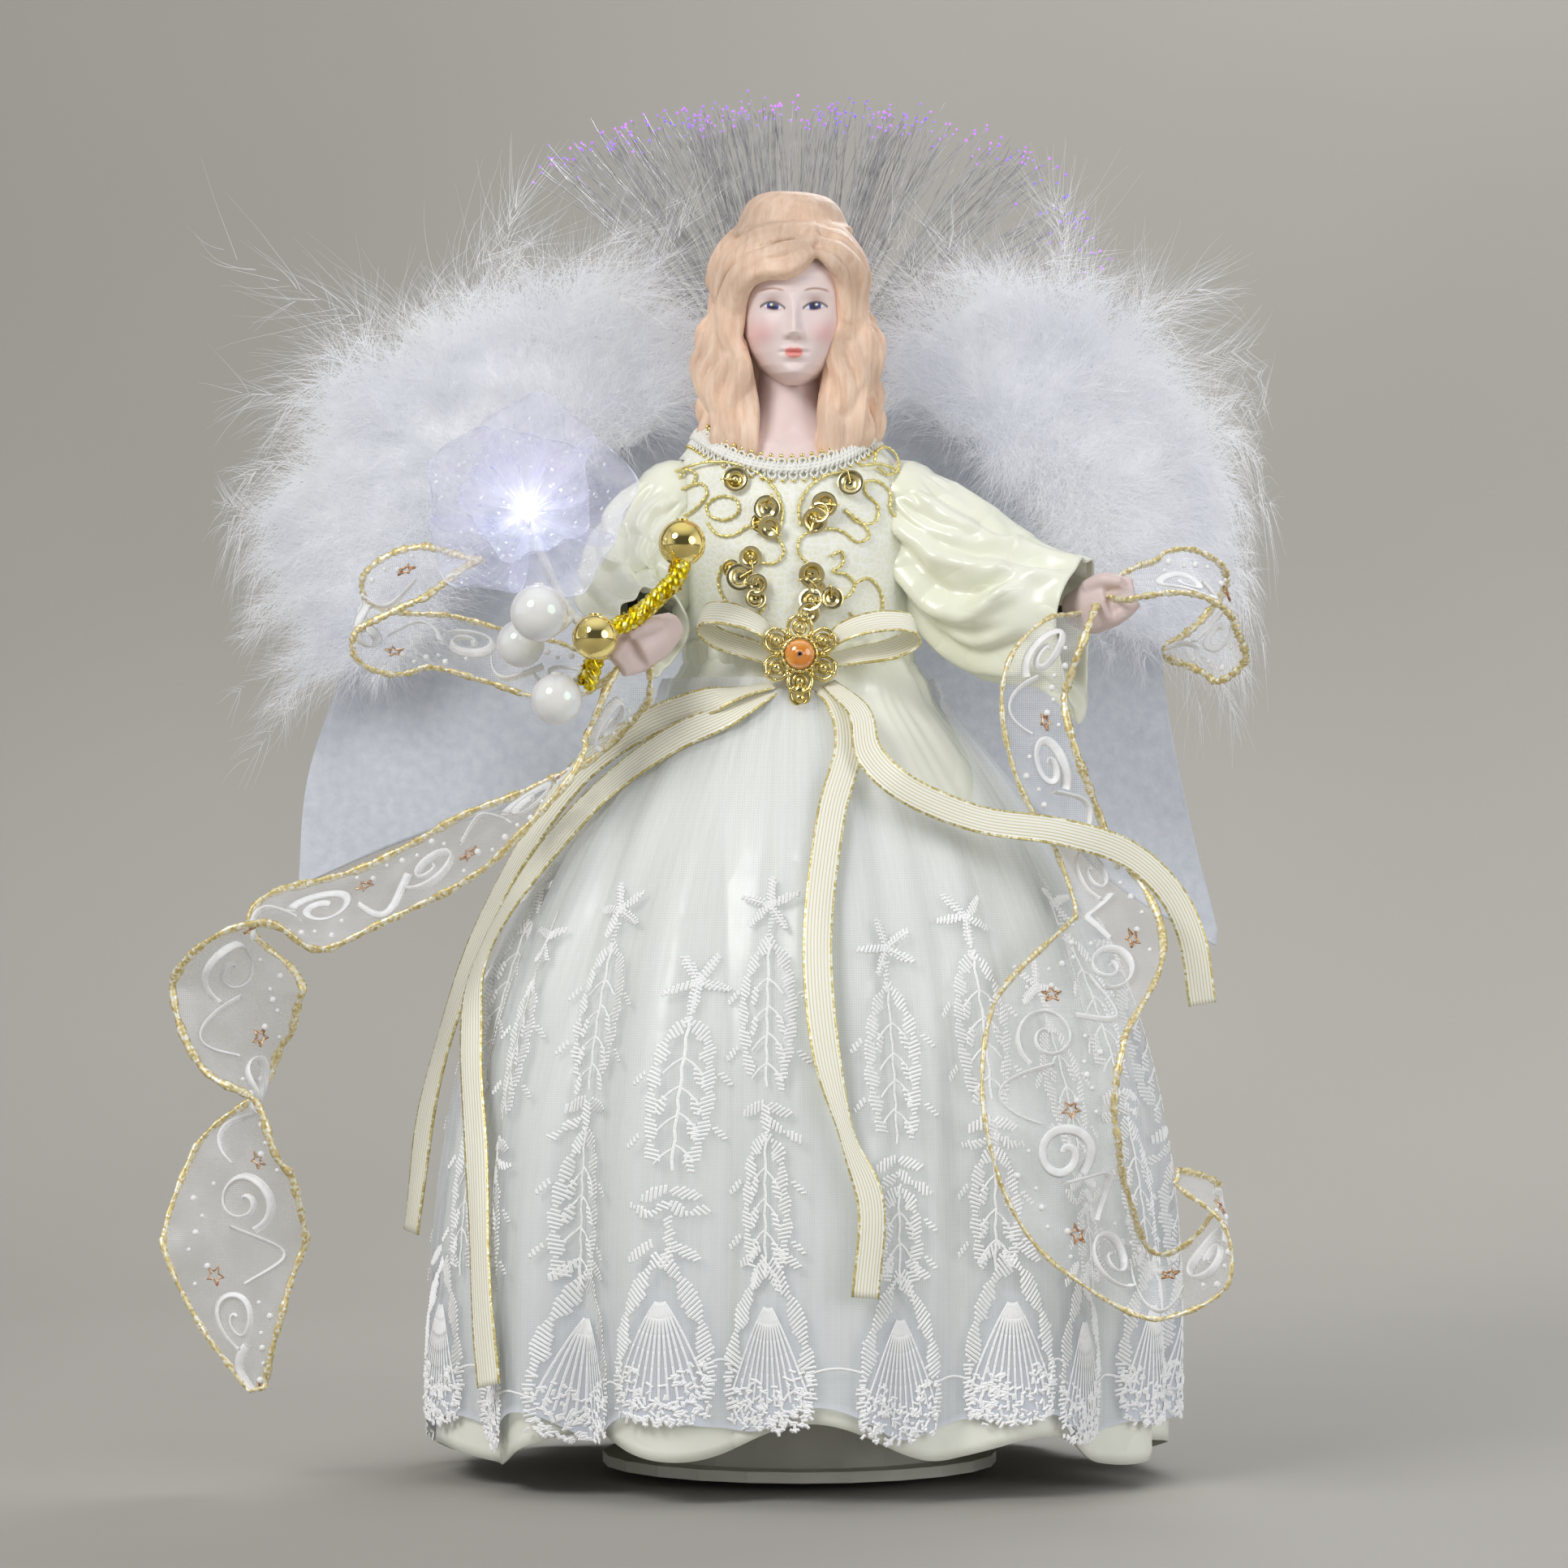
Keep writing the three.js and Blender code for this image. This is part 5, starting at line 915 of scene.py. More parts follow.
PICOTS, BRAID_STEPS = 76, 912
turn = np.linspace(0, TAU, BRAID_STEPS, endpoint=False)
for phase in (0, math.pi):
    wave, depth = np.sin(PICOTS * turn + phase), np.cos(PICOTS * turn + phase)
    braid.tube(on_collar(turn, 1.9 - 1.15 * wave, 2.5 + 0.35 * depth), 0.36, 5, loop=True)
for drop in (1.55, 2.3):
    braid.tube(on_collar(turn, drop, 2.75), 0.42 + 0.06 * np.sin(turn * 240), 6, loop=True)
for i in range(PICOTS):
    mid = (i + 0.5) / PICOTS * TAU
    w = np.linspace(-0.6, math.pi + 0.6, 10)
    angle = mid + 0.03 * np.cos(w)
    braid.tube(on_collar(angle, 3.2 + 1.2 * np.sin(w), 2.3), 0.27, 5)
    braid.tube(on_collar(angle, 0.7 - 0.9 * np.sin(w), 2.3), 0.27, 5)
    beads.ball(on_collar(mid, -0.75, 2.2), 0.55, 9, 7)
    beads.ball(on_collar(mid, 4.7, 2.1), 0.5, 8, 6)
    beads.ball(on_collar(mid + 0.041, 0.15, 2.2), 0.36, 7, 5)
braid.make("neckline_braid", "braid", replaces=["neckline_trim"], slot="lace")
beads.make("neckline_beads", "gold", slot="gold")

# Routes of the cord, in pixels of the photograph
CORDS = [
    [(812, 602), (830, 585), (880, 573), (925, 583), (952, 604), (964, 632), (960, 655), (944, 662)],
    [(828, 640), (824, 622), (842, 606), (866, 600), (872, 612), (856, 632), (838, 640), (828, 636)],
    [(874, 640), (872, 626), (890, 616), (909, 622), (910, 636), (894, 645), (876, 641)],
    [(872, 648), (884, 662), (904, 664), (926, 652), (944, 658), (958, 668), (966, 684), (956, 698),
     (938, 698)],
    [(986, 652), (984, 630), (996, 606), (1020, 590), (1046, 586)],
    [(1058, 578), (1088, 576), (1112, 588), (1122, 608), (1118, 632), (1106, 642), (1096, 630), (1096, 612),
     (1084, 598), (1066, 598), (1066, 612), (1080, 626), (1078, 646), (1056, 648), (1040, 632)],
    [(1076, 576), (1080, 560), (1092, 554), (1104, 564), (1106, 580), (1094, 588), (1080, 580)],
    [(1040, 634), (1060, 648), (1070, 664), (1056, 672), (1034, 658), (1008, 658), (986, 668), (984, 686),
     (996, 700)],
    [(1022, 690), (1036, 684), (1038, 698), (1026, 708), (1042, 712), (1052, 724), (1044, 738), (1028, 742)],
    [(1052, 722), (1070, 716), (1084, 732), (1086, 752), (1074, 768), (1056, 766), (1046, 758)],
    [(890, 700), (886, 722), (894, 742), (912, 756), (934, 760), (944, 748)],
    [(836, 596), (846, 582), (858, 588), (854, 600), (840, 606)],
]
CORD_OFF = 2.2
cords = Piece()
for route in CORDS:
    x, z = photo(*np.array(route, float).T)
    path = curve_at(chest(x, z, CORD_OFF), np.linspace(0, 1, 14 * len(route)))
    twist = np.arange(len(path)) * 1.1
    cords.tube(chest(path[:, 0], path[:, 2], CORD_OFF), 0.34 + 0.08 * np.sin(twist), 6)
cords.make("bodice_cord", "gold_cord", slot="gold")

# Sequins: place in pixels of the photograph and radius in millimetres
SEQUINS = [(907, 597, 2.9), (944, 632, 3.0), (950, 654, 2.7), (936, 650, 2.2), (1047, 601, 2.9),
           (1016, 626, 2.9), (1002, 645, 2.9), (1010, 638, 2.4), (912, 716, 3.1), (925, 690, 2.6),
           (934, 724, 2.5), (930, 742, 2.4), (902, 704, 2.0), (1000, 711, 2.9), (1023, 741, 2.6),
           (1000, 744, 2.8), (995, 758, 2.5), (1006, 728, 2.0)]
# Shares of the radius, out from the middle and up from the cloth
SEQUIN_CUP = [(0.1, 0.1), (0.4, 0.1), (0.46, 0.13), (0.52, 0.2), (0.97, 0.5), (1.0, 0.46), (0.55, 0.12),
              (0.42, 0.0), (0.1, 0.0)]
SEQUIN_THREAD = [(0, 0.2), (0.3, 0.28), (0.7, 0.42), (1.02, 0.5), (1.1, 0.3)]
sequins = Piece()
seeds = Piece()
turn = np.linspace(0, TAU, 28, endpoint=False)[:, None]
for n, (px, py, size) in enumerate(SEQUINS):
    x, z = photo(px, py)
    centre = chest(x, z, 2.3 + 0.35 * (n % 3))
    out = unit(chest(x, z, 6.0) - chest(x, z, 2.0))
    out = unit(out + 0.26 * np.array([math.sin(n * 2.4), 0, math.cos(n * 1.7)]))
    across = unit(np.cross(out, [0, 0, 1]))
    rise = np.cross(across, out)
    spokes = np.cos(turn) * across + np.sin(turn) * rise
    rings = [centre + size * (r * spokes + h * out) for r, h in SEQUIN_CUP]
    sequins.grid(np.array(rings), wrap=True, caps=True)
    way = math.cos(n * 1.9) * across + math.sin(n * 1.9) * rise
    seeds.tube(even([centre + size * (r * way + h * out) for r, h in SEQUIN_THREAD], 12), 0.24, 6)
    if n % 3 == 0:
        seeds.ball(centre + out * 0.75, 0.75, 10, 7)
sequins.make("bodice_sequins", "sequin", slot="gold")
seeds.make("bodice_seed_beads", "gold", slot="gold")


# Ribbons

def strip(stations, width, n, across=9, taper=1.0, wave=0.0, curl=0.0):
    """The CAD strip as a grid. Stations are (place, direction of the width, share of the width).

    Also gives the uv, the distance along the strip, the direction that it faces and its half width.
    """
    at, directions, shares = (np.array(part, float) for part in zip(*stations))
    u = np.linspace(0, 1, n)
    path = curve_at(at, u)
    along = unit(np.gradient(path, axis=0))
    place, steps = u * (len(stations) - 1), range(len(stations))
    wide = np.stack([np.interp(place, steps, part) for part in unit(directions).T], 1)
    wide = unit(wide - along * (wide * along).sum(1, keepdims=True))
    face = np.cross(along, wide)
    half = width / 2 * np.interp(place, steps, shares) * taper
    v = np.linspace(-1, 1, across)
    s = np.r_[0, np.cumsum(np.linalg.norm(np.diff(path, axis=0), axis=1))]
    lift = wave * np.sin(s[:, None] / 6.5 + 1.3 * v) * np.abs(v) ** 1.5 + curl * (v**2 - 0.4)
    pts = path[:, None] + (half[:, None] * v)[..., None] * wide[:, None] + lift[..., None] * face[:, None]
    uv = np.stack(np.broadcast_arrays(s[:, None], v[None]), -1)
    return pts, uv, s, face, half


SASH_WIDTH = 7.0
KNOT = np.array([0, -25.8, 179.8])


def declare_ribbon(length):
    """Turns a ribbon's length from millimetres to metres, rounded; nothing more is done with it."""
    length = round(float(length) * MM, 4)


a = np.linspace(0, TAU, 360, endpoint=False)
v = np.linspace(-1, 1, 9)
gather = 0.3 * np.cos(34 * a + 2.2 * np.sin(5 * a))[:, None] * (1 - 0.4 * v * v)
pts = torso(a[:, None], 3.8 + 3.5 * v + 0.3 * np.sin(7 * a)[:, None], 2.4 + 0.3 * np.cos(2.5 * v) + gather)
uv = np.stack(np.broadcast_arrays((a * 22)[:, None], v[None]), -1)
sash = Piece().grid(pts, loop=True, uv=uv)
sash = sash.make("waist_sash_ribbon", "satin", replaces=["waist_sash"], solid=0.6, slot="ribbon")
declare_ribbon(length_of(pts[:, 4]))


def tail_stations(route, face=0.0):
    """Places on the skirt from degrees round it, height and lift. face turns the ribbon to the front."""
    made = []
    for degrees, z, lift in route:
        angle = math.radians(degrees - 90)
        at = skirt(angle, z, 2.8 + lift)
        wide = unit(skirt(angle + 0.02, z, 2.8 + lift) - at) + [face, 0, 0]
        made.append((at, wide, 1))
    return made


def tail_root(x, drop, ahead):
    """Where a tail leaves the knot."""
    return ((x, KNOT[1] - ahead, KNOT[2] - 4.6 - drop), (1, 0, 0.1), 0.5)


TAILS = {
    "sash_tail_right_outer": [tail_root(-5.4, 1.8, 1)] + tail_stations(
        [(-30, 170, 4.6), (-52, 165, 4.6), (-73, 154, 4.4), (-85, 134, 4.2), (-88, 109, 4.5), (-90, 80, 5.5),
         (-92, 51, 6.5)], 0.9),
    "sash_tail_right_inner": [tail_root(-2.4, 1, -1)] + tail_stations(
        [(-24, 167, 1.2), (-42, 161, 1.6), (-60, 149, 2), (-71, 129, 2.4), (-74, 110, 2.4), (-68, 95, 2.4),
         (-60, 72, 2.9), (-52, 38, 3.2), (-49, 22, 3.2)], 0.5),
    "sash_tail_centre": [tail_root(2.4, 0.8, -1)] + tail_stations(
        [(14, 169, 2), (14, 160, 2.2), (7, 145, 2.6), (3, 118, 2.6), (4, 94, 2.6), (7, 76, 2.8), (10, 63, 3),
         (9, 43, 3.2)]),
    "sash_tail_left": [tail_root(6.4, 1.8, 2)] + [((x, y, WAIST + z), w, s) for x, y, z, w, s in (
        (13, -36, -9, (0.9, 0.1, 0.3), 0.8), (15, -43.5, -18, (0.7, 0.1, 0.8), 1),
        (22, -48.5, -25, (0.3, 0.1, 1), 1), (38, -46, -32, (0.1, 0.3, 1), 1),
        (57, -39, -35, (0.1, 0.3, 1), 1), (72, -31, -40, (0.3, 0.2, 1), 1),
        (81, -27, -48, (0.7, 0.2, 0.7), 1), (86, -25, -58, (1, 0.2, 0.25), 1),
        (88.5, -24, -73, (1, 0.2, 0.1), 1))],
}
TAIL_STEPS = 110
TAIL_SHARE = 0.89
TWIST_AT, TWIST_DIP, TWIST_RUN = {"sash_tail_centre": 0.74, "sash_tail_right_inner": 0.52}, 0.4, 0.075


def tail_taper(name):
    """Share of the ribbon's width that shows along a tail. A tail that twists is narrow there."""
    share = np.full(TAIL_STEPS, TAIL_SHARE)
    if name in TWIST_AT:
        away = (np.linspace(0, 1, TAIL_STEPS) - TWIST_AT[name]) / TWIST_RUN
        share = share - TWIST_DIP * np.exp(-(away**2))
    return share


for name, stations in TAILS.items():
    pts, uv, s, *_ = strip(stations, SASH_WIDTH, TAIL_STEPS, 11, tail_taper(name), wave=0.25, curl=-0.3)
    tail = Piece().grid(pts, uv=uv)
    tail = tail.make(name + "_ribbon", "ribbon", replaces=[name], solid=0.5, slot="ribbon")
    declare_ribbon(s[-1])

# Stations of a bow loop: share of its reach, place behind and above its axis, share of the ribbon's width
BOW = [(0.42, -2.2, 3.0, 0.95), (0.74, -3.0, 3.4, 1.15), (0.98, -1.4, 1.6, 1.1), (1.0, 1.2, -0.8, 1.05),
       (0.8, 1.8, -2.6, 1.1), (0.45, 1.0, -2.6, 0.95)]
BOW_ROOT = 4.9


def bow(side, reach, tilt):
    """A soft loop that rises from the knot and shows the ribbon's face."""
    out = np.array([side * math.cos(tilt), 0, math.sin(tilt)])
    up = np.array([-side * math.sin(tilt), 0, math.cos(tilt)])
    wide = 0.62 * up + [0, 0.78, 0]
    loop = [(KNOT + out * x * reach + up * h + [0, y, 0], wide, share) for x, y, h, share in BOW]
    first, last = KNOT + [side * BOW_ROOT, 0, 1.2], KNOT + [side * BOW_ROOT, 0, -1.6]
    return [(first, wide, 0.55), *loop, (last, wide, 0.55)]


for name, side, reach, tilt in (("bow_loop_right", -1, 23, 0.34), ("bow_loop_left", 1, 26, 0.2)):
    pts, uv, s, *_ = strip(bow(side, reach, tilt), SASH_WIDTH, 90, 11, curl=0.3, wave=0.25)
    loop = Piece().grid(pts, uv=uv)
    loop = loop.make(name + "_ribbon", "ribbon", replaces=[name], solid=0.4, slot="ribbon")
    declare_ribbon(s[-1])

turn = np.linspace(0, TAU, 28, endpoint=False)
v = np.linspace(-1, 1, 9)
knot = Piece()
rings = []
for w in v:
    half = 4.1 - 0.5 * (1 - w * w)
    x = half * np.sign(np.cos(turn)) * np.abs(np.cos(turn)) ** 0.6
    y = 2.5 * np.sign(np.sin(turn)) * np.abs(np.sin(turn)) ** 0.6 * (1 - 0.25 * w * w)
    rings.append(np.stack([x, KNOT[1] + y, KNOT[2] + 3.9 * w + 0.25 * np.cos(3 * turn)], -1))
uv = np.stack(np.broadcast_arrays((turn * 4)[None], v[:, None]), -1)
knot.grid(np.array(rings), wrap=True, caps=True, uv=uv)
knot.make("bow_knot_ribbon", "ribbon", replaces=["bow_knot"], slot="ribbon")

# Brooch

BROOCH = np.array([0, -28.7, 179.8])
BROOCH_CUP = [(0.4, 0.3), (3.4, 0.3), (4.2, 0.2), (4.2, 1.2), (3.9, 2.4), (3.4, 2.3), (0.4, 1.6)]
LOBES, GRAINS = 6, 16
DOWN = -TAU / 4
setting, stone = Piece(), Piece()


def disc_place(r, angle, out):
    """A place on the brooch: r from its middle at an angle, and out from its back."""
    return BROOCH + np.stack(np.broadcast_arrays(r * np.cos(angle), -out, r * np.sin(angle)), -1)


def oval(wide, high, sides, out=0.0):
    """A ring in the brooch's plane."""
    w = np.linspace(0, TAU, sides, endpoint=False)
    return np.stack(np.broadcast_arrays(wide * np.cos(w), -out, high * np.sin(w)), -1)


turn = np.linspace(0, TAU, 36, endpoint=False)
setting.grid(np.array([disc_place(r, turn, h) for r, h in BROOCH_CUP]), wrap=True)
for i in range(LOBES):
    angle = (i + 0.5) * TAU / LOBES
    centre = disc_place(5.9, angle, 0)
    w = np.linspace(0, TAU, 20, endpoint=False)
    setting.tube(centre + oval(2.6, 2.6, 20, 1.0 + 0.4 * np.cos(w - angle)), 0.5, 6, loop=True)
    setting.tube(centre + oval(1.45, 1.45, 20, 1.2), 0.36, 5, loop=True)
    setting.ball(centre + [0, -1.5, 0], (1.0, 0.8, 1.0), 10, 7)
    for beside in (-0.26, 0.26):
        setting.ball(disc_place(7.9, angle + beside, 1.2), 0.62, 8, 6)
    setting.ball(disc_place(8.3, angle, 1.3), 0.8, 8, 6)
    setting.ball(disc_place(5.0, angle + TAU / LOBES / 2, 1.5), 0.75, 8, 6)
for i in range(GRAINS):
    setting.ball(disc_place(3.75, i * TAU / GRAINS, 2.5), 0.42, 7, 5)
for r, size in ((8.0, 1.5), (9.6, 1.2)):
    setting.ball(disc_place(r, DOWN, 1.1), (size, 1.0, size), 12, 8)
setting.tube(disc_place(8.9, DOWN, 0.9) + oval(2.0, 2.2, 16), 0.45, 6, loop=True)
setting.make("brooch_setting_gold", "gold", replaces=["brooch_setting"], slot="gold")
dome = np.linspace(0, math.pi / 2, 10)[:-1]
rings = [disc_place(3.3 * math.cos(t), turn, 2.1 + 2.3 * math.sin(t)) for t in dome]
stone.grid(np.array(rings), wrap=True, caps=True)
stone.make("brooch_stone_amber", "amber", replaces=["brooch_stone"], slot="amber")

# Wings and feathers

WING_AT = np.array([-2.0, 30, WAIST])
WING_SPLAY = 6
# Side, upper edge, lower edge and route of the feather pad in the wing's plane, and flat size in metres
WINGS = {
    "right": (-1, [(-8, 42), (-28, 64), (-58, 76), (-84, 67), (-98, 40), (-104, 8), (-114, -24), (-116, -48)],
              [(-8, 6), (-30, -14), (-62, -28), (-92, -38), (-116, -48)],
              [(-30, 60), (-42, 70), (-60, 72), (-80, 63), (-95, 49), (-102, 31), (-102, 13), (-100, 2)],
              (0.112, 0.124)),
    "left": (1, [(4, 42), (24, 64), (54, 74), (74, 64), (84, 38), (84, 4), (90, -30), (97, -58)],
             [(4, 6), (26, -12), (54, -30), (75, -49), (97, -62)],
             [(27, 62), (38, 72), (54, 71), (70, 60), (81, 44), (84.5, 26), (82.5, 8)], (0.094, 0.14)),
}
WING_ROWS, WING_COLUMNS = 70, 46
PAD_ROWS, PAD_SIDES, PAD_RADIUS, PAD_FLAT, PAD_AHEAD = 90, 44, 17, 0.4, -9.3
HAIR_LIMIT = {-1: 118, 1: 94}
HAIR_ROLL = 15


def wing_place(pts, side):
    """From the wing's own plane to the frame."""
    t = math.radians(WING_SPLAY * side)
    x, y, z = np.moveaxis(np.asarray(pts, float), -1, 0)
    return np.stack([x * math.cos(t) - y * math.sin(t), x * math.sin(t) + y * math.cos(t), z], -1) + WING_AT


def felt_sheet(top, bottom):
    """The felt between its two edges, with a slight wave."""
    upper, lower = (even([(x + 2, 0, z) for x, z in edge], WING_ROWS) for edge in (top, bottom))
    v = np.linspace(0, 1, WING_COLUMNS)[None, :, None]
    sheet = upper[:, None] * (1 - v) + lower[:, None] * v
    x, z = sheet[..., 0], sheet[..., 2]
    sheet[..., 1] = 1.2 + 1.3 * np.sin(x / 17 + 0.6) * np.sin(z / 23) * np.clip(np.abs(x) / 40, 0, 1)
    return sheet


class Marabou:
    """The core, the down and the plumes along the feather pad of one wing."""

    def __init__(self, side, pads):
        self.side = side
        self.route = even([(x + 2, PAD_AHEAD, z) for x, z in pads], PAD_ROWS)
        self.along = unit(np.gradient(self.route, axis=0))
        out = unit(np.cross(self.along, [0, 1, 0]))
        inward = (out * (self.route - [36 * side, 0, 5.0])).sum(1, keepdims=True) < 0
        self.out = np.where(inward, -out, out)
        self.shape = np.sqrt(np.maximum(0.1, 1 - np.linspace(-1, 1, PAD_ROWS) ** 6))

    def core(self):
        """Rings of the lumpy core under the down."""
        centre = (self.route - 5 * self.out + [0, 1.8, 0])[:, None]
        rings = tube_rings(centre[:, 0], PAD_RADIUS * self.shape, PAD_SIDES, up=(0, 1, 0), flat=PAD_FLAT)
        turns = np.linspace(0, TAU, PAD_SIDES, endpoint=False)
        i, j = np.meshgrid(np.arange(PAD_ROWS), turns, indexing="ij")
        lumps = 0.05 * np.sin(0.55 * i + 2 * j) + 0.04 * np.sin(0.9 * i - 3 * j)
        return wing_place(centre + (rings - centre) * (1 + lumps[..., None]), self.side)

    def settle(self, paths):
        """Keeps hairs off the felt and inside the part's width."""
        paths[..., 1] = np.minimum(paths[..., 1], -0.4 + 6 * (paths[..., 2] > 78))
        over = np.maximum(0, self.side * paths[..., 0] - HAIR_LIMIT[self.side])
        paths[..., 0] -= self.side * (over - HAIR_ROLL * (1 - np.exp(-over / HAIR_ROLL)))
        return wing_place(paths, self.side)

    def fluff(self, count, inward, outward, ahead=-4.5, longest=13, thick=0.055):
        """Short down all over the pad."""
        k = rng.integers(1, PAD_ROWS - 1, count)
        out = self.out[k]
        deep = rng.uniform(*inward, (count, 1)) * self.shape[k][:, None]
        root = self.route[k] - out * deep + rng.normal(size=(count, 3)) + [0, ahead, 0]
        start = unit(out * outward + [0, -0.3, 0] + 0.6 * rng.normal(size=(count, 3)))
        bend = unit(rng.normal(size=(count, 3)) + [0, 0.4, -0.3] + 0.5 * outward * out)
        size = rng.uniform(6, longest, (count, 1, 1))
        t = np.linspace(0, 1, 4)[None, :, None]
        paths = root[:, None] + size * (start[:, None] * t + 0.6 * bend[:, None] * t * t)
        return self.settle(paths), thick * (1 - 0.8 * t[..., 0]) * np.ones((count, 1))

    def plumes(self, count, barbs, low, high, thick, steps, inward, curve):
        """Plumes: a shaft that leans outwards and soft barbs that leave it on both sides and trail."""
        k = rng.integers(1, PAD_ROWS - 1, count)
        out, along = self.out[k], self.along[k]
        root = self.route[k] - out * rng.uniform(*inward, (count, 1))
        root = root + rng.normal(size=(count, 3)) * [1, 1.6, 1] + [0, -2, 0]
        lean = rng.normal(size=(count, 1)) * 0.45 + 0.3 * np.clip((k[:, None] / PAD_ROWS - 0.5) * 2, -1, 1)
        spread = rng.normal(size=(count, 3)) * [0.1, 0.22, 0.1]
        shaft = unit(out + lean * along + [0, -0.1, 0] + spread)
        sag = unit(rng.normal(size=(count, 3)) * 0.5 + [0, -0.1, -0.6] + 0.5 * lean * along)
        upward = np.clip(out[:, 2:], 0, 1)
        size = rng.uniform(low, high, (count, 1)) * (0.62 + 0.38 * upward)
        size = size * (0.72 + 0.28 * self.shape[k][:, None])
        shaft, sag, root, size = (np.repeat(part, barbs, axis=0) for part in (shaft, sag, root, size))
        m = count * barbs
        where = rng.random((m, 1)) ** 0.8
        base = root + size * (shaft * where + 0.5 * curve * sag * where**2)
        run = unit(shaft + curve * sag * where)
        side_way = unit(np.cross(run, unit(rng.normal(size=(m, 3)) * 0.4 + [0, 1, 0])))
        side_way = side_way * np.where(rng.random((m, 1)) < 0.5, -1, 1)
        start = run * rng.uniform(0.6, 1.3, (m, 1)) + side_way * rng.uniform(0.3, 0.9, (m, 1))
        start = unit(start + 0.15 * rng.normal(size=(m, 3)))
        length = (size * rng.uniform(0.35, 0.75, (m, 1)) * (1 - 0.35 * where))[:, None]
        bend = unit(run + curve * sag + 0.45 * rng.normal(size=(m, 3)))
        t = np.linspace(0, 1, steps)[None, :, None]
        paths = base[:, None] + length * (start[:, None] * t + 0.6 * bend[:, None] * t * t)
        paths = paths + 0.3 * np.sin(8 * t + rng.uniform(0, TAU, (m, 1, 1))) * t * rng.normal(size=(m, 1, 3))
        return self.settle(paths), thick * (1 - 0.8 * t[..., 0]) * np.ones((m, 1))


for name, (side, top, bottom, pads, flat) in WINGS.items():
    sheet = felt_sheet(top, bottom)
    wing = Piece().grid(wing_place(sheet, side))
    wing = wing.make(f"wing_{name}_felt", "felt", replaces=[f"wing_{name}"], solid=2.0, slot="felt")

    feathers = Marabou(side, pads)
    core = Piece().grid(feathers.core(), wrap=True, caps=True)
    core.make(f"marabou_{name}_pad", "down_pad", replaces=[f"marabou_{name}"], slot="feather")
    down = Piece().strands(*feathers.fluff(9500, (-12, 20), 0.9))
    down.make(f"marabou_{name}_fluff", "down", slot="feather")
    down = Piece().strands(*feathers.fluff(5000, (12, 24), -0.6))
    down.strands(*feathers.fluff(4000, (-13, 4), 1.0, 6.5, 12))
    down.make(f"marabou_{name}_inner", "down", slot="feather")
    down = Piece().strands(*feathers.plumes(130, 62, 15, 24, 0.055, 5, (-6, 20), 0.7))
    down.make(f"marabou_{name}_down", "down", slot="feather")
    down = Piece().strands(*feathers.plumes(62, 62, 24, 34, 0.05, 6, (-8, 6), 1.0))
    down.strands(*feathers.plumes(30, 26, 34, 44, 0.05, 8, (-8, 4), 1.3))
    down.make(f"marabou_{name}_wisps", "down", slot="feather")

# Fibre fan

FIBRES, FIBRE_CLUMPS, LOW_FIBRES, FIBRE_STEPS = 400, 110, 46, 9
FIBRE_ROOT, FIBRE_LONGEST, FIBRE_RADIUS = 6, 94, 0.115
fan_fibres, fan_tips = Piece(), Piece()
clump = np.sort(rng.uniform(-40, 40, FIBRE_CLUMPS))
angle = np.radians(clump[rng.integers(0, FIBRE_CLUMPS, FIBRES)] + rng.normal(size=FIBRES) * 0.8)
angle[:LOW_FIBRES] = np.radians(rng.uniform(40, 57, LOW_FIBRES))
reach = 84 + 8 * (angle / 0.68) ** 2 + rng.normal(size=FIBRES) * 2.0
reach[:LOW_FIBRES] = rng.uniform(80, 91, LOW_FIBRES)
reach = np.minimum(reach, FIBRE_LONGEST)
t = np.linspace(0, 1, FIBRE_STEPS)[None, :]
drift = rng.normal(size=(FIBRES, 1)) * 0.03
r = FIBRE_ROOT + (reach[:, None] - FIBRE_ROOT) * t
direction = angle[:, None] * (0.55 + 0.45 * t**0.6) + drift * np.sin(math.pi * t)
direction = direction + rng.normal(size=(FIBRES, 1)) * 0.03 * t**3
depth = rng.uniform(-2.3, 2.3, (FIBRES, 1)) * (0.6 + 1.6 * t) - 1.5 * t**2
paths = FAN + np.stack([r * np.sin(direction), depth, r * np.cos(direction)], -1)
fan_fibres.strands(paths, np.full((FIBRES, FIBRE_STEPS), FIBRE_RADIUS) * rng.uniform(0.8, 1.3, (FIBRES, 1)))
for end, before in zip(paths[:, -1], paths[:, -2]):
    if rng.random() < 0.75:
        fan_tips.ball(end + unit(end - before) * 0.1, rng.uniform(0.18, 0.32), 6, 4)
combs = [f"halo_fibres_{i}" for i in (1, 2, 3, 4)]
fan_fibres.make("halo_fibre_strands", "fibre", replaces=combs, slot="fibre")
fan_tips.make("halo_fibre_tips", "fibre_tip", slot="fibre")

BUNDLE_ROUTE = [(-2, 3, 194.5), (-2, 5, 202), (-2, 14, 208), (-2, 28, 212), (-2, 38.5, 219), (-2, 40, 230)]
BUNDLE_STRANDS, BUNDLE_RADIUS, BUNDLE_STEPS = 36, 3.3, 24
GOLDEN_TURN = 2.4
neck = even(BUNDLE_ROUTE, BUNDLE_STEPS)
fan_out = np.linspace(0, 1, BUNDLE_STEPS)[:, None] ** 3
bundle = Piece()
for i in range(BUNDLE_STRANDS):
    turn = i * GOLDEN_TURN
    rad = BUNDLE_RADIUS * math.sqrt(i / BUNDLE_STRANDS)
    offset = np.array([math.cos(turn), math.sin(turn) * 0.6, math.sin(turn)]) * rad
    bundle.tube(neck + offset * (1 + 0.6 * fan_out), 0.5, 5)
bundle.make("fibre_bundle_strands", "fibre", replaces=["fibre_bundle"], slot="fibre")

# Head

TONE_SKIN = np.array(srgb(240, 222, 219)[:3])
FACE_AT = HEAD + [1.1, -1.6, -0.4]
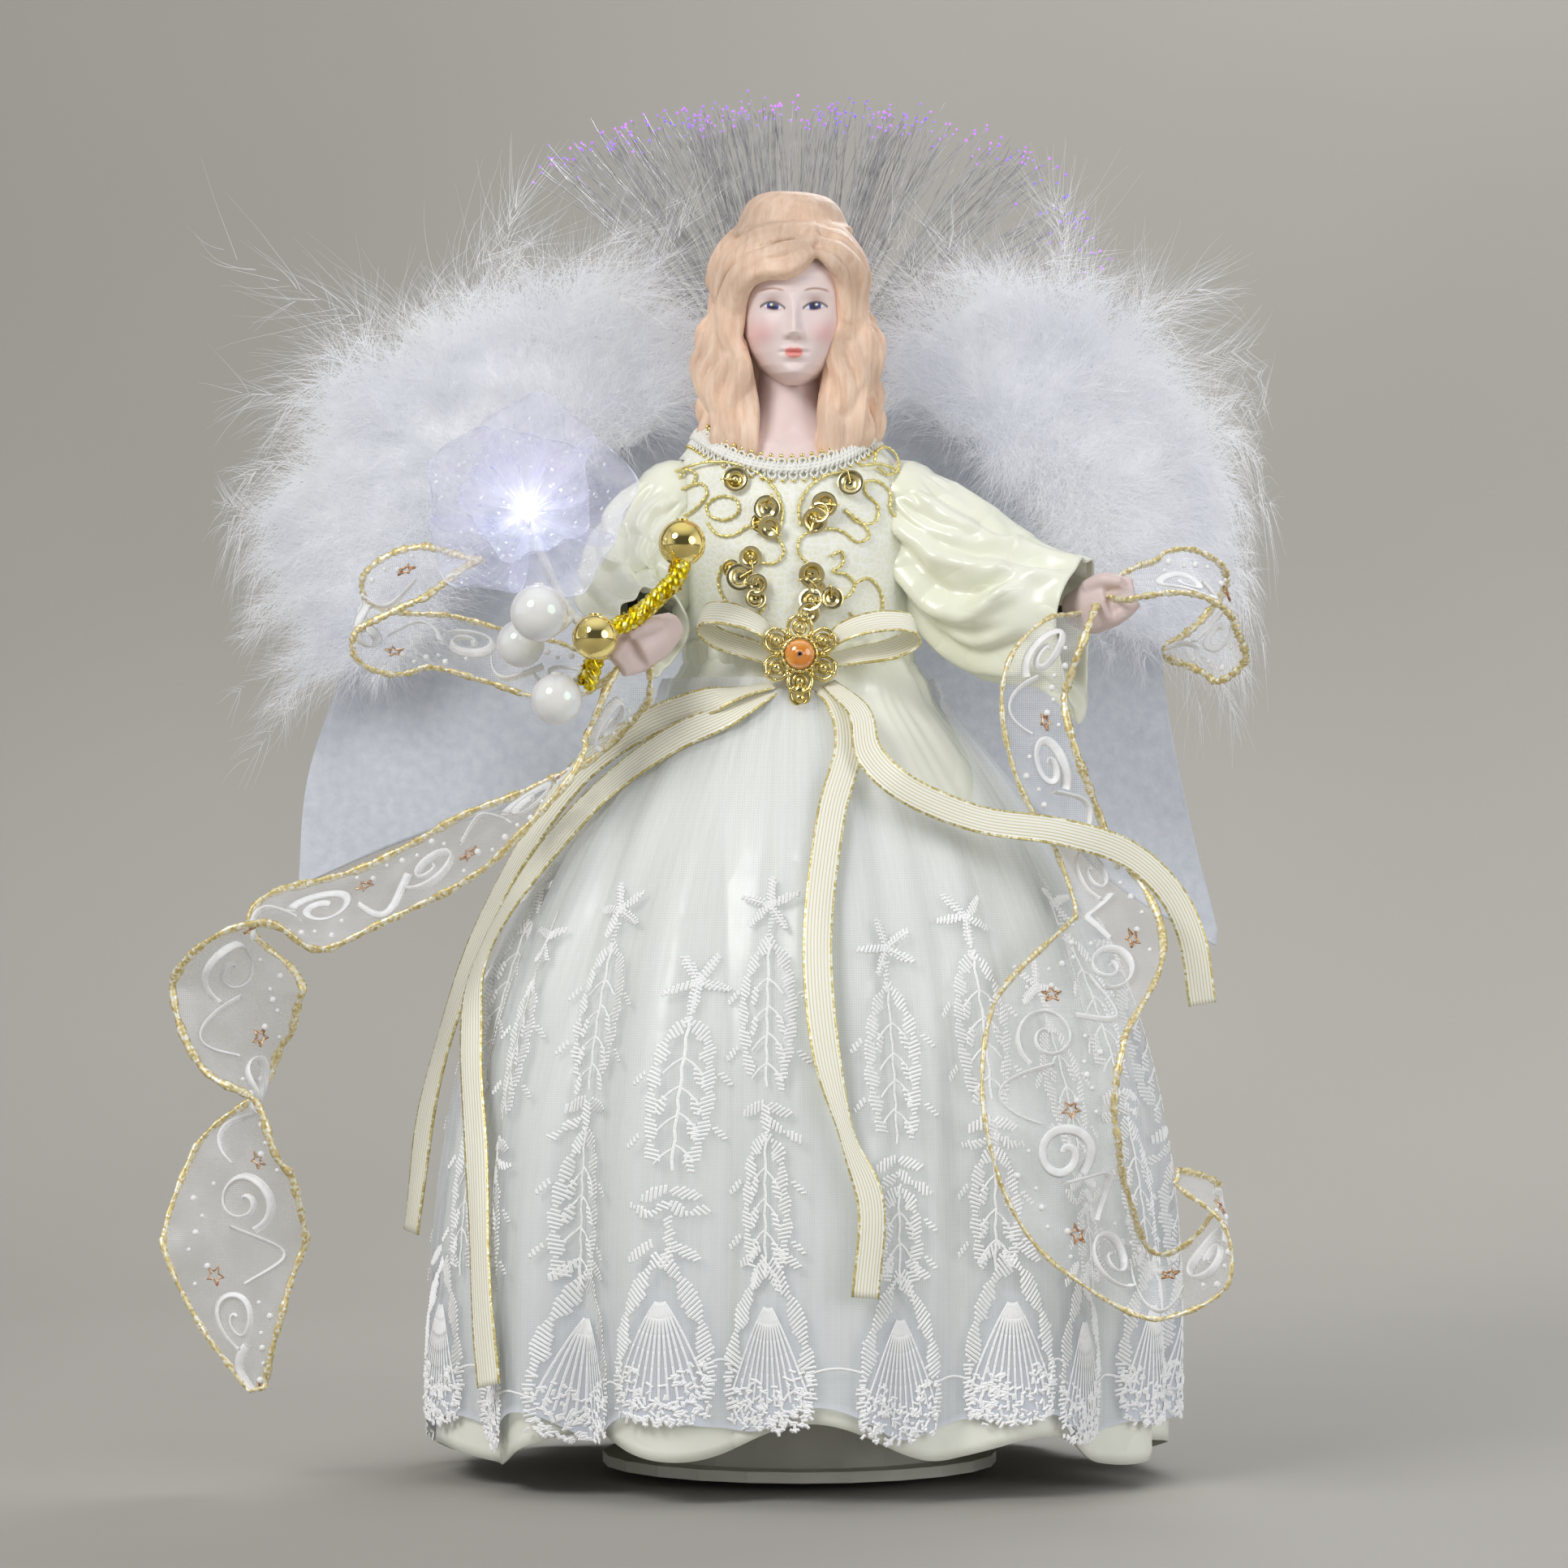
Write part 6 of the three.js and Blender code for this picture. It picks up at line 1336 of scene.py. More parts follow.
# Height from the head's middle, half width, depth in front and depth behind
SKULL_Z = [-17.8, -17.2, -16.5, -15, -13, -10, -6, -2, 2, 7, 12, 15, 17.5]
SKULL_HALF_WIDTH = [0.6, 2.6, 3.9, 5.9, 7.9, 9.8, 11.6, 12.3, 12.5, 12.1, 10, 7, 1.5]
SKULL_FRONT = [6, 9.5, 12.2, 14.2, 14.9, 15.1, 15.1, 15.2, 15.5, 15.2, 12.3, 8.6, 2]
SKULL_BACK = [4, 5, 6, 8, 10, 11, 12, 13, 13.5, 13.5, 11, 8, 2]
# Rises and hollows of the face: place across and up, spread across and up, and height
PAIRED_FEATURES = [(1.5, -5.9, 0.75, 0.7, 0.7), (4.7, 0.5, 2.6, 1.7, -1.25), (4.7, 0.25, 1.9, 1.0, 0.95),
                   (4.9, 3.2, 3.2, 1.0, 0.45), (6.6, -4.8, 3.2, 2.8, 0.7), (2.7, -10.1, 0.7, 0.6, -0.3)]
MIDDLE_FEATURES = [(0, -9.25, 2.1, 0.55, 0.85), (0, -11.0, 1.7, 0.75, 1.0), (0, -10.05, 2.2, 0.2, -0.55),
                   (0, -8.0, 0.55, 0.7, -0.3), (0, -12.7, 2.4, 0.8, -0.5), (0, -14.9, 2.8, 1.6, 0.8)]


def spot(x, z, wide, high):
    """A soft round spot, 1 in its middle."""
    return np.exp(-((x / wide) ** 2) - (z / high) ** 2)


def within(limit, value, soft):
    """1 where the value is under the limit, fading to 0 over a soft edge."""
    return np.clip((limit - value) / soft, 0, 1)


face = Piece()
side_angle = 1.75
lon = np.concatenate([np.linspace(-math.pi, -side_angle, 14, endpoint=False),
                      np.linspace(-side_angle, side_angle, 171), np.linspace(side_angle, math.pi, 15)[1:-1]])
up = np.concatenate([np.linspace(-17.6, -16.2, 10, endpoint=False),
                     np.linspace(-16.2, 12, 172, endpoint=False), np.linspace(12, 17.4, 16)])
th, z = np.meshgrid(lon, up)
half, front, back = (np.interp(z, SKULL_Z, part) for part in (SKULL_HALF_WIDTH, SKULL_FRONT, SKULL_BACK))
x = half * np.sin(th)
y = np.where(np.cos(th) > 0, -front * np.abs(np.cos(th)) ** 0.86, back * np.abs(np.cos(th)))
nose = np.interp(z, [-7.2, -6.4, -5.4, -3, 0.5, 3], [0, 1.6, 2.9, 2.0, 0.9, 0])
nose_wide = np.interp(z, [-6.5, -5, -2, 2], [1.7, 1.55, 1.15, 1.2])
out = nose * np.exp(-((x / nose_wide) ** 2))
features = MIDDLE_FEATURES + [(side * at, *rest) for at, *rest in PAIRED_FEATURES for side in (-1, 1)]
for at_x, at_z, wide, high, height in features:
    out += height * spot(x - at_x, z - at_z, wide, high)
y = y - out * np.clip(np.cos(th), 0, 1) ** 0.5
tone = np.broadcast_to(TONE_SKIN, x.shape + (3,)).copy()


def dab(mask, colour, strength=1.0):
    """Paints a colour on the face where the mask is on."""
    m = np.clip(mask, 0, 1)[..., None] * strength
    tone[:] = tone * (1 - m) + np.array(srgb(*colour)[:3]) * m


EYE_X, EYE_Z, EYE_HALF_WIDTH = 4.7, 0.2, 2.5
IRIS, PUPIL, GLINT = 1.42, 0.8, 0.34
BROW_Z, BROW_RISE, BROW_HALF_WIDTH = 3.05, 0.55, 2.9
facing = np.cos(th) > 0.1
for side in (-1, 1):
    dab(spot(x - side * 7.2, z + 5.4, 3.0, 2.8), (240, 152, 152), 0.42)
    dab(spot(x - side * 1.2, z + 6.7, 0.45, 0.3), (200, 140, 132), 0.4)
    ex, ez = (x - side * EYE_X) * side, z - EYE_Z
    almond = 1 - ((ex + 0.1) / EYE_HALF_WIDTH) ** 2
    lid, sole = 0.95 * almond + 0.12 * ex, -0.72 * almond + 0.12 * ex
    inside = within(lid, ez, 0.14) * within(ez, sole, 0.14) * facing
    dab(spot(ex, ez - lid - 0.55, 2.3, 0.5) * facing, (206, 156, 140), 0.5)
    dab(inside, (246, 244, 244))
    from_iris = np.hypot(ex + 0.05, ez - 0.12)
    dab(inside * within(IRIS, from_iris, 0.16), (34, 52, 134))
    dab(inside * within(PUPIL, from_iris, 0.16), (14, 16, 40))
    # Painted highlight: a white catchlight spot on each eye.
    dab(inside * within(GLINT, np.hypot(ex - 0.3, ez - 0.45), 0.12), (255, 255, 255))
    dab(np.exp(-((ez - lid) / 0.31) ** 2) * (np.abs(ex) < 2.75) * facing, (40, 32, 40), 0.95)
    dab(np.exp(-((ez - sole) / 0.14) ** 2) * (np.abs(ex) < 2.1) * facing, (176, 120, 104), 0.5)
    brow = BROW_Z + BROW_RISE * (1 - ((ex - 0.3) / BROW_HALF_WIDTH) ** 2)
    brow = np.exp(-((ez - brow) / 0.24) ** 2) * within(3.1, np.abs(ex - 0.3), 1.0)
    dab(brow * facing, (156, 112, 84), 0.85)
upper_lip = -8.75 - 0.28 * np.exp(-((x / 0.5) ** 2)) - 0.17 * np.abs(x) ** 1.6
lower_lip = -11.75 + 0.24 * np.abs(x) ** 1.9
mouth = within(upper_lip, z, 0.25) * within(z, lower_lip, 0.25) * within(2.15, np.abs(x), 0.5) * facing
dab(mouth, (240, 150, 142), 0.9)
dab(mouth * np.exp(-((z + 10.08) / 0.16) ** 2), (206, 96, 92), 0.7)
z = z - 1.1 * np.exp(-(((z + 4) / 9) ** 2)) * facing
face.grid(np.stack([x, y, z], -1) + FACE_AT, wrap=True, caps=True, tone=tone.reshape(-1, 3))

# Neck and shoulder plate: height above the waist, half width, depth in front and depth behind
NECK = np.array([(42.3, 26.3, 17.2, 15.8), (46, 26, 16, 15.5), (51, 20, 12.5, 13.5), (55, 12.5, 10.2, 10.5),
                 (60, 8.0, 7.8, 7.8), (66, 7.2, 7.2, 7.4), (76, 7.4, 7.2, 7.6)])
SMOOTHED = 9
rows = np.linspace(NECK[0, 0], NECK[-1, 0], 70)
turn = np.linspace(0, TAU, 96, endpoint=False)
columns = [np.interp(rows, NECK[:, 0], NECK[:, i]) for i in (1, 2, 3)]
kernel, kept = np.ones(SMOOTHED) / SMOOTHED, SMOOTHED // 2
columns = [np.r_[c[:kept], np.convolve(c, kernel, "valid"), c[-kept:]] for c in columns]
rings = []
for rise, half, front, back in zip(rows, *columns):
    in_front = np.sin(turn) < 0
    y = np.where(in_front, front, back) * np.sin(turn)
    x = half * np.cos(turn)
    pit = 0.9 * spot(x, rise - 53.5, 2.2, 2.5) * in_front
    bone = 0.5 * np.exp(-(((rise - 50.5 - 0.12 * np.abs(x)) / 1.2) ** 2)) * (np.abs(x) > 2.5) * in_front
    rings.append(np.stack([HEAD[0] + x, y + pit - bone, np.full_like(turn, WAIST + rise)], -1))
face.grid(np.array(rings), wrap=True, tone=TONE_SKIN * [1.0, 0.985, 0.98])
face.make("head_face", "bisque", replaces=["head"], slot="bisque")

# Hair: height, half width, depth in front and depth behind, as shares of the cap's size
HAIR_CAP = [(-1.46, 0.68, 0.12, 0.52), (-1, 0.9, 0.1, 0.8), (-0.4, 0.87, 0.12, 0.93), (0.2, 0.83, 0.3, 0.98),
            (0.62, 0.76, 0.55, 0.9), (0.86, 0.56, 0.5, 0.66), (0.98, 0.22, 0.2, 0.2)]
HAIR_HALF_WIDTH, HAIR_DEPTH, HAIR_HEIGHT = 18.5, 18, 19
hair = Piece()
turn = np.linspace(0, TAU, 40, endpoint=False)
rings = []
for up, wide, front, back in HAIR_CAP:
    x = HAIR_HALF_WIDTH * wide * np.cos(turn)
    y = HAIR_DEPTH * np.where(np.sin(turn) < 0, front, back) * np.sin(turn)
    rings.append(HEAD + np.stack([x, y, np.full_like(turn, HAIR_HEIGHT * up)], -1))
hair.grid(np.array(rings), wrap=True, caps=True)


def lock(points, radius, end, flat=1.0):
    """A ridged lock of hair through points from the head's middle, thin at its tip."""
    path = even(np.array(points, float) + HEAD, 40)
    t = np.linspace(0, 1, 40)
    size = radius * (1 - (1 - end) * t**3) * (0.55 + 0.45 * np.minimum(1, t * 5))
    size = size * np.sqrt(np.clip((1 - t) * 9, 0.03, 1))
    hair.tube(path, size, 14, ridge=0.1, ridges=5, flat=flat)


# Fringe swept from the parting: radius, share of it near the tip, and route
FRINGE = [
    (2.3, 0.7, [(5.4, -15.4, 11.2), (2.6, -17.2, 8.8), (-1, -18, 6.9), (-4.8, -17.2, 6.8), (-8.6, -15, 5.2),
                (-11.2, -12.4, 1), (-12.6, -11, -4)]),
    (2.3, 0.8, [(5.0, -14.4, 13.2), (0, -16.6, 11.4), (-6, -16, 9.6), (-11, -13, 6.4), (-14, -10.2, 0.5),
                (-15.4, -8.8, -6)]),
    (2.3, 0.8, [(4.4, -11.2, 15.2), (-4, -12.2, 13.6), (-10.5, -9.8, 10.6), (-14.6, -6.2, 5.4),
                (-16, -5, -1)]),
    (2.2, 0.8, [(4.2, -7.8, 17), (-4, -8.4, 16), (-11, -6, 12.6), (-15.2, -2.4, 7), (-16.4, -1, 0)]),
    (2.0, 0.8, [(5.8, -15.2, 11.2), (9.4, -15.4, 9), (12.2, -13.2, 4.8), (12.4, -11.8, -0.5),
                (12.6, -11, -6)]),
    (2.3, 0.9, [(5.6, -13.8, 13.6), (11, -13.4, 11.2), (15.2, -10.2, 6.4), (14.6, -9, 0.5),
                (14.8, -8.4, -6)]),
    (2.3, 0.9, [(5.2, -11, 16), (11.6, -10, 13.6), (16.2, -6, 7.2), (15.6, -5, 0), (16.6, -4, -8)]),
    (2.2, 0.9, [(4.8, -8, 17.6), (10.6, -7, 15.8), (15.6, -2.6, 9.4), (16.6, -1.6, 1)]),
    (2.4, 1.0, [(4.6, -9, 17.2), (4.8, -12.5, 14.6), (5.2, -14.4, 11.8)]),
    (3.0, 0.9, [(-10, -9, 13.6), (-4, -11, 15), (3, -11, 15.4), (10, -9.4, 14)]),
    (3.1, 0.9, [(-2, -13.6, 10.6), (-8, -12.6, 8), (-11.4, -10.6, 2), (-12.6, -9.4, -5), (-13.4, -8.4, -12)]),
    (2.9, 0.9, [(8, -12.6, 10.6), (11.6, -10.8, 5.6), (12.2, -9.6, -1), (13, -8.6, -10)]),
]
for radius, end, route in FRINGE:
    lock(route, radius, end)

# Waves beside the face and over the shoulders: place across above and below, place behind above and below
WAVES = [(12.2, 9.0, -10.6, -13.6), (14.4, 12.6, -8.6, -12.0), (16.0, 15.6, -5.6, -8.4),
         (16.6, 17.4, -1.6, -3.2), (16.0, 16.6, 3.5, 3.0), (13.6, 14.0, 8.5, 8.5)]
# The mass behind the waves: radius, share of it near the tip, flatness and route on one side.
# The last two end on the chest: place across, height where the chest is measured, step behind it, depth.
MASS = [(3.4, 0.9, 1.0, [(15, -2, 1), (15.6, -1, -11), (15.2, -1, -21), (14.4, -1, -30)], None),
        (3.4, 0.9, 1.0, [(14.4, 4.5, 1), (15, 5, -11), (14.6, 5, -21), (13.6, 5, -30)], None),
        (3.4, 0.6, 1.0, [(11.2, -8, -8), (11, -8.6, -15), (9.5, -10.2, -23), (9.3, -12.2, -30)],
         (8.6, 224, 0, -37)),
        (4.4, 0.6, 0.7, [(14, -6, 0), (15.2, -7, -10), (14.4, -8.6, -20), (13.8, -10, -28)],
         (13, 226, 1, -35))]
HAIR_SINK = -1.2


def wave_route(i, side, high_x, low_x, high_y, low_y):
    """A wave's way down to the neckline, where the front ones end on the chest."""
    end_x = low_x - 1.4 * (side > 0 and i < 2)
    foot = chest(side * end_x + HEAD[0], 226, HAIR_SINK)
    angle = math.atan2(foot[1] / 16, (foot[0] - HEAD[0]) / 26) if i < 4 else 0.3
    low = WAIST + float(neckline(angle)) - 2.4 - HEAD[2]
    end_y = foot[1] - 0.4 - HEAD[1] if i < 3 else low_y
    phase = i * 1.3 + (0 if side < 0 else 1.4)
    route = []
    for q in np.linspace(0, 1, 13):
        sway = 1.8 * math.sin(q * 11 + phase) * min(1, q * 4) * min(1, 4.5 * (1 - q))
        x = high_x + (end_x - high_x) * q + 1.4 * math.sin(math.pi * q) + sway
        y = high_y + (end_y - high_y) * q**1.5 - 0.8 * math.cos(q * 12 + i)
        route.append((side * x, y, 1 - (0.9 * i) % 3 + (low - 1) * q))
    return route


for side in (-1, 1):
    for i, places in enumerate(WAVES):
        route = wave_route(i, side, *places)
        lock(route, 2.45, 0.8)
        fine = [(x + side * 1.3 * math.sin(k), y - 1.1, z + 1.5) for k, (x, y, z) in enumerate(route[1:-2])]
        lock(fine, 1.1, 0.1)
    for radius, end, flat, route, foot in MASS:
        route = [(side * x, y, z) for x, y, z in route]
        if foot:
            x, height, behind, z = foot
            y = chest(side * x + HEAD[0], height, HAIR_SINK)[1] - HEAD[1]
            route.append((side * x, y + behind, z))
        lock(route, radius, end, flat)

# Locks down the back, then shorter ones over the crown: height and share of the head's radius
BACK_LOCK = [(14, 0.72), (8, 0.95), (0, 1.06), (-9, 1.04), (-18, 1.0), (-28, 0.82)]
CROWN_LOCK = [(18, 0.4), (15, 0.72), (10, 0.94), (3, 1.04)]
for degrees in 118 + 15.5 * np.arange(9):
    phi = math.radians(degrees)
    lock([(16.6 * math.sin(phi) * k, -16.6 * math.cos(phi) * k, z) for z, k in BACK_LOCK], 3.0, 0.6)
for degrees in 100 + 23 * np.arange(8):
    phi = math.radians(degrees)
    lock([(16.6 * math.sin(phi) * k, -16.4 * math.cos(phi) * k, z) for z, k in CROWN_LOCK], 2.6, 0.8)

# Coil of hair on the crown: radius and height
COIL = [(2, 15.2), (12.9, 15.4), (12.7, 17.6), (12.1, 19.6), (11.2, 21.6), (10.0, 23.4), (8.2, 24.8),
        (5.6, 25.6), (1.5, 25.9)]
turn = np.linspace(0, TAU, 60, endpoint=False)
rings = []
for r, h in COIL:
    rings.append(np.stack([0.8 + r * np.cos(turn), 2 + 0.92 * r * np.sin(turn), h - 0.25 * np.cos(turn)], -1))
hair.grid(HEAD + np.array(rings), wrap=True, caps=True)
band = HEAD + np.stack([0.8 + 12.6 * np.cos(turn), 1.6 + 11.9 * np.sin(turn), 16.8 + 0.4 * np.cos(turn)], -1)
hair.tube(band, 1.0, 10, loop=True)
skin = fused(hair, "hair", 0.42, 6)
co = skin.v[0] - HEAD
# Tone in soft bands, then painted shade: the hair is darker towards the crown.
banding_and_crown_shade = np.clip(0.95 + 0.1 * np.sin(co[:, 2:3] * 0.35 + co[:, :1] * 0.2), 0, 1.05)
banding_and_crown_shade = banding_and_crown_shade * np.interp(co[:, 2:3], [-2, 8, 17], [1, 0.93, 0.85])
skin.tone = [banding_and_crown_shade * np.array([1.02, 0.985, 0.95])]
skin.make("head_hair", "moulded_hair", slot="bisque")


# Sleeves and hands

def ridges(u, a, lines):
    """Raised folds along lines of (share of the length, degrees round the arm), with a valley beside each."""
    lift = 0 * u * a
    for high, wide, line in lines:
        at = np.array(line, float)
        d = signed(a - np.radians(np.interp(u, at[:, 0], at[:, 1]))) / math.radians(wide)
        fade = np.clip((u - at[0, 0]) / 0.1, 0, 1) * np.clip((at[-1, 0] - u) / 0.1, 0, 1)
        lift = lift + high * fade * (np.exp(-d * d) - 0.75 * np.exp(-((d - 1.9) ** 2)))
    return lift


# Height of a fold, its half width in degrees, and its line
FOLDS = [
    (2.5, 10, [(0.0, -70), (0.2, -48), (0.42, -40), (0.6, -22), (0.74, 8), (0.86, 20)]),
    (2.2, 9, [(0.0, -100), (0.3, -82), (0.6, -70), (0.92, -48)]),
    (1.2, 6, [(0.25, -62), (0.5, -56), (0.8, -30)]),
    (1.8, 9, [(0.0, -25), (0.3, -5), (0.55, 22), (1.0, 42)]), (1.1, 6, [(0.0, -8), (0.2, 8), (0.5, 40)]),
    (1.6, 9, [(0.0, 25), (0.35, 40), (0.7, 72), (1.05, 76)]), (1.0, 6, [(0.4, -95), (0.7, -80), (1.05, -84)]),
    (1.4, 10, [(0.0, 75), (0.4, 92), (1.05, 112)]), (1.4, 10, [(0.0, 125), (0.5, 142), (1.05, 150)]),
    (1.5, 10, [(0.0, 178), (0.5, 170), (1.05, 190)]), (1.6, 10, [(0.0, 232), (0.5, 222), (1.05, 236)]),
]
SLEEVE_HEAD = 9.6
SLEEVE_ROWS, SLEEVE_SIDES = 80, 120


def sleeve(shoulder, route, widths, hang, front, flare, flap):
    """A puffed sleeve from its round head to a cuff that flares, hangs below and flaps."""
    path = even(shoulder + np.array(route, float), SLEEVE_ROWS)
    along = unit(np.gradient(path, axis=0))
    across = unit(np.cross(along, [0, 0, 1]))
    rise = np.cross(across, along)
    u = np.linspace(0, 1, SLEEVE_ROWS)[:, None]
    turn = np.linspace(0, TAU, SLEEVE_SIDES, endpoint=False)[None]
    facing = turn if front > 0 else math.pi - turn
    crease = ridges(u, facing, FOLDS) + 0.22 * np.sin(13 * facing + 9 * u) * np.sin(math.pi * u)
    pleat = 0.35 * np.cos(26 * facing) * np.exp(-((u / 0.12) ** 2)) * np.clip(u * 30, 0, 1)
    under = np.maximum(0, -np.sin(turn))
    lip = np.clip((u - 0.84) / 0.16, 0, 1) ** 2
    width = np.interp(u, np.linspace(0, 1, len(widths)), widths) + crease + pleat
    width = width + flare * lip * (1 + 0.4 * np.sin(4 * turn + 1))
    low = 1 + hang * u * u * under
    pts = (path[:, None] + (width * np.cos(turn))[..., None] * across[:, None]
           + (width * low * np.sin(turn))[..., None] * rise[:, None])
    pts = pts + (flap * lip * under**3)[..., None] * (0.8 * along[:, None] + np.array([0, 0, -0.8]))
    spokes = np.cos(turn[0])[:, None] * across[0] + np.sin(turn[0])[:, None] * rise[0]
    head = [shoulder + SLEEVE_HEAD * (math.sin(t) * spokes - math.cos(t) * along[0])
            for t in np.radians([22, 40, 58, 76])]
    return np.concatenate([np.array(head), pts])


SLEEVES = {
    "right": sleeve(SHOULDER_R,
                    [(0, 0, 0), (-7, -2, -12), (-10.5, -7.5, -22), (-8, -17, -27), (-4.5, -23.5, -28)],
                    [SLEEVE_HEAD, 11.8, 11, 9, 7.5], 0.0, -1, 1.2, 2.0),
    "left": sleeve(SHOULDER_L, [(0, 0, 0), (10, -2, -11), (21, -6, -20.5), (38, -13.5, -24.5)],
                   [SLEEVE_HEAD, 13.5, 14, 10], 0.55, 1, 1.4, 6.5),
}
for side, pts in SLEEVES.items():
    made = Piece().grid(pts, wrap=True).make(f"sleeve_{side}_satin", "satin", body=f"arm_{side}",
                                            replaces=[f"sleeve_{side}"], solid=0.5, slot="satin")

TONE_HAND = srgb(226, 206, 202)[:3]
HAND_ROWS, PALM_ROWS, FINGER_FROM, THUMB_ROWS = 30, 21, 12, 16


def from_right(*points):
    """Places given from the right shoulder."""
    return [SHOULDER_R + p for p in np.array(points, float)]


def from_left(*points):
    """Places given from the left shoulder."""
    return [SHOULDER_L + p for p in np.array(points, float)]


def hand(side, route, across_of, up_of, thumb):
    """A palm with four fingers side by side along its route, and a thumb, fused into one skin."""
    form = Piece()
    path = even(route, HAND_ROWS)
    along = unit(np.gradient(path, axis=0))
    across = unit(np.cross(along, [0, 0, 1]))
    rise = np.cross(across, along)
    u = np.linspace(0, 1, HAND_ROWS)
    turn = np.linspace(0, TAU, 24, endpoint=False)
    wide, high = (np.interp(u, np.linspace(0, 1, 4), part)[:, None] for part in (across_of, up_of))
    palm = (path[:, None] + (wide * np.cos(turn))[..., None] * across[:, None]
            + (high * np.sin(turn))[..., None] * rise[:, None])
    form.grid(palm[:PALM_ROWS], wrap=True, caps=True)
    path, across, rise, u, high = (part[FINGER_FROM:] for part in (path, across, rise, u, high))
    spread = high * np.interp(u, [0.4, 0.75, 1], [0.62, 0.72, 0.62])[:, None]
    bend = across * np.interp(u, [0.4, 0.75, 1], [0, 0.4, -0.9])[:, None]
    for share in np.linspace(1, -1, 4):
        form.tube(path + rise * share * spread + bend, np.interp(u, [0.4, 0.85, 1], [1.9, 1.75, 1.25]), 12)
    thick = np.interp(np.linspace(0, 1, THUMB_ROWS), [0, 0.6, 1], [1.9, 1.8, 1.2])
    form.tube(even(thumb, THUMB_ROWS), thick, 12)
    skin = fused(form, f"hand_{side}", 0.4, 4)
    skin.tone = [np.broadcast_to(TONE_HAND, (skin.count, 3))]
    skin.make(f"hand_{side}_bisque", "bisque", body=f"arm_{side}", replaces=[f"hand_{side}"], slot="bisque")


hand("right", from_right((0.2, -30.5, -28), (-4, -35, -31), (-9, -38, -34.5), (-12, -39, -37)),
     [3, 4.0, 3.6, 2.0], [3.2, 5.0, 4.8, 2.6],
     from_right((-3, -37, -28), (-6, -40, -28.5), (-9.5, -41.5, -30.5)))
hand("left", from_left((36, -14, -24), (41, -17, -23.5), (46, -20, -22), (50, -22.5, -20.5)),
     [3, 4.4, 4.2, 2.4], [3.2, 6.2, 5.8, 3.4],
     from_left((40, -19, -19.5), (43.5, -21.5, -17.8), (47.5, -23.5, -18.2)))

# Flower pick

FLOWER = SHOULDER_R + [-31.3, -35, -4.5]
FLOWER_TILT = math.pi / 2 - 0.35


def flower_place(pts):
    """From the flower's own upright place to its tilted place on the arm."""
    x, y, z = np.moveaxis(np.asarray(pts, float), -1, 0)
    c, s = math.cos(FLOWER_TILT), math.sin(FLOWER_TILT)
    return np.stack([x, y * c - z * s, y * s + z * c], -1) + FLOWER


def petals(name, count, length, half_width, cup, hub, foot, turn):
    """Broad rounded petals of sheer film that overlap into a cup."""
    made = Piece()
    v = np.linspace(0, 1, 30)[:, None]
    s = np.linspace(-1, 1, 27)[None]
    rounded = np.sqrt(np.maximum(0.2, 1 - np.clip((v - 0.6) / 0.46, 0, 1) ** 2))
    y = s * (0.8 + half_width * (1 - (1 - np.minimum(1, 1.12 * v)) ** 1.9) * rounded)
    root = hub * 0.4
    for i in range(count):
        angle = i / count * TAU + turn
        c, d = math.cos(angle), math.sin(angle)
        grow = 1 + 0.06 * math.sin(i * 2.3)
        x = root + (length * grow - root) * v * (1 - 0.2 * np.abs(s) ** 1.6 * v)
        z = foot + 1.2 + cup * v**1.7 + 1.5 * (s**2 - 0.4) * v - 1.6 * v**5
        z = z + 0.75 * v**2 * np.sin(2.6 * s + 1.7 * i) + 0.3 * v**3 * np.sin(8 * s + i * 2 + 2 * v)
        pts = np.stack([x * c - y * d, x * d + y * c, z], -1)
        made.grid(flower_place(pts), uv=np.stack(np.broadcast_arrays(s, v), -1))
    obj = made.make(f"{name}_sheer", "petal", body="arm_right", replaces=[name], slot="petal")


petals("flower_outer", 5, 24.6, 13.0, 10, 3.5, 0, 0.2)
petals("flower_inner", 5, 15.5, 8.0, 10.5, 3.2, 3, 0.7)
LED = [(0.3, 4.7), (2.1, 4.7), (2.3, 5.2), (2.4, 7.2), (2.1, 8.6), (1.3, 9.5), (0.3, 9.8)]
turn = np.linspace(0, TAU, 20, endpoint=False)
rings = [[(r * math.cos(t), r * math.sin(t), h) for t in turn] for r, h in LED]
led = Piece().grid(flower_place(rings), wrap=True)
led.make("flower_led_lamp", "led", body="arm_right", replaces=["flower_led"], slot="led")
stamens = Piece()
w = np.linspace(0, 1, 7)
for i in range(9):
    t = i * GOLDEN_TURN
    lean = 0.5 + 0.35 * math.sin(i * 1.9)
    r = 2.6 + (3.5 + 5 * lean) * w**1.3
    pts = flower_place(np.stack([r * math.cos(t), r * math.sin(t), 5 + (9 - 3 * lean) * w], -1))
    stamens.tube(pts, 0.22, 5)
    stamens.ball(pts[-1], 0.55, 7, 5)
stamens.make("flower_stamens", "petal", body="arm_right", slot="petal")

# Centre and radius
PEARLS = {"pearl_1": ((-55.78, -60, 188), 6.2), "pearl_2": ((-52.58, -46, 169.8), 5.58),
          "pearl_3": ((-60.78, -36, 182), 5.27)}
BALLS = {"gold_ball_1": ((-25.58, -40, 203.7), 5.2), "gold_ball_2": ((-44.08, -52.5, 183), 4.99)}
BEAD_HOLE = 1.1
w = np.linspace(0, TAU, 18, endpoint=False)
for group, look, slot in ((PEARLS, "pearl", "pearl"), (BALLS, "gold_ball", "gold_plastic")):
    for name, (centre, radius) in group.items():
        made = Piece().ball(centre, radius, 40, 26)
        rim = np.stack([BEAD_HOLE * np.cos(w), BEAD_HOLE * np.sin(w), np.full(len(w), radius * 0.985)], -1)
        made.tube(rim + centre, 0.3, 6, loop=True)
        made.make(f"{name}_bead", look, body="arm_right", replaces=[name], slot=slot)

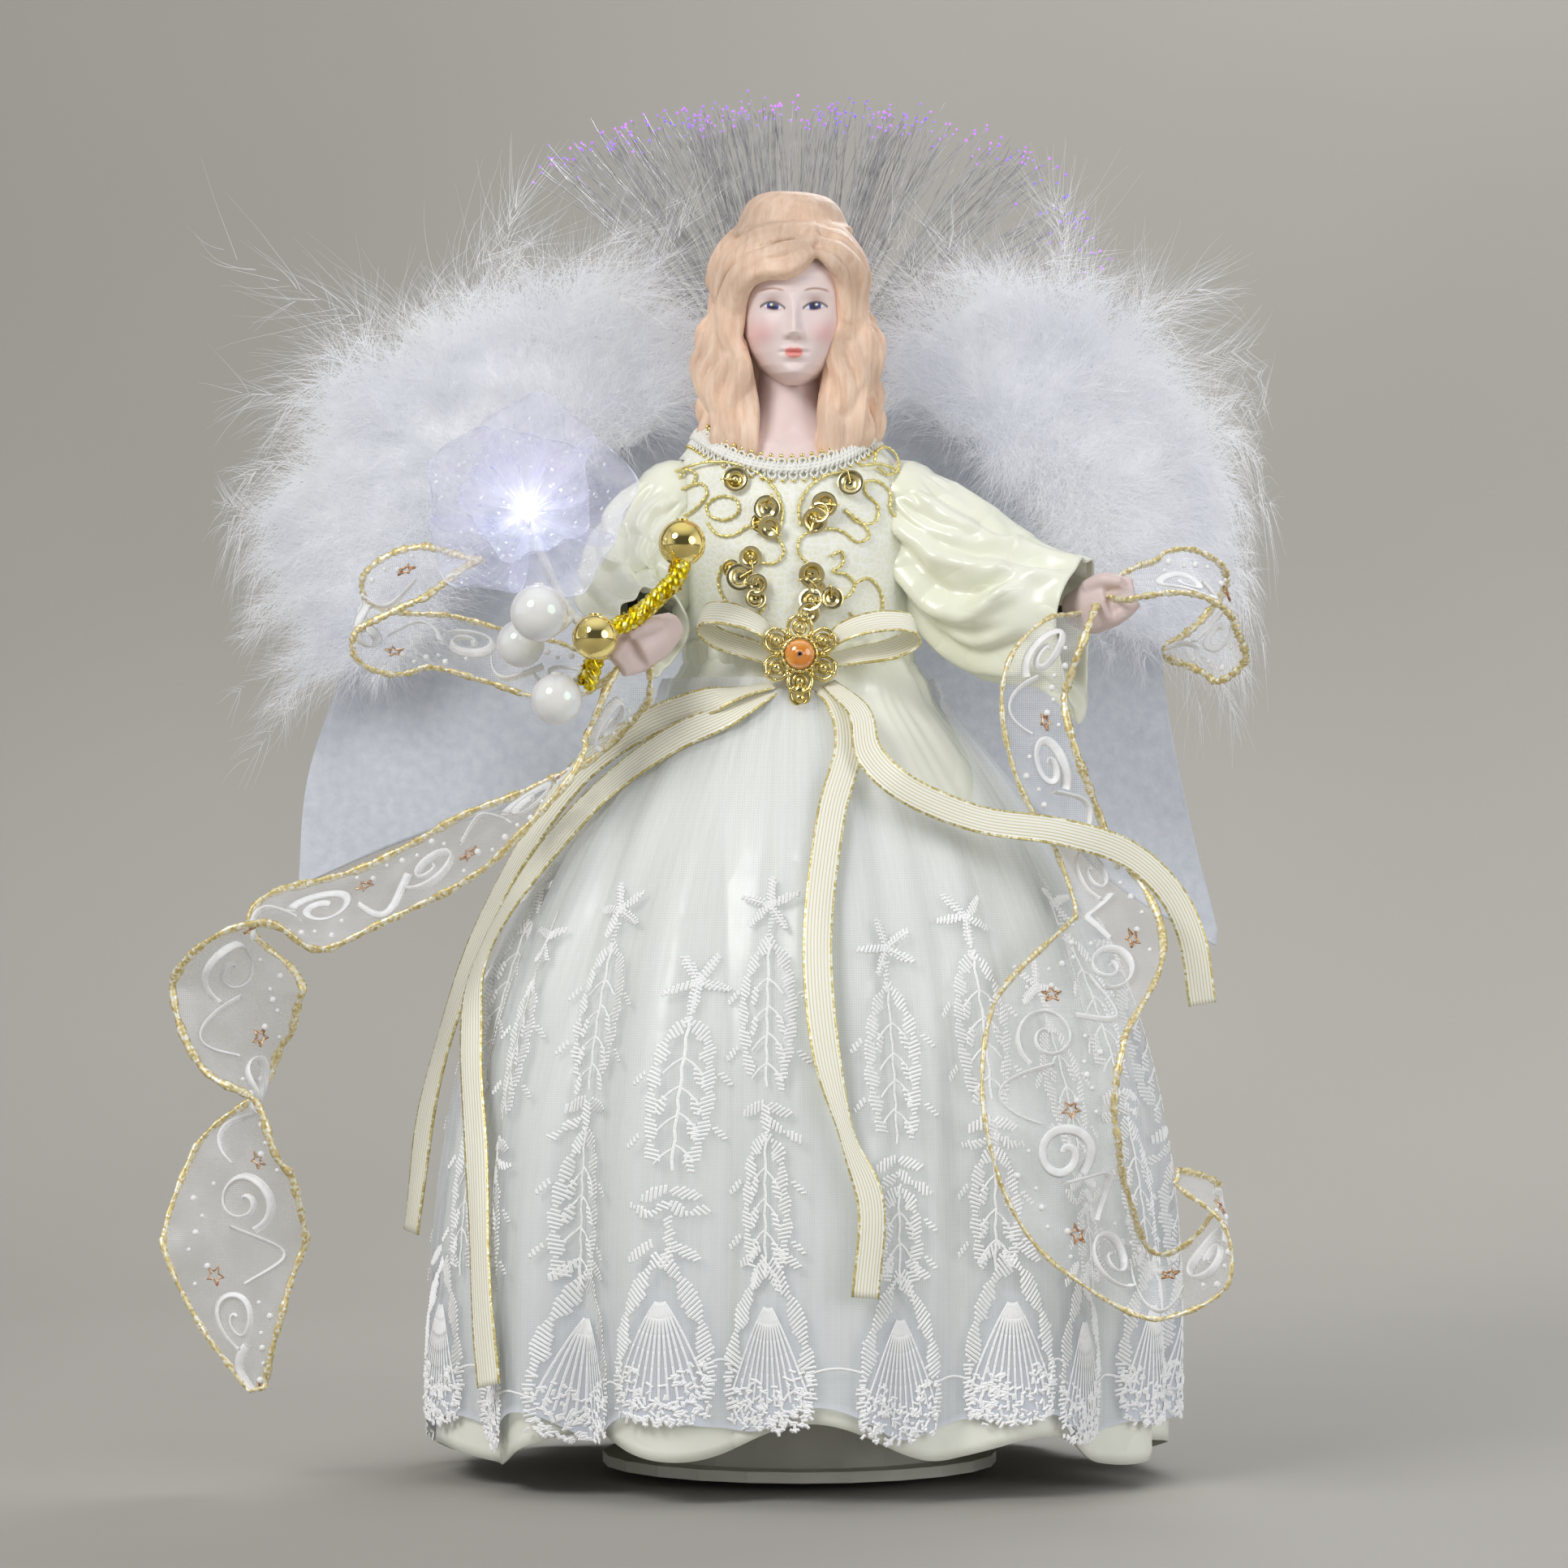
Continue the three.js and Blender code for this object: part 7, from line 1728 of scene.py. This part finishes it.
GOLD_STEPS, GOLD_TURNS, GOLD_FLAKES, GOLD_HIDDEN = 240, 46, 420, 8
gold_route = [BALLS["gold_ball_1"][0]] + from_right(
    (1, -40, -17.5), (-3.5, -41.5, -23), (-9, -42.5, -27), (-13.5, -43.4, -29.5), (-16.5, -43.6, -36),
    (-18.5, -43, -41))
path = even(gold_route, GOLD_STEPS)
along = unit(np.gradient(path, axis=0))
across = unit(np.cross(along, [0, 1, 0]))
rise = np.cross(across, along)
w = np.linspace(0, 1, GOLD_STEPS)
stem = Piece()
for phase in (0, TAU / 3, 2 * TAU / 3):
    spin = GOLD_TURNS * w + phase
    twist = path + 0.95 * (np.cos(spin)[:, None] * across + np.sin(spin)[:, None] * rise)
    stem.tube(twist[GOLD_HIDDEN:], (1.2 + 0.35 * np.sin(w * 60 + phase))[GOLD_HIDDEN:], 7)
middle = path[rng.integers(10, GOLD_STEPS - 1, GOLD_FLAKES)] + 1.7 * unit(rng.normal(size=(GOLD_FLAKES, 3)))
one = unit(rng.normal(size=(GOLD_FLAKES, 3))) * rng.uniform(0.5, 1.1, (GOLD_FLAKES, 1))
two = unit(np.cross(one, rng.normal(size=(GOLD_FLAKES, 3)))) * rng.uniform(0.5, 1.1, (GOLD_FLAKES, 1))
flakes = np.stack([middle + one, middle + two, middle - one, middle - two], 1)
stem.put(flakes, np.arange(GOLD_FLAKES * 4).reshape(-1, 4))
stem.make("gold_stem_glitter", "glitter_gold", body="arm_right", replaces=["gold_stem"], slot="gold")

wrap_stem = Piece()
behind = list(flower_place([[0, 0, -0.3], [0, 0, -4]]))
route = from_right((-28, -30, -14), (-21.5, -35, -26), (-13, -37.5, -31.5), (-8, -37, -33.5))
path = even(behind + route, 90)
wrap_stem.tube(path, 1.05 + 0.1 * np.sin(np.arange(90) * 1.3), 10)
wrap_stem.tube(flower_place([[0, 0, z] for z in (-5, -2.5, 0, 1.6, 3)]), [1, 1.5, 2.2, 2.6, 2.0], 14)
for pearl, first, second in (("pearl_1", (-21.5, -35, -26), (-25, -42, -29.5)),
                             ("pearl_2", (-14.5, -37, -31), (-19, -39, -38)),
                             ("pearl_3", (-22, -34.6, -25.5), (-27.5, -33.5, -30))):
    wrap_stem.tube(even(from_right(first, second) + [PEARLS[pearl][0]], 30)[:20], 0.8, 8)
wrap_stem.make("flower_stem_wrapped", "wrapped_stem", body="arm_right", replaces=["flower_stem"], slot="stem")

# Wired ribbon garland

# Stations from the shoulder: place, direction of the width and share of the width
GARLANDS = {
    "garland_right_loop": [
        ((-9, -36, -34.5), (0.1, 0.6, 0.8), 0.35), ((-20, -31, -38.5), (0.1, 0.5, 0.8), 0.4),
        ((-36, -22, -35), (0.1, 0.75, 0.65), 0.6), ((-51, -15, -31), (0, 0.88, 0.47), 0.9),
        ((-62, -13, -31), (0, 0.9, 0.44), 1), ((-68.5, -14, -28.5), (0, 0.9, 0.44), 1),
        ((-69, -16, -23), (0, 0.9, 0.44), 1), ((-62, -18, -18.5), (0, 0.9, 0.44), 1),
        ((-51, -19, -15.5), (0, 0.9, 0.44), 0.9), ((-42, -19.5, -13.5), (0, 0.9, 0.44), 0.7)],
    "garland_right_tail": [
        ((-7, -37, -34), (0.8, 0.5, 0.2), 0.4), ((-10, -37, -43), (0.8, 0.5, 0.2), 0.6),
        ((-16, -32, -53), (0.5, 0.8, 0.3), 0.8), ((-26, -33, -63), (0.35, 0.8, 0.5), 1),
        ((-42, -31, -74), (0.3, 0.75, 0.6), 1), ((-60, -26, -84), (0.2, 0.75, 0.6), 1),
        ((-78, -26, -91), (0.1, 0.85, 0.5), 1), ((-91, -30, -94), (0.1, 1, 0.1), 0.9),
        ((-95, -30, -107), (0.95, 0.3, 0.1), 1), ((-93.5, -28, -121), (0.75, 0.65, 0), 0.9),
        ((-90.5, -27, -131), (0, 1, 0.1), 0.8), ((-94.5, -26, -145), (-0.8, 0.55, 0), 1),
        ((-96, -27, -164), (-1, 0.1, 0), 1.1), ((-94, -28, -182), (-1, 0.1, 0), 1.05),
        ((-91, -28, -195), (-1, 0.1, 0), 1)],
    "garland_left_loop": [
        ((45, -20, -20), (0.1, 0.9, 0.5), 0.4), ((52, -23, -18.5), (0.1, 0.9, 0.4), 0.6),
        ((60, -22.5, -17.5), (0.05, 0.9, 0.35), 0.9), ((68, -17.5, -19.5), (0, 0.85, 0.45), 1),
        ((73, -11.5, -25), (-0.15, 0.75, 0.65), 1), ((69, -6, -31), (-0.1, 0.8, 0.55), 1),
        ((58, -5, -33), (0.1, 0.9, 0.4), 1)],
    "garland_left_tail": [
        ((41, -20.5, -24), (0.75, -0.65, 0), 0.4), ((35, -27.5, -29), (0.8, -0.3, -0.45), 0.45),
        ((28, -29, -41), (0.9, 0.2, -0.1), 0.5), ((30, -31, -57), (0.9, 0.3, 0.1), 0.5),
        ((38, -28, -75), (0.87, 0.45, 0.1), 0.5), ((46, -36, -94), (0.85, 0.45, 0), 0.7),
        ((32, -59, -114), (0.95, 0.15, 0), 1), ((29.5, -64, -129), (1, 0.2, 0), 1),
        ((32, -64, -143), (0.95, 0.35, 0.2), 1), ((40, -58, -158), (0.5, 0.75, 0.45), 1),
        ((54, -52, -170.5), (0.1, 0.9, 0.44), 1), ((66.5, -55, -163), (0, 0.9, 0.44), 1),
        ((67, -60, -152), (0, 0.9, 0.44), 1), ((57, -63, -146), (0, 0.9, 0.44), 1)],
}
# Places from the shoulder meant for where the ribbon passes from the body's movement to the arm's; they are
# turned to metres below and not used further
BLENDS = {
    "garland_right_loop": ((-68, -14, -26), (-16, -34, -37)),
    "garland_right_tail": ((-60, -28, -90), (-9, -37, -40)),
    "garland_left_loop": ((72, -12, -22), (49, -21, -18)),
    "garland_left_tail": ((34, -30, -70), (39, -22, -27)),
}
GARLAND_WIDTH = 29.0
GARLAND_STEPS, GARLAND_COLUMNS = 150, 17
PRINT_FROM, PRINT_PITCH, PRINT_LIFT, STAR_LIFT = 13.0, 26, 0.15, 0.2


def pointed(u):
    """Share of the width along the garland, whose ends are gathered to a point."""
    return np.minimum(1, np.minimum(0.35 + 5 * u, 0.12 + 6 * (1 - u)))


def on_ribbon(ribbon, along, v, lift):
    """The place that many millimetres along the ribbon, at share v of the half width."""
    pts, s, face = ribbon
    i = np.interp(along, s, np.arange(GARLAND_STEPS))
    j = (v + 1) / 2 * (GARLAND_COLUMNS - 1)
    i0 = np.clip(i.astype(int), 0, GARLAND_STEPS - 2)
    j0 = np.clip(j.astype(int), 0, GARLAND_COLUMNS - 2)
    fi, fj = (i - i0)[:, None], (j - j0)[:, None]
    near = pts[i0, j0] * (1 - fj) + pts[i0, j0 + 1] * fj
    far = pts[i0 + 1, j0] * (1 - fj) + pts[i0 + 1, j0 + 1] * fj
    return near * (1 - fi) + far * fi + face[i0] * lift


def printed(ribbon, total):
    """The white scrolls, stalks and dots along a ribbon, and its stars."""
    scrolls, stars = Piece(), Piece()
    t = np.linspace(0, 1, 48)
    swirl, r = 2.9 * math.pi * t + 0.4, 6.4 * (1 - t) ** 0.75 + 0.7
    dots = np.arange(7)
    w = np.linspace(0, TAU, 10, endpoint=False)
    star = np.where(np.arange(10) % 2 == 0, 2.2, 0.9)
    for n, at in enumerate(np.arange(PRINT_FROM, total - 15, PRINT_PITCH)):
        flip = 1 if n % 2 else -1
        v = np.clip(flip * (0.1 + r * np.sin(swirl) / (GARLAND_WIDTH / 2)), -0.82, 0.82)
        curl = on_ribbon(ribbon, at + 4 + r * np.cos(swirl), v, PRINT_LIFT)
        scrolls.tube(curl, 1.25 - 0.35 * t, 6, flat=0.25)
        v = flip * (0.12 + 0.62 * np.sin(3.4 * t - 0.3))
        stalk = on_ribbon(ribbon, at + 9.8 + 12.5 * t, v, PRINT_LIFT)
        scrolls.tube(stalk, 1.2 - 0.5 * t, 6, flat=0.25)
        v = -flip * (0.42 + 0.3 * np.sin(dots * 1.3) ** 2)
        for k, dot in enumerate(on_ribbon(ribbon, at + 1 + 3.4 * dots, v, PRINT_LIFT)):
            scrolls.ball(dot, 0.5 + 0.25 * (k % 2), 7, 5)
        v = -flip * 0.34 + star * np.sin(w) / (GARLAND_WIDTH / 2)
        ring = on_ribbon(ribbon, at + 20 + star * np.cos(w), v, STAR_LIFT)
        stars.tube(np.vstack([ring, ring[:1]]), 0.3, 5, cap=False)
    return scrolls, stars


for name, stations in GARLANDS.items():
    side = name.split("_")[1]
    shoulder = SHOULDER_R if side == "right" else SHOULDER_L
    start, end = (tuple((shoulder + place) * MM) for place in BLENDS[name])

    def bent(piece, tag, look, slot, replaces=()):
        """Makes a piece that rides on no body, with its place baked into its mesh."""
        obj = piece.make(f"{name}_{tag}", look, replaces=replaces, slot=slot, ride=False)
        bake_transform(obj)
        return obj

    stations = [(shoulder + place, wide, share) for place, wide, share in stations]
    taper = pointed(np.linspace(0, 1, GARLAND_STEPS))
    pts, uv, s, face, half = strip(stations, GARLAND_WIDTH, GARLAND_STEPS, GARLAND_COLUMNS, taper, 0.9, 0.6)
    net = bent(Piece().grid(pts, uv=uv), "organza", "garland_net", "organza", [name])
    edges = Piece()
    steps = np.arange(GARLAND_STEPS)
    for border in (0, -1):
        wobble = 0.88 + 0.2 * np.sin(steps * 1.9 + border) + 0.14 * np.sin(steps * 0.7)
        edges.tube(pts[:, border], wobble, 6, flat=0.6)
    edges.tube(pts[-1], 0.55, 6)
    pieces = [bent(edges, "gold_edge", "glitter_edge", "gold")]
    scrolls, stars = printed((pts, s, face), s[-1])
    for made, tag, look in ((scrolls, "scrolls", "scroll_print"), (stars, "stars", "copper_glitter")):
        if made.count:
            pieces.append(bent(made, tag, look, "organza"))
    flat = (GARLAND_WIDTH * MM, round(float(s[-1]) * MM, 4))

# Finishes on the CAD nodes that show

FINISH = {
    "plastic": ["base_cone", "battery_tray", "battery_door"], "foam": ["torso_core", "wing_block"],
    "dark": ["light_unit", "switch_slider", "lead_wire", "arm_wire_right", "arm_wire_left"],
    "steel": ["fibre_ferrule", "contact_bottom", "contact_top"],
    "cell": ["battery_1", "battery_2", "battery_3"],
}
for look, names in FINISH.items():
    for name in names:
        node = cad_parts[name]
        node.data.materials.clear()
        node.data.materials.append(LOOKS[look])
